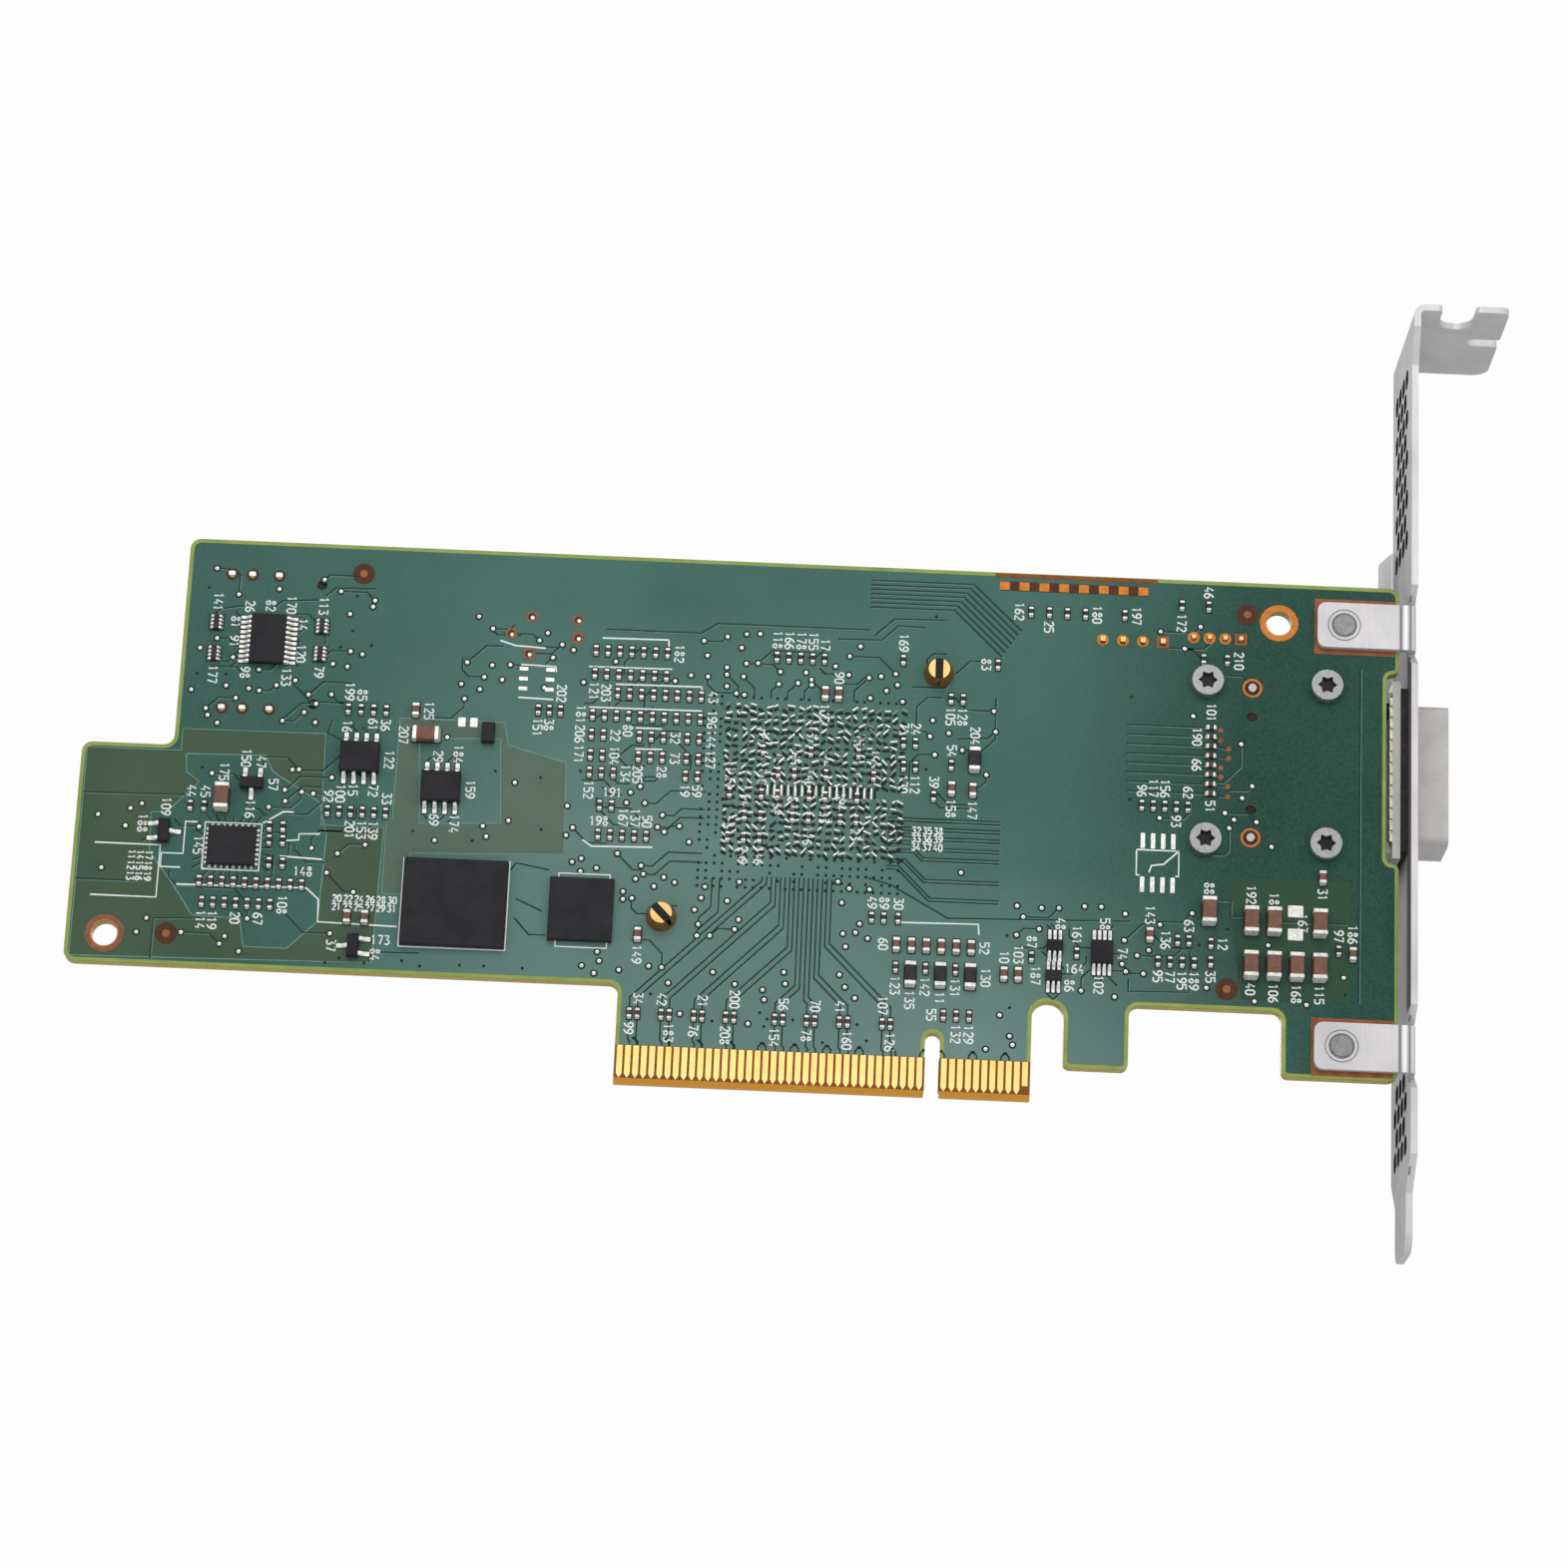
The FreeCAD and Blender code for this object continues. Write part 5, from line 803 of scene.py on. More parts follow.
def scattered(name, shape, spots, finish, slot, *replaced):
    """Piece of many copies of a shape; a spot is its place and size in millimetres and its turn.

    Copies on the component side are turned over.
    """
    seed = bpy.data.meshes.new(name + "_places")
    seed.from_pydata([Vector(place) * MM for place, size, turn in spots], [], [])
    size = seed.attributes.new("size", "FLOAT_VECTOR", "POINT")
    turn = seed.attributes.new("turn", "FLOAT_VECTOR", "POINT")
    for i, spot in enumerate(spots):
        size.data[i].vector = Vector(spot[1]) * MM
        turn.data[i].vector = (0, spot[2], math.pi if spot[0][1] > 0 else 0)
    mesh = grown_mesh(name, seed, SCATTER, {"Shape": shape, "Finish": FINISH[finish]})
    return settle(name, mesh, slot, *replaced)


def lined(name, paths, width, height, finish, face=SOLDER_FACE):
    """Piece of flat lines along paths of (x, z) on a face of the board."""
    corners = []
    edges = []
    for path in paths:
        start = len(corners)
        corners += [Vector((x, z, 0)) * MM for x, z in path]
        edges += [(start + i, start + i + 1) for i in range(len(path) - 1)]
    seed = bpy.data.meshes.new(name + "_paths")
    seed.from_pydata(corners, edges, [])
    values = {"Width": width * MM, "Height": height * MM, "Face": face * MM, "Finish": FINISH[finish]}
    return settle(name, grown_mesh(name, seed, LINES, values), "solder_mask")


# Small shapes, one unit across

BLOCK_EASE = 0.06
SLOPE_SHOULDER = (-0.35, 0.45)
DOME_STEPS = ((0.5, 0.0), (0.44, 0.7), (0.2, 1.0))
DOME_SIDES = 10
LEVEL_ANGLE = 0.01


def hull_shape(name, corners):
    """Convex shape round some corners, to be copied by scattered."""
    built = bmesh.new()
    for corner in corners:
        built.verts.new(corner)
    bmesh.ops.convex_hull(built, input=built.verts)
    bmesh.ops.dissolve_limit(built, angle_limit=LEVEL_ANGLE, verts=built.verts, edges=built.edges)
    bmesh.ops.recalc_face_normals(built, faces=built.faces)
    mesh = bpy.data.meshes.new(name)
    built.to_mesh(mesh)
    built.free()
    shape = bpy.data.objects.new(name, mesh)
    bpy.context.scene.collection.objects.link(shape)
    return shape


def eased_block():
    """Block whose edges are eased."""
    half = 0.5
    inner = half - BLOCK_EASE
    corners = []
    for axis in range(3):
        for side in (-half, half):
            for a, b in square(0, 0, inner):
                corner = [a, b]
                corner.insert(axis, side)
                corners.append(tuple(corner))
    return hull_shape("eased_block", corners)


def solder_slope():
    """Wedge of solder that runs down from a part's end along +Z."""
    section = ((0, 0), (-1, 0), (0, 1), SLOPE_SHOULDER)
    return hull_shape("solder_slope", [(x, y, z) for y, z in section for x in (-0.5, 0.5)])


def low_dome():
    """Flat-topped dome for the solder face."""
    corners = []
    for radius, height in DOME_STEPS:
        corners += [(x, -height, z) for x, z in circle(0, 0, radius, DOME_SIDES)]
    return hull_shape("low_dome", corners)


BLOCK = eased_block()
SLOPE = solder_slope()
DOME = low_dome()


# Chip parts with tinned ends: shares of a part's own size, and sizes in millimetres

BODY_SHARE = 0.95
HIDDEN_END_SHARE = 0.8
END_SHARE = 0.24
END_LIMIT = 0.5
SLOPE_WIDTH_SHARE = 0.9
SLOPE_HEIGHT_SHARE = 0.75
SLOPE_RUN = 0.22
OPENING_MARGIN = 0.13
NETWORK_TERMINALS = 4
TERMINAL_SHARE = 0.6

# Node, finish, slot and terminals on each side
CHIP_PART_NODES = (
    ("small_capacitors", "small_ceramic", "capacitor_ceramic", 1),
    ("coupling_capacitors", "small_ceramic", "capacitor_ceramic", 1),
    ("supply_capacitors", "capacitor_ceramic", "capacitor_ceramic", 1),
    ("bulk_capacitors", "capacitor_ceramic", "capacitor_ceramic", 1),
    ("component_side_capacitors", "capacitor_ceramic", "capacitor_ceramic", 1),
    ("filter_beads", "bead_ferrite", "bead_ferrite", 1),
    ("small_resistors", "resistor_black", "resistor_black", 1),
    ("resistor_networks", "resistor_black", "resistor_black", NETWORK_TERMINALS),
)
SLOPE_TURNS = {(2, 1): 0, (2, -1): math.pi, (0, 1): math.pi / 2, (0, -1): -math.pi / 2}


def face_of(low):
    """Face of the board on which a part with this lowest corner stands."""
    return SOLDER_FACE if low.y < 0 else COMPONENT_FACE


def chip_part_body(low, high, along, end_run):
    """Body of a chip part, a little slimmer than its ends."""
    size = (high - low) * BODY_SHARE
    size[along] = high[along] - low[along] - 2 * HIDDEN_END_SHARE * end_run
    return (middle((low, high)), size, 0)


def chip_part_terminals(low, high, along, end_run, count):
    """Tinned ends of a chip part and the solder that runs down from them."""
    size = high - low
    across = 2 - along
    share = TERMINAL_SHARE if count > 1 else 1.0
    step = size[across] / count
    ends = []
    slopes = []
    for way in (-1, 1):
        for i in range(count):
            place = middle((low, high))
            place[across] += (i - (count - 1) / 2) * step
            place[along] += way * (size[along] - end_run) / 2
            end = size.copy()
            end[along] = end_run
            end[across] = step * share
            ends.append((place, end, 0))
            foot = place.copy()
            foot.y = level_under(face_of(low))
            foot[along] += way * end_run / 2
            turned_way = -way if along == 0 and low.y > 0 else way
            slope = (step * share * SLOPE_WIDTH_SHARE, size.y * SLOPE_HEIGHT_SHARE, SLOPE_RUN)
            slopes.append((foot, slope, SLOPE_TURNS[(along, turned_way)]))
    return ends, slopes


def chip_part_opening(low, high, along):
    """Opening in the mask under a chip part and its solder; its dark colour is partly painted shade round the
    part.
    """
    size = high - low + Vector((2 * OPENING_MARGIN, 0, 2 * OPENING_MARGIN))
    size[along] += 2 * SLOPE_RUN
    place = middle((low, high))
    place.y = face_of(low)
    return (place, (size.x, 2 * OPENING_HEIGHT, size.z), 0)


def chip_part_pieces():
    ends = []
    slopes = []
    openings = []
    for node, finish, slot, count in CHIP_PART_NODES:
        bodies = []
        for low, high in solids_of(node):
            size = high - low
            longer = 2 if size.z >= size.x else 0
            along = longer if count == 1 else 2 - longer
            end_run = min(END_SHARE * size[along], END_LIMIT)
            bodies.append(chip_part_body(low, high, along, end_run))
            more_ends, more_slopes = chip_part_terminals(low, high, along, end_run, count)
            ends += more_ends
            slopes += more_slopes
            openings.append(chip_part_opening(low, high, along))
        scattered(node + "_dressed", BLOCK, bodies, finish, slot, node)
    openings += lead_pads(LEAD_OPENING_MARGIN, OPENING_HEIGHT)
    scattered("chip_part_ends", BLOCK, ends, "end_solder", "tinned_lead")
    scattered("chip_part_solder", SLOPE, slopes, "end_solder", "tinned_lead")
    # Dark openings round the parts and leads: partly mask openings, partly painted shade
    scattered("mask_openings", BLOCK, openings, "mask_opening", "solder_mask")


# Leads of the chips

LEAD_PAD_REACH = 0.5
LEAD_PAD_MARGIN = 0.12
LEAD_OPENING_MARGIN = 0.38
LEAD_CHIPS = ("buffer_chip", "serial_memory_chips", "clock_chip", "supervisor_chips", "transistors")


def lead_course(low, high):
    """Axis along which a lead leaves its chip, and which way."""
    place = middle((low, high))
    axis = 0 if high.x - low.x > high.z - low.z else 2
    chips = [middle(box) for node in LEAD_CHIPS for box in solids_of(node)]
    nearest = min(chips, key=lambda chip: (chip - place).length)
    return axis, 1 if place[axis] > nearest[axis] else -1


def lead_pads(margin, height):
    """Spots of the pads under the leads, drawn out beyond their feet."""
    spots = []
    for low, high in solids_of("chip_leads"):
        axis, way = lead_course(low, high)
        place = middle((low, high))
        size = high - low + Vector((margin, 0, margin))
        place[axis] += way * LEAD_PAD_REACH / 2
        size[axis] += LEAD_PAD_REACH
        spots.append(flat_pad(place.x, place.z, size.x, size.z, height))
    return spots


# Rim of the board and bare laminate round the contacts

MITRE_LIMIT = 0.4
CONTACT_GROUP_GAP = 1.0
GROUND_REACH = 0.28
GROUND_OVER = 0.05
GROUND_UNDER = 0.02


def inset_outline(outline, distance):
    """Outline drawn inwards by a distance."""
    if signed_area(outline) < 0:
        outline = list(reversed(outline))
    n = len(outline)
    inner = []
    for i in range(n):
        before = Vector(outline[i]) - Vector(outline[i - 1])
        after = Vector(outline[(i + 1) % n]) - Vector(outline[i])
        first = Vector((-before.y, before.x)).normalized()
        second = Vector((-after.y, after.x)).normalized()
        mean = (first + second) / max(1 + first.dot(second), MITRE_LIMIT)
        point = Vector(outline[i]) + mean * distance
        inner.append((point.x, point.y))
    return inner


def board_rim():
    outer = inset_outline(board_outline(), RIM_SETBACK)
    inner = inset_outline(board_outline(), RIM_WIDTH)
    shells = [band(outer, inner, RIM_HEIGHT, face) for face in BOTH_FACES]
    flat_piece("board_rim", shells, "bare_laminate", "solder_mask")


def finger_ground():
    """Bare brown laminate between and round the card-edge contacts, on both faces."""
    contacts = solids_of("edge_contacts_solder_side")
    groups = [[contacts[0]]]
    for before, after in zip(contacts, contacts[1:]):
        if after[0].x - before[1].x > CONTACT_GROUP_GAP:
            groups.append([])
        groups[-1].append(after)
    top = contacts[0][1].z + GROUND_OVER
    low = contacts[0][0].z + GROUND_UNDER
    shells = []
    for group in groups:
        ground = rectangle(group[0][0].x - GROUND_REACH, group[-1][1].x + GROUND_REACH, low, top)
        shells += [prism(ground, GROUND_HEIGHT, face) for face in BOTH_FACES]
    flat_piece("finger_ground", shells, "finger_laminate", "solder_mask")


# Bare copper on the board: places, and inner and outer sizes of rings

FIDUCIALS = ((-95.56, 16.6), (-74.28, 65.08), (38.2, 64.59), (36.21, 15.22))
FIDUCIAL_RADIUS = 0.5
FIDUCIAL_WINDOW = 1.4
HOLE_RING = (1.62, 2.45)
HOLE_LIP = (1.62, 1.78)
EAR_PAD_REACH = 3.7
EAR_PAD_SETBACK = 0.6
STRIP_LEFT = 6.63
STRIP_PITCH = 2.52
STRIP_SQUARE = 1.25
STRIP_INSET = 0.08
STRIP_DROP = 1.15
STRIP_COUNT = 8
GILT_LEFT_REACH = 0.6
GILT_RIGHT_REACH = 1.2
GILT_LOW_DROP = 0.62
GILT_TOP_DROP = 0.1
HEADER_PIN_NODES = ("wide_header_pins", "narrow_header_pins")
PIN_WINDOW = 0.46
PIN_RING = (0.42, 0.76)
PIN_SQUARE = (0.4, 0.78)
JUMPER_HOLES = ((-55.07, 57.86), (-52.6, 60.25), (-46.68, 60.05))
JUMPER_SQUARES = ((-52.69, 55.28), (-46.59, 57.65))
JUMPER_RING = (0.48, 0.76)
JUMPER_SQUARE = (0.432, 0.76)
JUMPER_FILL = 0.24
JUMPER_FILL_SHIFT = (0.1, -0.12)
PORT_POST_RING = (0.98, 1.25)
PORT_POST_GAP = (0.7, 1.0)
PORT_VIAS = ((35.0, 48.94), (35.01, 47.61), (36.04, 46.53), (36.05, 45.28), (35.07, 43.98), (35.08, 42.78),
             (35.98, 41.53), (36.0, 40.2))
PORT_VIA_RADIUS = 0.34
TIP_DEPTH = 0.05
TIP_REACH = 2.0

# Finish and slot of the pieces
COPPER_PIECES = {
    "gilt_edge": ("finger_laminate", "gold_plating"),
    "jumper_fills": ("end_solder", "tinned_lead"),
    "bright_copper": ("bare_copper", "gold_plating"),
    "dull_copper_pads": ("dull_copper", "gold_plating"),
    "aged_copper_rings": ("aged_copper", "gold_plating"),
    "dark_windows": ("dark_laminate", "solder_mask"),
}


def standing_out(node):
    """Middles, as (x, z), of the tips of one node that stand out of the solder face."""
    mesh = frame["nodes"][node].data
    tips = []
    for vertex in mesh.vertices:
        point = vertex.co / MM
        if point.y > SOLDER_FACE - TIP_DEPTH:
            continue
        for tip in tips:
            if math.hypot(tip[0].x - point.x, tip[0].z - point.z) < TIP_REACH:
                tip.append(point)
                break
        else:
            tips.append([point])
    return [(sum(p.x for p in tip) / len(tip), sum(p.z for p in tip) / len(tip)) for tip in tips]


def middles(node):
    """Middles, as (x, z), of the solids of one node."""
    return [(middle(box).x, middle(box).z) for box in solids_of(node)]


def hole_rings(shells):
    """Rings round the mounting holes on both faces; the free end's is aged, with a bright lip."""
    free_end, bracket_end = BOARD_HOLES
    bright = shells["bright_copper"]
    shells["aged_copper_rings"].append(ring(free_end.x, free_end.z, *HOLE_RING, PAD_HEIGHT))
    bright.append(ring(free_end.x, free_end.z, *HOLE_LIP, HOLE_HEIGHT))
    bright.append(ring(bracket_end.x, bracket_end.z, *HOLE_RING, PAD_HEIGHT))
    for hole in BOARD_HOLES:
        bright.append(ring(hole.x, hole.z, *HOLE_RING, PAD_HEIGHT, COMPONENT_FACE))


def fiducial_dots(shells):
    for x, z in FIDUCIALS:
        shells["dark_windows"].append(prism(circle(x, z, FIDUCIAL_WINDOW), WINDOW_HEIGHT))
        shells["dull_copper_pads"].append(prism(circle(x, z, FIDUCIAL_RADIUS, SMALL_ROUND), PAD_HEIGHT))


def ear_pads(shells):
    """Pads on which the ears of the bracket lie."""
    for x, z in middles("bracket_screws"):
        right = BOARD_RIGHT - EAR_PAD_SETBACK
        pad = rectangle(x - EAR_PAD_REACH, right, z - EAR_PAD_REACH, z + EAR_PAD_REACH)
        shells["dull_copper_pads"].append(prism(pad, WINDOW_HEIGHT))


def gilt_strip(shells):
    """Row of bare squares along the top edge, with a gilt line over it."""
    top = BOARD_TOP - STRIP_DROP
    low = top - STRIP_SQUARE
    right = STRIP_LEFT + (STRIP_COUNT - 1) * STRIP_PITCH + STRIP_SQUARE
    shells["dark_windows"].append(prism(rectangle(STRIP_LEFT, right, low, top), WINDOW_HEIGHT))
    gilt = rectangle(STRIP_LEFT - GILT_LEFT_REACH, right + GILT_RIGHT_REACH,
                     BOARD_TOP - GILT_LOW_DROP, BOARD_TOP - GILT_TOP_DROP)
    shells["gilt_edge"].append(prism(gilt, OPENING_HEIGHT))
    for i in range(STRIP_COUNT):
        left = STRIP_LEFT + i * STRIP_PITCH
        bare = rectangle(left, left + STRIP_SQUARE, low + STRIP_INSET, top - STRIP_INSET)
        shells["bright_copper"].append(prism(bare, PAD_HEIGHT))


def header_rings(shells):
    """Rings round the pins of the headers; the last pin of each has a square one."""
    for node in HEADER_PIN_NODES:
        places = middles(node)
        for x, z in places:
            shells["dark_windows"].append(prism(circle(x, z, PIN_WINDOW, SMALL_ROUND), OPENING_HEIGHT))
        shells["bright_copper"] += [ring(x, z, *PIN_RING, PAD_HEIGHT) for x, z in places[:-1]]
        shells["dull_copper_pads"].append(square_ring(*places[-1], *PIN_SQUARE, PAD_HEIGHT))


def jumper_rings(shells):
    """Round and square rings of empty holes, with a little solder in each."""
    shells["aged_copper_rings"] += [ring(x, z, *JUMPER_RING, PAD_HEIGHT) for x, z in JUMPER_HOLES]
    shells["aged_copper_rings"] += [square_ring(x, z, *JUMPER_SQUARE, PAD_HEIGHT) for x, z in JUMPER_SQUARES]
    right, up = JUMPER_FILL_SHIFT
    # In each hole there is a dark disc of painted shade, with a little solder set off to one side
    for x, z in JUMPER_HOLES + JUMPER_SQUARES:
        shells["dark_windows"].append(prism(circle(x, z, JUMPER_RING[0], SMALL_ROUND), INK_HEIGHT))
        shells["jumper_fills"].append(prism(circle(x + right, z + up, JUMPER_FILL, TINY_ROUND), HOLE_HEIGHT))


def port_rings(shells):
    """Rings round the posts of the external port, and the row of dull vias beside it."""
    for x, z in standing_out("port_shell"):
        shells["bright_copper"].append(ring(x, z, *PORT_POST_RING, PAD_HEIGHT))
        # Painted shade: a dark ring between each post and its copper ring
        shells["dark_windows"].append(ring(x, z, *PORT_POST_GAP, INK_HEIGHT))
    for x, z in PORT_VIAS:
        shells["dull_copper_pads"].append(prism(circle(x, z, PORT_VIA_RADIUS, TINY_ROUND), PAD_HEIGHT))


def copper_artwork():
    shells = {name: [] for name in COPPER_PIECES}
    for draw in (hole_rings, fiducial_dots, ear_pads, gilt_strip, header_rings, jumper_rings, port_rings):
        draw(shells)
    for name, (finish, slot) in COPPER_PIECES.items():
        flat_piece(name, shells[name], finish, slot)


# Copper areas under the mask and the islands in them, as corners of (x, z)

LEFT_POUR = ((-107.4, 13.3), (-69.9, 13.9), (-69.5, 31.5), (-77.4, 31.5), (-77.6, 43.5), (-95.6, 43.4),
             (-95.6, 40.5), (-107.4, 40.5))
LEFT_ISLAND = ((-94.9, 40.1), (-84.9, 40.3), (-83.9, 38.2), (-77.8, 34.5), (-76.6, 30.2), (-76.9, 18.9),
               (-80.5, 15.3), (-85.9, 15.3), (-86.6, 18.9), (-92.6, 19.1), (-95.2, 22.9), (-98.5, 27.1),
               (-98.7, 32.3), (-96.8, 32.3), (-93.0, 36.5), (-94.7, 37.7))
MIDDLE_POUR = ((-68.4, 46.0), (-68.5, 32.7), (-69.2, 32.6), (-69.2, 22.9), (-66.0, 22.9), (-66.0, 28.3),
               (-46.8, 29.0), (-47.2, 41.0), (-54.6, 43.0), (-55.2, 46.0))
MIDDLE_ISLAND = ((-65.8, 43.4), (-55.6, 43.8), (-54.9, 32.7), (-65.1, 32.2))
RIGHT_POUR = ((36.0, 29.6), (51.5, 29.8), (51.6, 14.0), (38.0, 13.9))
POUR_HOLE_RADIUS = 1.7
SLIT = 0.004


def pierced(outline, x, z, radius):
    """Outline led in from its nearest corner round a hole and back, so that the hole stays open."""
    near = min(range(len(outline)), key=lambda i: math.hypot(outline[i][0] - x, outline[i][1] - z))
    corner = outline[near]
    start = math.atan2(corner[1] - z, corner[0] - x)
    turn = -1 if signed_area(outline) > 0 else 1
    steps = [start + turn * (SLIT + (2 * math.pi - 2 * SLIT) * i / ROUND) for i in range(ROUND + 1)]
    rim = [(x + radius * math.cos(angle), z + radius * math.sin(angle)) for angle in steps]
    return list(outline[:near + 1]) + rim + list(outline[near:])


def copper_areas():
    free_end = BOARD_HOLES[0]
    left_pour = pierced(LEFT_POUR, free_end.x, free_end.z, POUR_HOLE_RADIUS)
    pours = (("left_pour", left_pour, "covered_pour"), ("middle_pour", MIDDLE_POUR, "pale_pour"),
             ("right_pour", RIGHT_POUR, "shaded_pour"))
    for name, area, finish in pours:
        flat_piece(name, [prism(list(area), POUR_HEIGHT)], finish, "solder_mask")
    islands = [prism(list(area), 2 * POUR_HEIGHT) for area in (LEFT_ISLAND, MIDDLE_ISLAND)]
    flat_piece("open_areas", islands, "solder_mask", "solder_mask")
    # Painted highlight: pale lines along the edges of the copper areas
    border_highlights = [list(area) + [area[0]] for area in (LEFT_POUR, MIDDLE_POUR, LEFT_ISLAND, MIDDLE_ISLAND)]
    lined("area_borders", border_highlights, BORDER_WIDTH, 2 * BORDER_HEIGHT, "painted_highlight")


# Room on the solder face

LABELLED_NODES = ("small_capacitors", "small_resistors", "supply_capacitors", "bulk_capacitors",
                  "coupling_capacitors", "filter_beads", "resistor_networks", "buffer_chip",
                  "serial_memory_chips", "clock_chip", "supervisor_chips", "transistors", "chip_leads",
                  "power_manager_chip")
UNLABELLED_NODES = ("large_memory_chip", "small_memory_chip", "diode", "port_screws",
                    "edge_contacts_solder_side", "wide_header_pins", "narrow_header_pins", "heat_sink_pins")
LEAST_RISE = 0.01
PART_MARGIN = 0.3
HOLE_ROOM = 2.8
ROUND_ROOM = 1.0
EAR_ROOM = 4.2
STRIP_SIDE_ROOM = 0.5
STRIP_ROOM = 3
PORT_LEFT = 54.5
EDGE_CELLS = 3

# Plain stretches of mask, as left, right, low and high
BARE_AREAS = ((-72.0, -9.8, 61.5, 68.5), (-72.2, -62.3, 49.0, 62.0), (7.0, 23.0, 26.0, 60.5),
              (41.2, 52.0, 36.5, 53.0))


def box_round(x, z, half_x, half_z):
    """Box as left, right, low and high."""
    return (x - half_x, x + half_x, z - half_z, z + half_z)


class Room:
    """Keeps account of what lies on the solder face, in small squares."""

    CELL = 0.2

    def __init__(self):
        self.taken = set()

    def cells(self, x_low, x_high, z_low, z_high):
        columns = range(math.floor(x_low / self.CELL), math.ceil(x_high / self.CELL))
        rows = range(math.floor(z_low / self.CELL), math.ceil(z_high / self.CELL))
        return [(i, j) for i in columns for j in rows]

    def take(self, *box):
        self.taken.update(self.cells(*box))

    def free(self, *box):
        return not any(cell in self.taken for cell in self.cells(*box))

    def claim(self, *box):
        """Takes a box if it is free, and says whether it was."""
        if not self.free(*box):
            return False
        self.take(*box)
        return True


def inside(outline, x, z):
    """Whether a point lies inside an outline."""
    hit = False
    for a, b in zip(outline, outline[1:] + outline[:1]):
        if (a[1] > z) != (b[1] > z) and x < a[0] + (z - a[1]) * (b[0] - a[0]) / (b[1] - a[1]):
            hit = not hit
    return hit


def take_outside(room):
    """Takes what lies outside the board or close to its edge."""
    outline = board_outline()
    step = Room.CELL
    near = range(-EDGE_CELLS, EDGE_CELLS + 1)
    for i in range(math.floor(BOARD_LOW.x / step), math.ceil(BOARD_HIGH.x / step)):
        for j in range(0, math.ceil(BOARD_TOP / step)):
            if not inside(outline, (i + 0.5) * step, (j + 0.5) * step):
                room.taken.update((i + a, j + b) for a in near for b in near)


def room_on_board():
    room = Room()
    for node in LABELLED_NODES + UNLABELLED_NODES:
        for low, high in solids_of(node):
            if low.y < SOLDER_FACE - LEAST_RISE:
                room.take(low.x - PART_MARGIN, high.x + PART_MARGIN,
                          low.z - PART_MARGIN, high.z + PART_MARGIN)
    for hole in BOARD_HOLES:
        room.take(*box_round(hole.x, hole.z, HOLE_ROOM, HOLE_ROOM))
    rounds = FIDUCIALS + JUMPER_HOLES + JUMPER_SQUARES + PORT_VIAS
    rounds += tuple(standing_out("port_shell") + standing_out("internal_port_cover"))
    for x, z in rounds:
        room.take(*box_round(x, z, ROUND_ROOM, ROUND_ROOM))
    for x, z in middles("bracket_screws"):
        room.take(x - EAR_ROOM, BOARD_RIGHT, z - EAR_ROOM, z + EAR_ROOM)
    strip_right = STRIP_LEFT + STRIP_COUNT * STRIP_PITCH
    room.take(STRIP_LEFT - STRIP_SIDE_ROOM, strip_right, BOARD_TOP - STRIP_ROOM, BOARD_TOP)
    port_low, port_high = (corner.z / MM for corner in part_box("port_shell"))
    room.take(PORT_LEFT, BOARD_RIGHT, port_low, port_high)
    for area in BARE_AREAS:
        room.take(*area)
    take_outside(room)
    return room


# Printed legend: lines and plain running numbers

# Strokes of the numerals on a field two wide and four high
NUMERAL_STROKES = {
    "0": (((0, 0.7), (0, 3.3), (0.7, 4), (1.3, 4), (2, 3.3), (2, 0.7), (1.3, 0), (0.7, 0), (0, 0.7)),),
    "1": (((0.3, 3.2), (1, 4), (1, 0)),),
    "2": (((0, 3.3), (0.7, 4), (1.4, 4), (2, 3.3), (2, 2.6), (0, 0), (2, 0)),),
    "3": (((0, 4), (2, 4), (1, 2.4), (2, 1.6), (2, 0.7), (1.3, 0), (0, 0.3)),),
    "4": (((1.3, 4), (0, 1.3), (2, 1.3)), ((1.5, 0.6), (1.5, 0))),
    "5": (((2, 4), (0, 4), (0, 2.3), (1.3, 2.5), (2, 1.8), (2, 0.7), (1.3, 0), (0, 0.2)),),
    "6": (((1.8, 4), (0.6, 3.2), (0, 1.8), (0, 0.6), (0.7, 0), (1.4, 0), (2, 0.7), (2, 1.5), (1.3, 2.2),
           (0.7, 1.9)),),
    "7": (((0, 4), (2, 4), (0.8, 0)),),
    "8": (((0.9, 2.5), (0.3, 3.1), (0.6, 4), (1.4, 4), (1.7, 3.1), (1.1, 2.5)),
          ((0.9, 1.8), (0, 1.1), (0.5, 0), (1.5, 0), (2, 1.1), (1.1, 1.8))),
    "9": (((0.2, 0), (1.4, 0.8), (2, 2.2), (2, 3.4), (1.3, 4), (0.6, 4), (0, 3.3), (0, 2.5), (0.7, 1.8),
           (1.3, 2.1)),),
}
FIELD_WIDTH = 2
FIELD_HEIGHT = 4
NUMERAL_HEIGHT = 1.12
NUMERAL_STEP = 0.82
NUMERAL_MARGIN = 0.1
LABEL_REACH = 0.55
FIRST_LABEL = 10

# Left, right, low and high of fields that are filled with numbers, and whether those stand upright
NUMBER_LISTS = ((-101.2, -97.9, 21.9, 27.3, True), (-75.4, -67.0, 19.4, 22.6, False),
                (-3.6, 0.8, 31.2, 34.6, False))
FIRST_LISTED = 11
LIST_HEIGHT = 0.84
LIST_PITCH = 1.08
LIST_RUN = 1.38

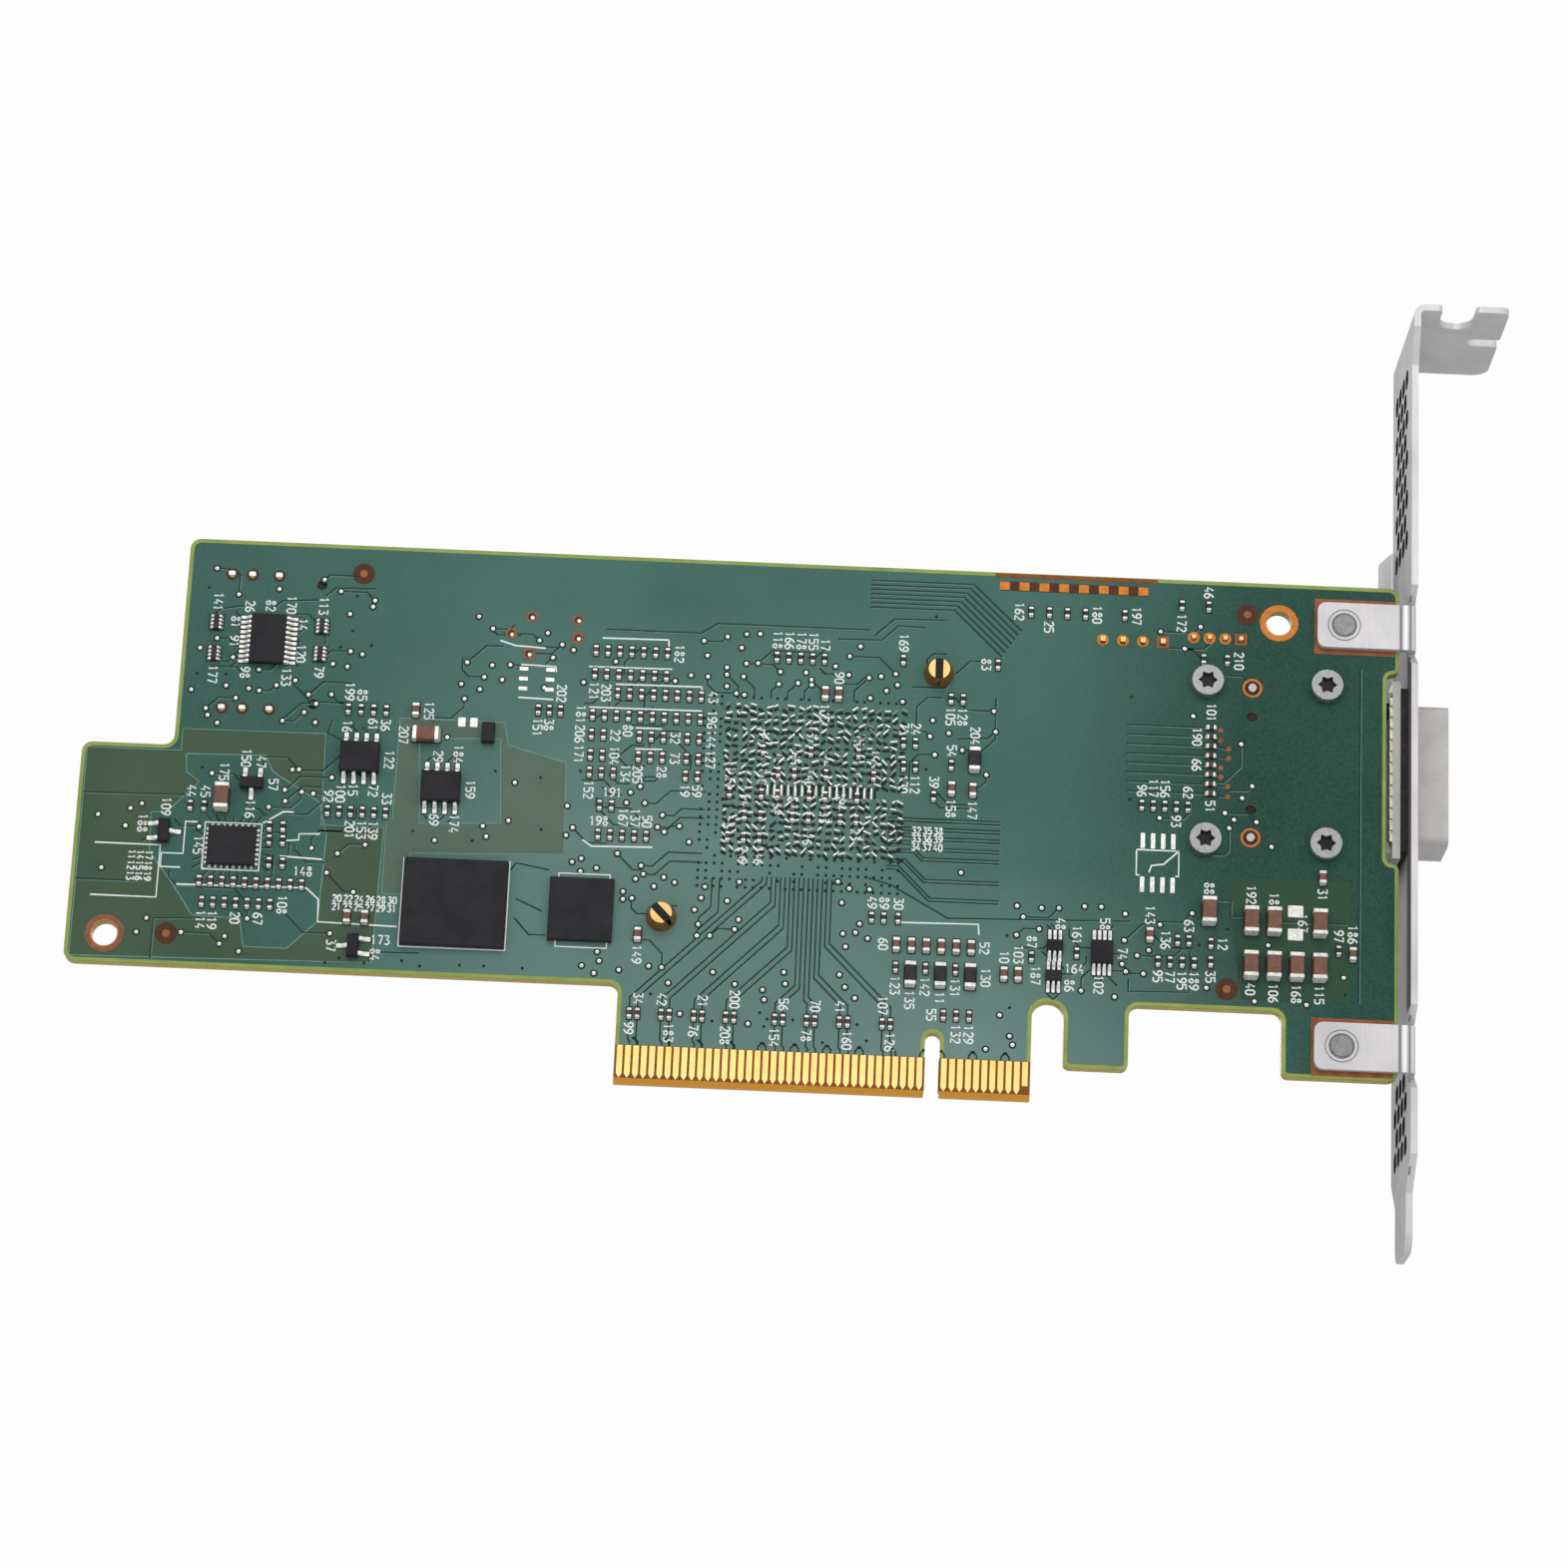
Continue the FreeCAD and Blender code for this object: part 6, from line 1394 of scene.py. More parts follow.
# Lines round and between the fields, as corners of (x, z)
FIELD_LINES = (
    ((-43.5, 57.8), (-35.1, 57.9)), ((-45.0, 53.9), (-34.5, 54.0)), ((-41.5, 51.7), (-30.6, 51.8)),
    ((-44.7, 48.5), (-30.5, 48.6)), ((-38.7, 46.0), (-35.4, 46.0)), ((-38.6, 43.2), (-35.2, 43.3)),
    ((-44.6, 31.0), (-43.4, 30.2), (-35.8, 30.4)), ((-35.1, 57.9), (-35.0, 56.6)),
    ((-30.6, 51.8), (-30.5, 49.8)), ((-5.0, 22.0), (5.2, 22.2), (5.3, 20.8)),
    ((-94.8, 23.0), (-78.6, 23.2), (-77.0, 21.8), (-76.9, 18.9), (-67.0, 18.7)),
    ((-92.8, 31.2), (-94.3, 31.2), (-94.3, 27.0), (-97.0, 27.0), (-97.0, 25.2), (-94.5, 25.2)),
    ((-84.6, 31.4), (-82.2, 33.0), (-80.9, 33.0)),
    ((-77.4, 30.3), (-80.0, 30.2), (-80.0, 29.4), (-82.0, 29.2)),
    ((-76.9, 27.0), (-82.2, 27.2)), ((-56.4, 56.9), (-54.5, 56.3), (-50.6, 56.1)),
    ((-53.6, 53.8), (-49.2, 53.7), (-49.1, 53.0)), ((-53.7, 49.4), (-49.3, 49.3)),
    ((-105.4, 28.0), (-97.2, 28.0), (-97.2, 21.2), (-105.4, 21.2)),
)
LARGE_MEMORY_GAP = 0.12
POWER_MANAGER_GAP = 0.55
BRACE_RISE = 0.7
BRACE_INSETS = (1, 0.6)

# Outline of an empty place for a chip, as left, right, low and high;
# the mark in it is measured from its low left corner
EMPTY_CHIP = (24.7, 30.0, 29.5, 32.8)
EMPTY_CHIP_HOOK = 0.4
EMPTY_CHIP_MARK = ((1.6, 0.4), (1.9, 1.3), (3.4, 1.5))


def numeral_paths(text, x, z, upright, height=NUMERAL_HEIGHT):
    """Strokes of a number whose middle is at a place; an upright one reads downwards."""
    scale = height / FIELD_HEIGHT
    step = NUMERAL_STEP * height / NUMERAL_HEIGHT
    run = (len(text) - 1) * step + FIELD_WIDTH * scale
    paths = []
    for i, numeral in enumerate(text):
        for stroke in NUMERAL_STROKES[numeral]:
            path = []
            for a, b in stroke:
                along = i * step + a * scale - run / 2
                up = b * scale - height / 2
                path.append((x + up, z - along) if upright else (x + along, z + up))
            paths.append(path)
    return paths


def legend_numbers(room):
    """Running numbers beside the parts, wherever there is room."""
    paths = []
    count = FIRST_LABEL
    boxes = [box for node in LABELLED_NODES for box in solids_of(node)]
    random.Random(SEED).shuffle(boxes)
    for low, high in boxes:
        text = str(count)
        long_half = (len(text) * NUMERAL_STEP) / 2
        short_half = NUMERAL_HEIGHT / 2 + NUMERAL_MARGIN
        x = (low.x + high.x) / 2
        z = (low.z + high.z) / 2
        choices = (
            (x, high.z + long_half + LABEL_REACH, True),
            (x, low.z - long_half - LABEL_REACH, True),
            (high.x + short_half + LABEL_REACH, z, True),
            (low.x - short_half - LABEL_REACH, z, True),
            (x, high.z + short_half + LABEL_REACH, False),
            (high.x + long_half + LABEL_REACH, z, False),
        )
        for label_x, label_z, upright in choices:
            halves = (short_half, long_half) if upright else (long_half, short_half)
            if room.claim(*box_round(label_x, label_z, *halves)):
                paths += numeral_paths(text, label_x, label_z, upright)
                count += 1
                break
    return paths


def listed_numbers(room):
    """Close lists of numbers in boxed fields, in rows or in columns that read downwards."""
    paths = []
    count = FIRST_LISTED
    for left, right, low, high, upright in NUMBER_LISTS:
        across = LIST_PITCH if upright else LIST_RUN
        along = LIST_RUN if upright else LIST_PITCH
        for i in range(int((right - left) / across)):
            for j in range(int((high - low) / along)):
                x = left + (i + 0.5) * across
                z = high - (j + 0.5) * along
                paths += numeral_paths(str(count), x, z, upright, LIST_HEIGHT)
                count += 1
        room.take(left, right, low, high)
    return paths


def around(node, gap):
    """Printed frame round the first solid of a node."""
    low, high = solids_of(node)[0]
    corners = rectangle(low.x - gap, high.x + gap, low.z - gap, high.z + gap)
    return corners + corners[:1]


def small_memory_marks():
    """Printed braces over and under the small memory chip."""
    low, high = solids_of("small_memory_chip")[0]
    left = low.x + BRACE_INSETS[0]
    right = high.x - BRACE_INSETS[1]
    paths = []
    for z, way in ((high.z, 1), (low.z, -1)):
        far = z + way * BRACE_RISE
        paths.append([(left, z), (left, far), (right, far), (right, z)])
    return paths


def empty_chip_marks():
    left, right, bottom, top = EMPTY_CHIP
    mark = [(left + x, bottom + z) for x, z in EMPTY_CHIP_MARK]
    return [
        [(left, top), (left, bottom), (left + EMPTY_CHIP_HOOK, bottom)],
        [(right - EMPTY_CHIP_HOOK, bottom), (right, bottom), (right, top), (left, top)],
        mark + [(right, top)],
    ]


def legend(room):
    for path in FIELD_LINES:
        for (x_a, z_a), (x_b, z_b) in zip(path, path[1:]):
            room.take(min(x_a, x_b) - INK_WIDTH, max(x_a, x_b) + INK_WIDTH,
                      min(z_a, z_b) - INK_WIDTH, max(z_a, z_b) + INK_WIDTH)
    paths = listed_numbers(room)
    paths += legend_numbers(room)
    paths += [list(path) for path in FIELD_LINES]
    paths.append(around("large_memory_chip", LARGE_MEMORY_GAP))
    paths.append(around("power_manager_chip", POWER_MANAGER_GAP))
    paths += small_memory_marks()
    paths += empty_chip_marks()
    lined("board_legend", paths, INK_WIDTH, 2 * INK_HEIGHT, "legend_ink")


# Traces under the mask: bundles of parallel ones

# Half the width of the breakout field under the controller
CORE_HALF = 13.0

TOP_BUNDLE_LINES = 7
TOP_BUNDLE_LEFT = -9.7
TOP_BUNDLE_DROP = 1.8
TOP_BUNDLE_PITCH = 0.6
TOP_BUNDLE_BEND = 3.4
TOP_BUNDLE_STAGGER = 0.4
TOP_BUNDLE_SLANT = (6.2, -6.0)

# Pairs beside the core: height at the left, place of the bend and height at the right
SIDE_PAIRS = ((29.1, -5.0, 25.1), (30.0, -4.2, 27.5), (31.3, -3.0, 30.3), (32.4, -2.2, 31.6),
              (33.4, -2.0, 33.0), (34.2, -2.0, 34.2), (35.4, -2.0, 35.4))
SIDE_PAIR_ENDS = (-6.5, 7.6)
PAIR_SPLIT = 0.42
PAIR_STAGGER = 0.4

# Runs from the core to the coupling capacitors over the contacts, and on to the contacts
EDGE_PARTS_BELOW = 15
EDGE_BUNDLE_LEFT = 4.4
EDGE_BUNDLE_PITCH = 0.58
EDGE_BUNDLE_START = 2
EDGE_BUNDLE_LEVEL = 11.0
CONTACT_RUN = (5.6, 5.3, 4.7)
CONTACT_RUN_SHIFT = 0.25
PART_GAP = 0.6
LANE_LEFT = 23.2
LANE_KNEE = 0.5


def top_bundle():
    paths = []
    across, up = TOP_BUNDLE_SLANT
    for i in range(TOP_BUNDLE_LINES):
        z = BOARD_TOP - TOP_BUNDLE_DROP - TOP_BUNDLE_PITCH * i
        bend = TOP_BUNDLE_BEND - TOP_BUNDLE_STAGGER * i
        paths.append([(TOP_BUNDLE_LEFT, z), (bend, z), (bend + across, z + up)])
    return paths


def side_pairs():
    paths = []
    left, right = SIDE_PAIR_ENDS
    for start, knee, end in SIDE_PAIRS:
        run = start - end
        for way in (-0.5, 0.5):
            z = start + way * PAIR_SPLIT
            knee_x = knee + way * PAIR_SPLIT * PAIR_STAGGER
            paths.append([(left, z), (knee_x, z), (knee_x + run, z - run), (right, z - run)])
    return paths


def edge_bundle(parts):
    """Runs from the core down to the coupling capacitors, and from these to the contacts."""
    paths = []
    turn, foot, end = CONTACT_RUN
    for i, part in enumerate(sorted(parts, key=lambda part: part.x)):
        start = CONTROLLER.x - EDGE_BUNDLE_LEFT + EDGE_BUNDLE_PITCH * i
        knee = EDGE_BUNDLE_LEVEL + abs(start - part.x)
        far = part.x + CONTACT_RUN_SHIFT
        paths.append([(start, CONTROLLER.z - CORE_HALF + EDGE_BUNDLE_START), (start, knee),
                      (part.x, EDGE_BUNDLE_LEVEL), (part.x, part.z + PART_GAP)])
        paths.append([(part.x, part.z - PART_GAP), (part.x, turn), (far, foot), (far, end)])
    return paths


def port_lanes(parts):
    """Runs through the coupling capacitors beside the external port to its vias."""
    paths = []
    for part, (x, z) in zip(sorted(parts, key=lambda part: -part.z), PORT_VIAS):
        paths.append([(LANE_LEFT, part.z), (part.x - PART_GAP, part.z)])
        paths.append([(part.x + PART_GAP, part.z), (x - LANE_KNEE, z), (x, z)])
    return paths


def bundle_traces():
    """Bundles of parallel traces that turn by half a right angle."""
    parts = [middle(box) for box in solids_of("coupling_capacitors")]
    low_parts = [part for part in parts if part.z < EDGE_PARTS_BELOW]
    high_parts = [part for part in parts if part.z > EDGE_PARTS_BELOW]
    return top_bundle() + side_pairs() + edge_bundle(low_parts) + port_lanes(high_parts)


# Single traces, as corners of (x, z)
HAND_TRACES = (
    ((-13.6, 59.0), (-8.1, 59.1), (-6.1, 61.1), (-2.7, 61.0)), ((-9.0, 59.7), (-6.6, 62.0), (-0.2, 62.1)),
    ((-8.7, 27.6), (-5.8, 26.8), (1.4, 22.8), (24.0, 23.4)), ((-78.9, 61.9), (-77.7, 63.0), (-72.6, 63.1)),
    ((-85.5, 59.9), (-84.3, 61.0), (-79.3, 61.3)), ((-93.0, 58.6), (-92.0, 59.6), (-88.7, 60.2)),
    ((-107.4, 34.5), (-93.4, 34.7)), ((-107.4, 23.2), (-99.5, 23.2)),
    ((-97.3, 13.3), (-97.3, 18.5), (-92.4, 18.7)), ((-69.4, 15.3), (-64.0, 15.4)),
    ((-53.5, 26.4), (-52.7, 27.6), (-48.5, 26.9)), ((-52.5, 23.0), (-49.1, 21.5)),
    ((-52.5, 20.5), (-50.6, 18.4), (-48.6, 18.4)),
    ((-9.6, 60.4), (-29.0, 60.4), (-31.0, 59.0), (-43.0, 59.0)),
    ((-76.9, 45.4), (-77.3, 43.6), (-75.3, 42.6)), ((5.7, 46.6), (6.6, 47.4), (6.6, 52.0)),
    ((2.0, 46.3), (5.7, 46.6)), ((24.0, 24.6), (10.0, 24.2), (8.0, 22.6)),
    ((31.6, 20.0), (31.6, 14.6), (24.0, 14.4), (24.0, 16.0)), ((52.6, 58.0), (52.6, 14.2)),
    ((38.0, 24.6), (36.6, 24.6), (36.6, 26.6), (34.8, 26.6)), ((41.0, 24.2), (51.0, 24.2)),
)

# Short runs from the chips: straight stretch and slant
SIDE_LEAD_RUN = 0.6
SIDE_LEAD_SLANT = (0.3, 0.9)
END_LEAD_RUN = 0.8
END_LEAD_SLANT = (0.3, 1.2)
MANAGER_TRACES = 7
MANAGER_RUN = 0.5
MANAGER_TOP_REACH = 1.5
MANAGER_LOW_REACH = 1.6
MANAGER_SIDE_REACH = 1.8


def lead_traces():
    """Runs from the leads of the chips, bent half way."""
    paths = []
    dice = random.Random(SEED + 1)
    for low, high in solids_of("chip_leads"):
        place = middle((low, high))
        axis, way = lead_course(low, high)
        if axis == 0:
            x = high.x if way > 0 else low.x
            slant = dice.choice((-1, 1)) * dice.uniform(*SIDE_LEAD_SLANT)
            far = x + way * (SIDE_LEAD_RUN + abs(slant))
            paths.append([(x, place.z), (x + way * SIDE_LEAD_RUN, place.z), (far, place.z + slant)])
        else:
            z = high.z if way > 0 else low.z
            slant = dice.choice((-1, 1)) * dice.uniform(*END_LEAD_SLANT)
            far = z + way * (END_LEAD_RUN + abs(slant))
            paths.append([(place.x, z), (place.x, z + way * END_LEAD_RUN), (place.x + slant, far)])
    return paths


def even_places(low, high, count):
    """Evenly spaced places along the sides of a chip, as (x, z)."""
    shares = [(i + 0.5) / count for i in range(count)]
    return [(low.x + share * (high.x - low.x), low.z + share * (high.z - low.z)) for share in shares]


def manager_traces():
    """Runs that fan out from the four sides of the power manager chip."""
    paths = []
    low, high = solids_of("power_manager_chip")[0]
    for i, (x, z) in enumerate(even_places(low, high, MANAGER_TRACES)):
        lean = ((i + 0.5) / MANAGER_TRACES - 0.5) * 2
        paths.append([(x, high.z), (x, high.z + MANAGER_RUN), (x + lean, high.z + MANAGER_TOP_REACH)])
        paths.append([(x, low.z), (x, low.z - MANAGER_RUN), (x + lean, low.z - MANAGER_LOW_REACH)])
        paths.append([(low.x, z), (low.x - MANAGER_RUN, z), (low.x - MANAGER_SIDE_REACH, z + lean)])
        paths.append([(high.x, z), (high.x + MANAGER_RUN, z), (high.x + MANAGER_SIDE_REACH, z + lean)])
    return paths


# Busy areas, as left, right, low, high and number of tries, and the stretches of a run
WANDER_AREAS = ((-46, -31, 27, 58, 46), (-32, -4, 51, 60, 26), (-5, 7, 36, 58, 24), (-40, -22, 13, 27, 18),
                (9, 34, 14, 25, 44), (-95, -72, 44, 65, 44), (-66, -47, 46, 60, 24), (-96, -70, 15, 42, 70),
                (26, 40, 28, 64, 24))
WANDER_RUN = (1.0, 4.5)
WANDER_SLANT = (0.6, 2.4)
WANDER_END = (0.6, 3.0)
WANDER_END_SHARE = 0.5


def wandering_traces():
    """Runs between two vias with one slanted stretch, in the busy areas."""
    dice = random.Random(SEED + 2)
    paths = []
    for left, right, low, high, count in WANDER_AREAS:
        for i in range(count):
            x = dice.uniform(left, right)
            z = dice.uniform(low, high)
            run = dice.uniform(*WANDER_RUN) * dice.choice((-1, 1))
            slant = dice.uniform(*WANDER_SLANT) * dice.choice((-1, 1))
            way = math.copysign(abs(slant), run)
            path = [(x, z), (x + run, z), (x + run + way, z + slant)]
            if dice.random() < WANDER_END_SHARE:
                path.append((x + run + way, z + slant + math.copysign(dice.uniform(*WANDER_END), slant)))
            if left < path[-1][0] < right and low < path[-1][1] < high:
                paths.append(path)
    return paths


# Traces that leave the core: first place, step from one to the next, and stretches of a run
DOWN_FAN_LINES = 11
DOWN_FAN_LEFT = -0.5
DOWN_FAN_PITCH = 0.95
DOWN_FAN_INSET = 1.5
DOWN_FAN_DROP = 0.6
DOWN_FAN_STEP = 0.55
DOWN_FAN_SLANT = (1.2, 3.0)
DOWN_FAN_END = (0.5, 2.0)
SIDE_FAN_LINES = 9
SIDE_FAN_LOW = 3.5
SIDE_FAN_PITCH = 1.15
SIDE_FAN_INSET = 1.0
SIDE_FAN_RUN = (1.2, 3.4)
SIDE_FAN_SLANT = (0.8, 2.2)
SIDE_FAN_END = 1.4
TOP_FAN_LINES = 8
TOP_FAN_LEFT = 4.5
TOP_FAN_PITCH = 2.1
TOP_FAN_INSET = 0.5
TOP_FAN_RISE = (0.6, 2.0)
TOP_FAN_SLANT = (0.7, 1.8)


def fan_traces():
    """Traces that leave the core downwards, to the left and upwards, each to a via of its own."""
    dice = random.Random(SEED + 6)
    paths = []
    left = CONTROLLER.x - CORE_HALF
    low = CONTROLLER.z - CORE_HALF
    top = low + 2 * CORE_HALF - TOP_FAN_INSET
    for i in range(DOWN_FAN_LINES):
        x = left + DOWN_FAN_LEFT + DOWN_FAN_PITCH * i
        drop = DOWN_FAN_DROP + DOWN_FAN_STEP * i
        slant = dice.uniform(*DOWN_FAN_SLANT)
        end = dice.uniform(*DOWN_FAN_END)
        foot = low - drop - slant
        paths.append([(x, low + DOWN_FAN_INSET), (x, low - drop), (x - slant, foot), (x - slant, foot - end)])
    for i in range(SIDE_FAN_LINES):
        z = low + SIDE_FAN_LOW + SIDE_FAN_PITCH * i
        run = dice.uniform(*SIDE_FAN_RUN)
        slant = dice.uniform(*SIDE_FAN_SLANT)
        knee = left - run - slant
        paths.append([(left + SIDE_FAN_INSET, z), (left - run, z), (knee, z - slant),
                      (knee - SIDE_FAN_END, z - slant)])
    for i in range(TOP_FAN_LINES):
        x = left + TOP_FAN_LEFT + TOP_FAN_PITCH * i
        rise = dice.uniform(*TOP_FAN_RISE)
        slant = dice.uniform(*TOP_FAN_SLANT) * dice.choice((-1, 1))
        paths.append([(x, top), (x, top + rise), (x + slant, top + rise + abs(slant))])
    return paths


# Short hooked runs over two of every four contacts, with the way each leans
HOOK_GROUP = 4
HOOK_WAYS = {1: 1, 2: -1}
HOOK_LEAN = 0.4
HOOK_KNEE = 0.5
HOOK_TOP = 0.95


def contact_hooks():
    """Hooked runs over the card-edge contacts, each ending at a small hole."""
    paths = []
    for i, (low, high) in enumerate(solids_of("edge_contacts_solder_side")):
        if i % HOOK_GROUP not in HOOK_WAYS:
            continue
        x = (low.x + high.x) / 2
        lean = HOOK_LEAN * HOOK_WAYS[i % HOOK_GROUP]
        paths.append([(x, high.z), (x, high.z + HOOK_KNEE), (x + lean, high.z + HOOK_TOP)])
    return paths


# Core: breakout field under the controller

CORE_STEP = 1.0
SPARSE_SHARE = 0.7

# Left, right, low and high of the part that holds strips, from the middle of the controller
DENSE_PART = (-9.9, 12.6, -7.9, 11.6)
BREAKOUT_RUN = 0.82
BREAKOUT_STRAY = 0.2
BREAKOUT_LEAN = (0.05, 0.9)
DULL_SHARE = 0.3
DULL_RUN = (0.6, 1.3)
DULL_WIDTH = 0.2
BRIGHT_SHARE = 0.88
BRIGHT_RUN = (0.6, 1.25)
BRIGHT_WIDTH = 0.18
GAP_RUN = (0.6, 1.2)
GAP_WIDTH = 0.38

# Row of upright strips across the field
UPRIGHT_ROW = 38.6
UPRIGHT_LEFT = -22.2
UPRIGHT_COUNT = 16
UPRIGHT_PITCH = 0.87
UPRIGHT_CLEARANCE = 0.9
UPRIGHT_STRIP = (1.45, 0.22)
UPRIGHT_GAP = (1.3, 0.3)


def core_field():
    """Slanted bare strips in rows with dark gaps between them; gives the places of the holes round it."""
    dice = random.Random(SEED + 3)
    holes = []
    strips = []
    dull = []
    gaps = []
    left, right, low, high = DENSE_PART
    count = round(2 * CORE_HALF / CORE_STEP)
    for i in range(count):
        for j in range(count):
            x = CONTROLLER.x - CORE_HALF + (i + 0.5) * CORE_STEP
            z = CONTROLLER.z - CORE_HALF + (j + 0.5) * CORE_STEP
            dense = left < x - CONTROLLER.x < right and low < z - CONTROLLER.z < high
            if not dense:
                if dice.random() < SPARSE_SHARE:
                    holes.append((x, z))
                continue
            if abs(z - UPRIGHT_ROW) < UPRIGHT_CLEARANCE * CORE_STEP and x > UPRIGHT_LEFT:
                continue
            x += dice.uniform(-BREAKOUT_STRAY, BREAKOUT_STRAY)
            z += dice.uniform(-BREAKOUT_STRAY, BREAKOUT_STRAY)
            lean = dice.choice((-1, 1)) * dice.uniform(*BREAKOUT_LEAN)
            share = dice.random()
            if share < DULL_SHARE:
                run = BREAKOUT_RUN * dice.uniform(*DULL_RUN)
                dull.append(flat_pad(x, z, run, DULL_WIDTH, PAD_HEIGHT, lean))
            elif share < BRIGHT_SHARE:
                run = BREAKOUT_RUN * dice.uniform(*BRIGHT_RUN)
                strips.append(flat_pad(x, z, run, BRIGHT_WIDTH, PAD_HEIGHT, lean))
            run = BREAKOUT_RUN * dice.uniform(*GAP_RUN)
            gaps.append(flat_pad(x, z - CORE_STEP / 2, run, GAP_WIDTH, OPENING_HEIGHT, lean))
    for i in range(UPRIGHT_COUNT):
        x = UPRIGHT_LEFT + (i + 0.5) * UPRIGHT_PITCH
        strips.append(flat_pad(x, UPRIGHT_ROW, *UPRIGHT_STRIP, PAD_HEIGHT, math.pi / 2))
        gaps.append(flat_pad(x + UPRIGHT_PITCH / 2, UPRIGHT_ROW, *UPRIGHT_GAP, OPENING_HEIGHT, math.pi / 2))
    scattered("breakout_strips", BLOCK, strips, "end_solder", "tinned_lead")
    scattered("covered_strips", BLOCK, dull, "dull_via", "solder_mask")
    scattered("breakout_gaps", BLOCK, gaps, "via_hole", "solder_mask")
    return holes


# Vias and small holes, in areas of left, right, low, high and number of tries

VIA_AREAS = ((-95, -72, 44, 66, 40), (-76, -60, 36, 48, 16), (-66, -45, 29, 60, 34), (-47, -30, 27, 60, 110),
             (-33, -3, 50, 60, 60), (-5, 8, 25, 58, 50), (-45, -8, 12, 27, 240), (8, 35, 13, 26, 70),
             (26, 56, 32, 66, 26), (36, 53, 13, 32, 12), (-106, -78, 14, 42, 26), (-38, 11, 6, 12, 22))
VIA_SIZE = 0.56
VIA_GAP = 0.2
VIA_OPENING_SHARE = 1.9
VIA_CENTRE_SHARE = 0.4
TINY_HOLE_AREAS = ((-76, -40, 13.2, 14.6, 12), (-38, 10, 5.6, 12, 26), (-66, -45, 28, 40, 14),
                   (8, 56, 13.4, 24, 26), (-9, 26, 24, 66, 20), (-106, -72, 13.6, 42, 24),
                   (-95, -72, 44, 66, 20))
TINY_HOLE_SIZE = 0.42
TINY_HOLE_GAP = 0.1

COMPONENT_SIDE_NODES = ("heat_sink", "power_inductors", "power_switches", "polymer_capacitors", "crystal",
                        "cache_memory_chips", "boot_memory_chip", "component_side_capacitors", "port_shell",
                        "internal_port_cover", "wide_header_base", "narrow_header_base", "bracket_screws",
                        "edge_contacts_component_side")
REAR_VIA_GAP = 0.7
REAR_BUNDLE_LINES = 10
REAR_BUNDLE_MARGIN = 1
REAR_BUNDLE_KNEE = 3.0
REAR_BUNDLE_LEAN = 0.3


def spots_in(areas, room, size, gap, seed):
    """Random places in some areas where there is room."""
    dice = random.Random(seed)
    half = size / 2 + gap
    spots = []
    for left, right, low, high, count in areas:
        for i in range(count):
            x = dice.uniform(left, right)
            z = dice.uniform(low, high)
            if room.claim(*box_round(x, z, half, half)):
                spots.append((x, z))
    return spots


def domes_at(points, size, height, face=SOLDER_FACE):
    return [((x, level_under(face), z), (size, height + SUNK, size), 0) for x, z in points]


def plated_vias(name, opening_name, vias, face):
    """Tinned vias, each in an opening of the mask."""
    openings = domes_at(vias, VIA_SIZE * VIA_OPENING_SHARE, OPENING_HEIGHT, face)
    scattered(opening_name, DOME, openings, "mask_opening", "solder_mask")
    scattered(name, DOME, domes_at(vias, VIA_SIZE, VIA_HEIGHT, face), "tinned_lead", "tinned_lead")


def clear_of(points, nodes, gap):
    """The points that lie beside all the solids of some nodes."""
    boxes = [box for node in nodes for box in solids_of(node)]
    clear = []
    for x, z in points:
        beside = [x < low.x - gap or x > high.x + gap or z < low.z - gap or z > high.z + gap
                  for low, high in boxes]
        if all(beside):
            clear.append((x, z))
    return clear


def rear_artwork(vias):
    """What shows on the component side: the other ends of the vias, and the traces to the memory chips."""
    clear = clear_of(vias, COMPONENT_SIDE_NODES, REAR_VIA_GAP)
    plated_vias("rear_vias", "rear_via_openings", clear, COMPONENT_FACE)
    paths = []
    far = CONTROLLER.x - CORE_HALF
    for low, high in solids_of("cache_memory_chips"):
        knee = high.x + REAR_BUNDLE_KNEE
        places = REAR_BUNDLE_LINES + 2 * REAR_BUNDLE_MARGIN
        for i in range(REAR_BUNDLE_LINES):
            z = low.z + (i + 0.5 + REAR_BUNDLE_MARGIN) * (high.z - low.z) / places
            shift = (CONTROLLER.z - z) * REAR_BUNDLE_LEAN
            paths.append([(high.x, z), (knee, z), (knee + abs(shift), z + shift), (far, z + shift)])
    lined("rear_traces", paths, TRACE_WIDTH, 2 * TRACE_HEIGHT, "covered_trace", COMPONENT_FACE)


def drilled_artwork(room, ends, holes):
    vias = ends + spots_in(VIA_AREAS, room, VIA_SIZE, VIA_GAP, SEED + 4)
    plated_vias("plated_vias", "via_openings", vias, SOLDER_FACE)
    centres = domes_at(vias, VIA_SIZE * VIA_CENTRE_SHARE, VIA_HEIGHT + SUNK)
    scattered("via_centres", DOME, centres, "dull_via", "solder_mask")
    rear_artwork(vias)
    tiny = spots_in(TINY_HOLE_AREAS, room, TINY_HOLE_SIZE, TINY_HOLE_GAP, SEED + 5) + holes
    scattered("filled_holes", DOME, domes_at(tiny, TINY_HOLE_SIZE, HOLE_HEIGHT), "via_hole", "solder_mask")


# Laying the traces and vias

HIGHLIGHT_SHIFT = 0.13


def crossing(a, b, c, d):
    """Whether the stretch from a to b crosses the one from c to d."""
    def side(p, q, r):
        return (q[0] - p[0]) * (r[1] - p[1]) - (q[1] - p[1]) * (r[0] - p[0])
    return side(a, b, c) * side(a, b, d) < 0 and side(c, d, a) * side(c, d, b) < 0


def without_crossings(paths):
    """The paths that cross none of those kept before them."""
    kept = []
    stretches = []
    for path in paths:
        own = list(zip(path, path[1:]))
        if any(crossing(a, b, c, d) for a, b in own for c, d in stretches):
            continue
        kept.append(path)
        stretches += own
    return kept


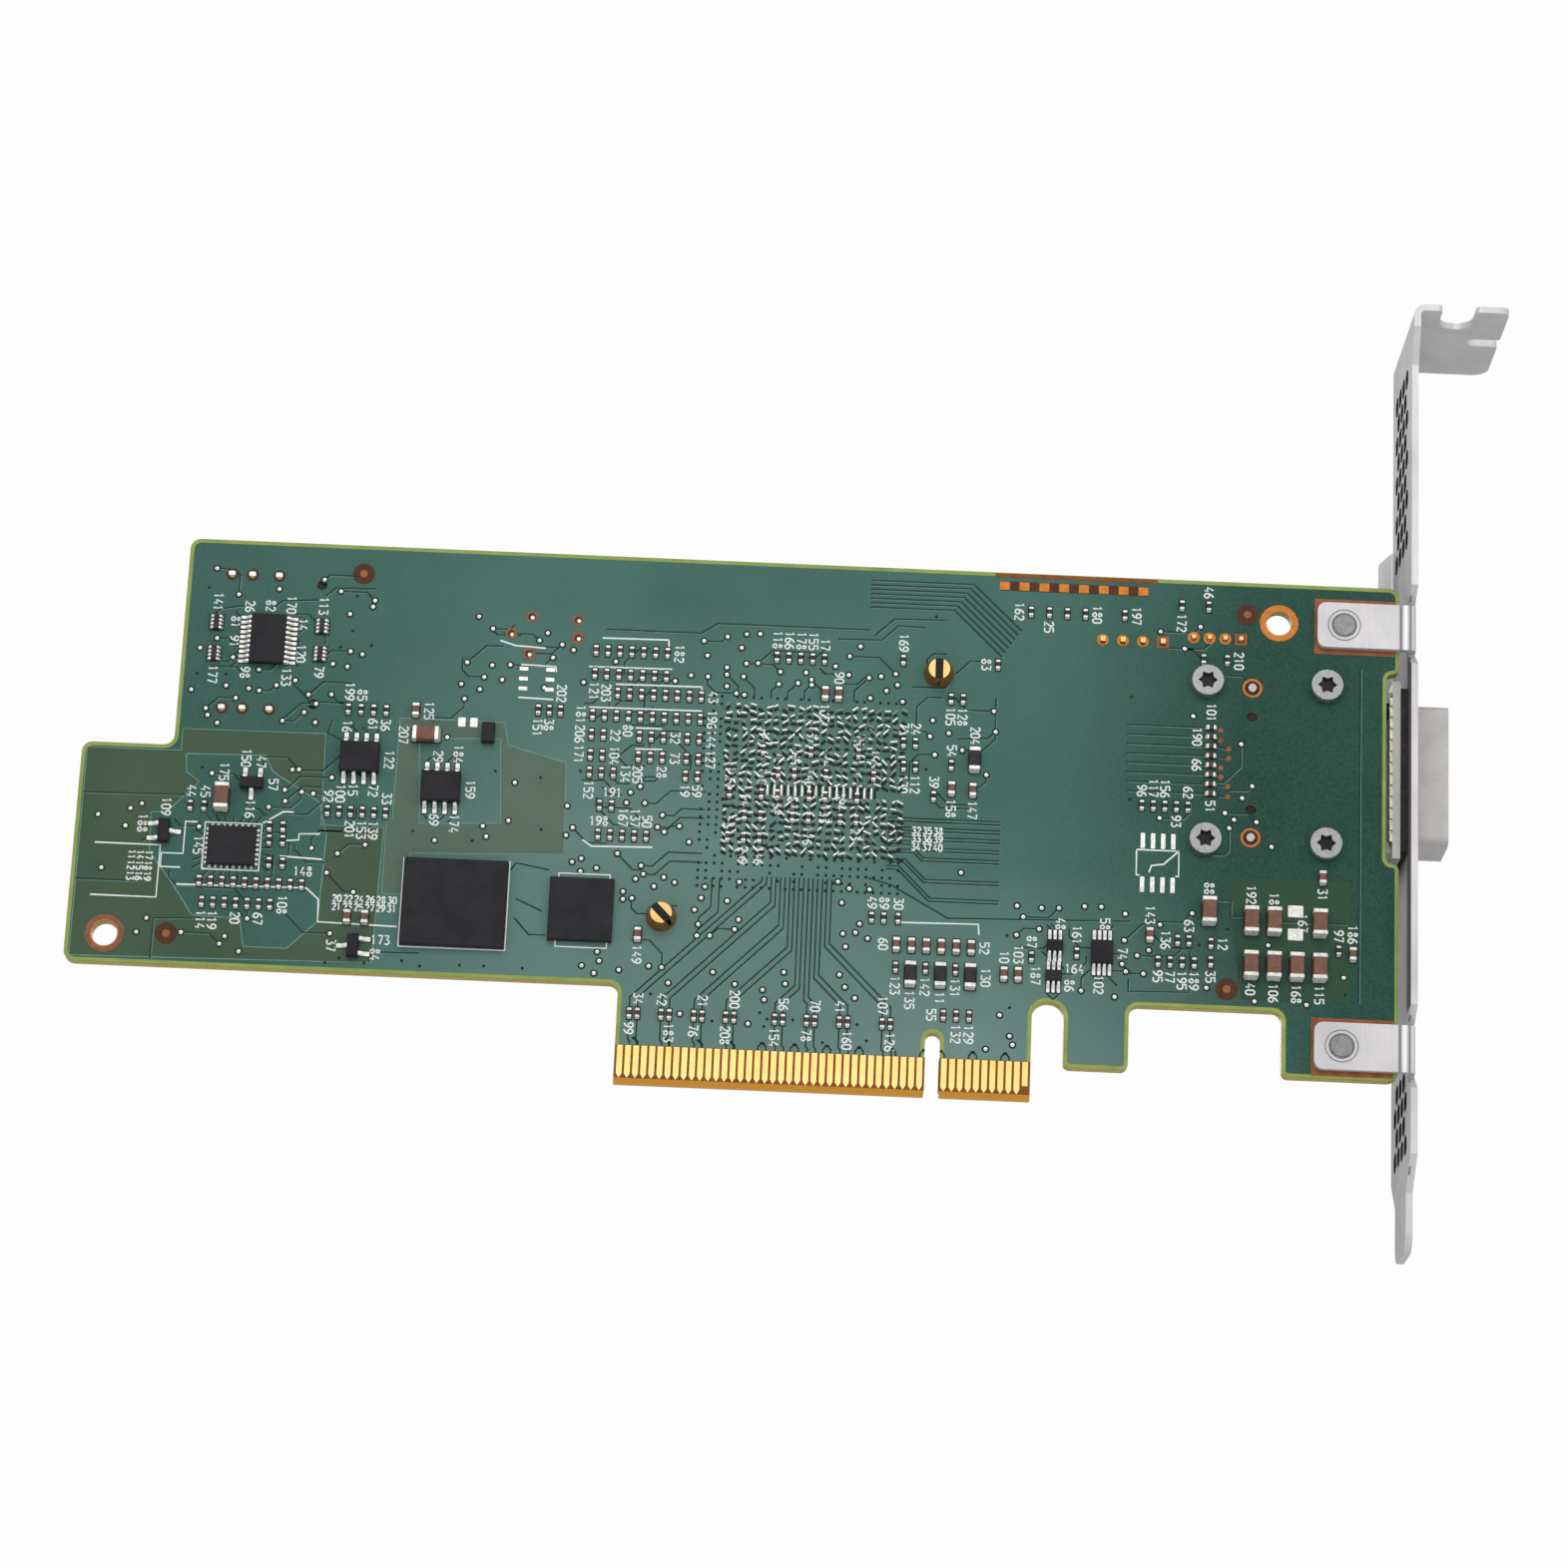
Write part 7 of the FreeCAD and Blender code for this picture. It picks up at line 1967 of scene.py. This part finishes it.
def take_paths(room, paths):
    """Marks the room under some paths as taken."""
    half = Room.CELL / 2
    for path in paths:
        for a, b in zip(path, path[1:]):
            steps = max(1, round(math.dist(a, b) / Room.CELL))
            for i in range(steps + 1):
                x = a[0] + (b[0] - a[0]) * i / steps
                z = a[1] + (b[1] - a[1]) * i / steps
                room.take(*box_round(x, z, half, half))


def via_box(point):
    return box_round(*point, VIA_SIZE / 2, VIA_SIZE / 2)


def free_places(room, points):
    """The points at which a via has room; they take it."""
    return [point for point in points if room.claim(*via_box(point))]


def traces_and_vias(room):
    wander = wandering_traces()
    hooks = contact_hooks()
    fans = [path for path in fan_traces() if room.free(*via_box(path[-1]))]
    paths = bundle_traces() + [list(path) for path in HAND_TRACES] + lead_traces() + manager_traces()
    clear = without_crossings(paths + hooks + fans + wander)
    lined("board_traces", clear, TRACE_WIDTH, 2 * TRACE_HEIGHT, "covered_trace")
    # Painted highlight: a pale copy of each trace, shifted down and to the right, along its raised edge
    edges = [[(x + HIGHLIGHT_SHIFT, z - HIGHLIGHT_SHIFT) for x, z in path] for path in clear]
    lined("trace_edges", edges, TRACE_WIDTH / 2, 2 * TRACE_HIGHLIGHT_HEIGHT, "painted_highlight")
    ends = free_places(room, [path[-1] for path in clear if path in fans])
    ends += free_places(room, [end for path in clear if path in wander for end in (path[0], path[-1])])
    take_paths(room, clear)
    holes = core_field() + [path[-1] for path in hooks if path in clear]
    drilled_artwork(room, ends, holes)


# Bare pads and solder

# Places of bare pads, with their width and length
BARE_PADS = (
    ([(25.46 + 1.27 * i, z) for z in (34.0, 28.3) for i in range(4)], (0.55, 2.0)),
    ([(-53.2 + 3.35 * i, 50.6 + 1.32 * j) for i in range(2) for j in range(3)], (1.1, 0.5)),
    (((-60.6, 45.8), (-59.1, 45.8)), (0.95, 1.2)),
    (((44.67, 25.6), (44.67, 22.6)), (1.9, 1.5)),
)
FLAT_CHIP_PADS = 8
FLAT_CHIP_REACH = 0.1
FLAT_PAD_WIDTH = 0.3
FLAT_PAD_LENGTH = 0.5
LEG_DOME = (1.0, 0.42, 1.0)
LEG_GAP = (0.5, 0.78)
PIN_DOME = (0.72, 0.3, 0.72)


def flat_chip_pads():
    """Pads that peep out all round under the power manager chip."""
    low, high = solids_of("power_manager_chip")[0]
    spots = []
    for x, z in even_places(low, high, FLAT_CHIP_PADS):
        for edge in (low.z - FLAT_CHIP_REACH, high.z + FLAT_CHIP_REACH):
            spots.append(flat_pad(x, edge, FLAT_PAD_WIDTH, FLAT_PAD_LENGTH))
        for edge in (low.x - FLAT_CHIP_REACH, high.x + FLAT_CHIP_REACH):
            spots.append(flat_pad(edge, z, FLAT_PAD_LENGTH, FLAT_PAD_WIDTH))
    return spots


def bare_pads():
    spots = [flat_pad(x, z, *size) for places, size in BARE_PADS for x, z in places]
    spots += lead_pads(LEAD_PAD_MARGIN, PAD_HEIGHT)
    spots += flat_chip_pads()
    scattered("bare_pads", BLOCK, spots, "end_solder", "tinned_lead")


def soldered_legs():
    """Cream solder over the legs of the internal port and round the header pins."""
    legs = standing_out("internal_port_cover")
    pins = [place for node in HEADER_PIN_NODES for place in middles(node)]
    level = level_under(SOLDER_FACE)
    domes = [((x, level, z), LEG_DOME, 0) for x, z in legs]
    domes += [((x, level, z), PIN_DOME, 0) for x, z in pins]
    scattered("leg_solder", DOME, domes, "leg_solder", "tinned_lead")
    shells = [ring(x, z, *LEG_GAP, INK_HEIGHT) for x, z in legs]
    flat_piece("leg_gaps", shells, "dark_laminate", "solder_mask")


def artwork():
    board_rim()
    copper_artwork()
    finger_ground()
    copper_areas()
    room = room_on_board()
    legend(room)
    traces_and_vias(room)
    bare_pads()
    soldered_legs()


# Ends of the bracket screws, swaged into the ears

SCREW_END_RADIUS = 1.35
SCREW_END_RISE = 0.1
SCREW_GROOVE_RADIUS = 1.62
SCREW_GROOVE_RISE = 0.03
SCREW_COLLAR = (1.98, 2.1)
EAR_REACH = 5.0


def screw_ends():
    ears = [vertex.co / MM for vertex in frame["nodes"]["mounting_bracket"].data.vertices]
    ear_face = min(point.y for point in ears if point.x < BOARD_RIGHT - EAR_REACH)
    discs = []
    grooves = []
    for x, z in middles("bracket_screws"):
        discs.append(prism(circle(x, z, SCREW_END_RADIUS, FINE_ROUND), SCREW_END_RISE, ear_face))
        # Painted shadow: dark flat rings for the groove round each screw end and for the outline of its
        # collar
        grooves.append(prism(circle(x, z, SCREW_GROOVE_RADIUS, FINE_ROUND), SCREW_GROOVE_RISE, ear_face))
        grooves.append(ring(x, z, *SCREW_COLLAR, SCREW_GROOVE_RISE, ear_face))
    flat_piece("screw_ends", discs, "swaged_steel", "screw_steel")
    flat_piece("screw_grooves", grooves, "groove_shadow", "screw_steel")


# Painted shadow in the split tips of the push pins, and their springs

PIN_SLOT_RUN = 2.7
PIN_SLOT_WIDTH = 1.0
PIN_SLOT_RISE = 0.01
PIN_SLOT_TURNS = (-math.pi / 4, math.pi / 2)
SPRING_WIRE = 0.3
SPRING_TURNS = 4.5


def pin_slots():
    """Painted shadow: dark flat bars in the splits across the tips of the push pins."""
    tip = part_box("heat_sink_pins")[0].y / MM
    shells = []
    for (x, z), turn in zip(sorted(middles("heat_sink_pins")), PIN_SLOT_TURNS):
        along = Vector((math.cos(turn), math.sin(turn))) * PIN_SLOT_RUN / 2
        across = Vector((-math.sin(turn), math.cos(turn))) * PIN_SLOT_WIDTH / 2
        offsets = (-along - across, along - across, along + across, across - along)
        corners = [tuple(Vector((x, z)) + offset) for offset in offsets]
        shells.append(prism(corners, PIN_SLOT_RISE, tip))
    flat_piece("pin_slots", shells, "via_hole", "brass_pin")


def pin_springs():
    boxes = solids_of("heat_sink_springs")
    low = min(box[0].y for box in boxes)
    high = max(box[1].y for box in boxes)
    radius = (boxes[0][1].x - boxes[0][0].x) / 2
    seed = bpy.data.meshes.new("spring_places")
    places = [Vector((x, low + SPRING_WIRE, z)) for x, z in middles("heat_sink_springs")]
    seed.from_pydata([place * MM for place in places], [], [])
    values = {"Radius": (radius - SPRING_WIRE) * MM, "Height": (high - low - 2 * SPRING_WIRE) * MM,
              "Turns": SPRING_TURNS, "Wire": SPRING_WIRE * MM, "Finish": FINISH["spring_steel"]}
    mesh = grown_mesh("push_pin_springs", seed, SPRINGS, values)
    settle("push_pin_springs", mesh, "spring_steel", "heat_sink_springs")


# Light, floor and camera

CAMERA_PLACE = (-16.853, -568.257, -140.892)
CAMERA_TURN = (-17.6285, 0.2757, 2.4286)
SENSOR = 36.0
LENS = 108.89
NEAREST = 10
FLOOR_DROP = 250
FLOOR_SPAN = 3000
SOFT_LIGHT = (0.98, 0.99, 1.0, 1.0)
SOFT_STRENGTH = 0.68
SURROUND = (0.985, 0.985, 0.985, 1.0)
SURROUND_STRENGTH = 1.0

# Place and width of each lamp in millimetres, and its power in watts; all aim at one point
LAMP_AIM = (-20, 0, 40)
LAMPS = {
    "key_lamp": ((-60, -560, 420), 460, 1.35),
    "fill_lamp": ((420, -420, 160), 360, 0.4),
    "back_lamp": ((-60, 520, 260), 420, 1.2),
}


def add_camera():
    """Camera at the photograph's viewing angle."""
    turn = Euler([math.radians(angle) for angle in CAMERA_TURN], "XYZ").to_matrix()
    look = turn @ Matrix(((1, 0, 0), (0, 0, -1), (0, 1, 0)))
    axes = Matrix((look[0], -look[1], -look[2])).transposed()
    data = bpy.data.cameras.new("camera")
    data.sensor_width = SENSOR
    data.lens = LENS
    data.clip_start = NEAREST * MM
    camera = bpy.data.objects.new("camera", data)
    camera.matrix_world = Matrix.Translation(Vector(CAMERA_PLACE) * MM) @ axes.to_4x4()
    bpy.context.scene.collection.objects.link(camera)
    bpy.context.scene.camera = camera


def add_floor():
    mesh = bpy.data.meshes.new("floor")
    corners = [Vector((x, y, -FLOOR_DROP)) * MM for x, y in square(0, 0, FLOOR_SPAN / 2)]
    mesh.from_pydata(corners, [], [(0, 1, 2, 3)])
    mesh.materials.append(FINISH["pale_floor"])
    floor = bpy.data.objects.new("floor", mesh)
    bpy.context.scene.collection.objects.link(floor)


def add_lamp(name, place, size, power):
    data = bpy.data.lights.new(name, "AREA")
    data.shape = "DISK"
    data.size = size * MM
    data.energy = power
    lamp = bpy.data.objects.new(name, data)
    lamp.location = Vector(place) * MM
    lamp.rotation_euler = (Vector(LAMP_AIM) - Vector(place)).to_track_quat("-Z", "Y").to_euler()
    bpy.context.scene.collection.objects.link(lamp)


def background(tree, colour, strength):
    node = tree.nodes.new("ShaderNodeBackground")
    node.inputs["Color"].default_value = colour
    node.inputs["Strength"].default_value = strength
    return node.outputs["Background"]


def add_world():
    """Soft even light, with a white surround for what is seen straight or mirrored."""
    world = bpy.data.worlds.new("studio")
    world.use_nodes = True
    bpy.context.scene.world = world
    tree = world.node_tree
    tree.nodes.clear()
    path = tree.nodes.new("ShaderNodeLightPath")
    seen = compute(tree, "MAXIMUM", path.outputs["Is Camera Ray"], path.outputs["Is Glossy Ray"])
    seen = compute(tree, "MAXIMUM", seen, path.outputs["Is Transmission Ray"])
    mix = tree.nodes.new("ShaderNodeMixShader")
    output = tree.nodes.new("ShaderNodeOutputWorld")
    tree.links.new(seen, mix.inputs["Fac"])
    tree.links.new(background(tree, SOFT_LIGHT, SOFT_STRENGTH), mix.inputs[1])
    tree.links.new(background(tree, SURROUND, SURROUND_STRENGTH), mix.inputs[2])
    wire(mix, "Shader", output, "Surface")


def add_studio():
    add_world()
    add_floor()
    for name, (place, size, power) in LAMPS.items():
        add_lamp(name, place, size, power)
    add_camera()
    bpy.context.scene.view_settings.view_transform = "Standard"


def main():
    dress_frame()
    chip_part_pieces()
    artwork()
    screw_ends()
    pin_slots()
    pin_springs()
    for shape in (BLOCK, SLOPE, DOME):
        bpy.data.objects.remove(shape)
    add_studio()


main()
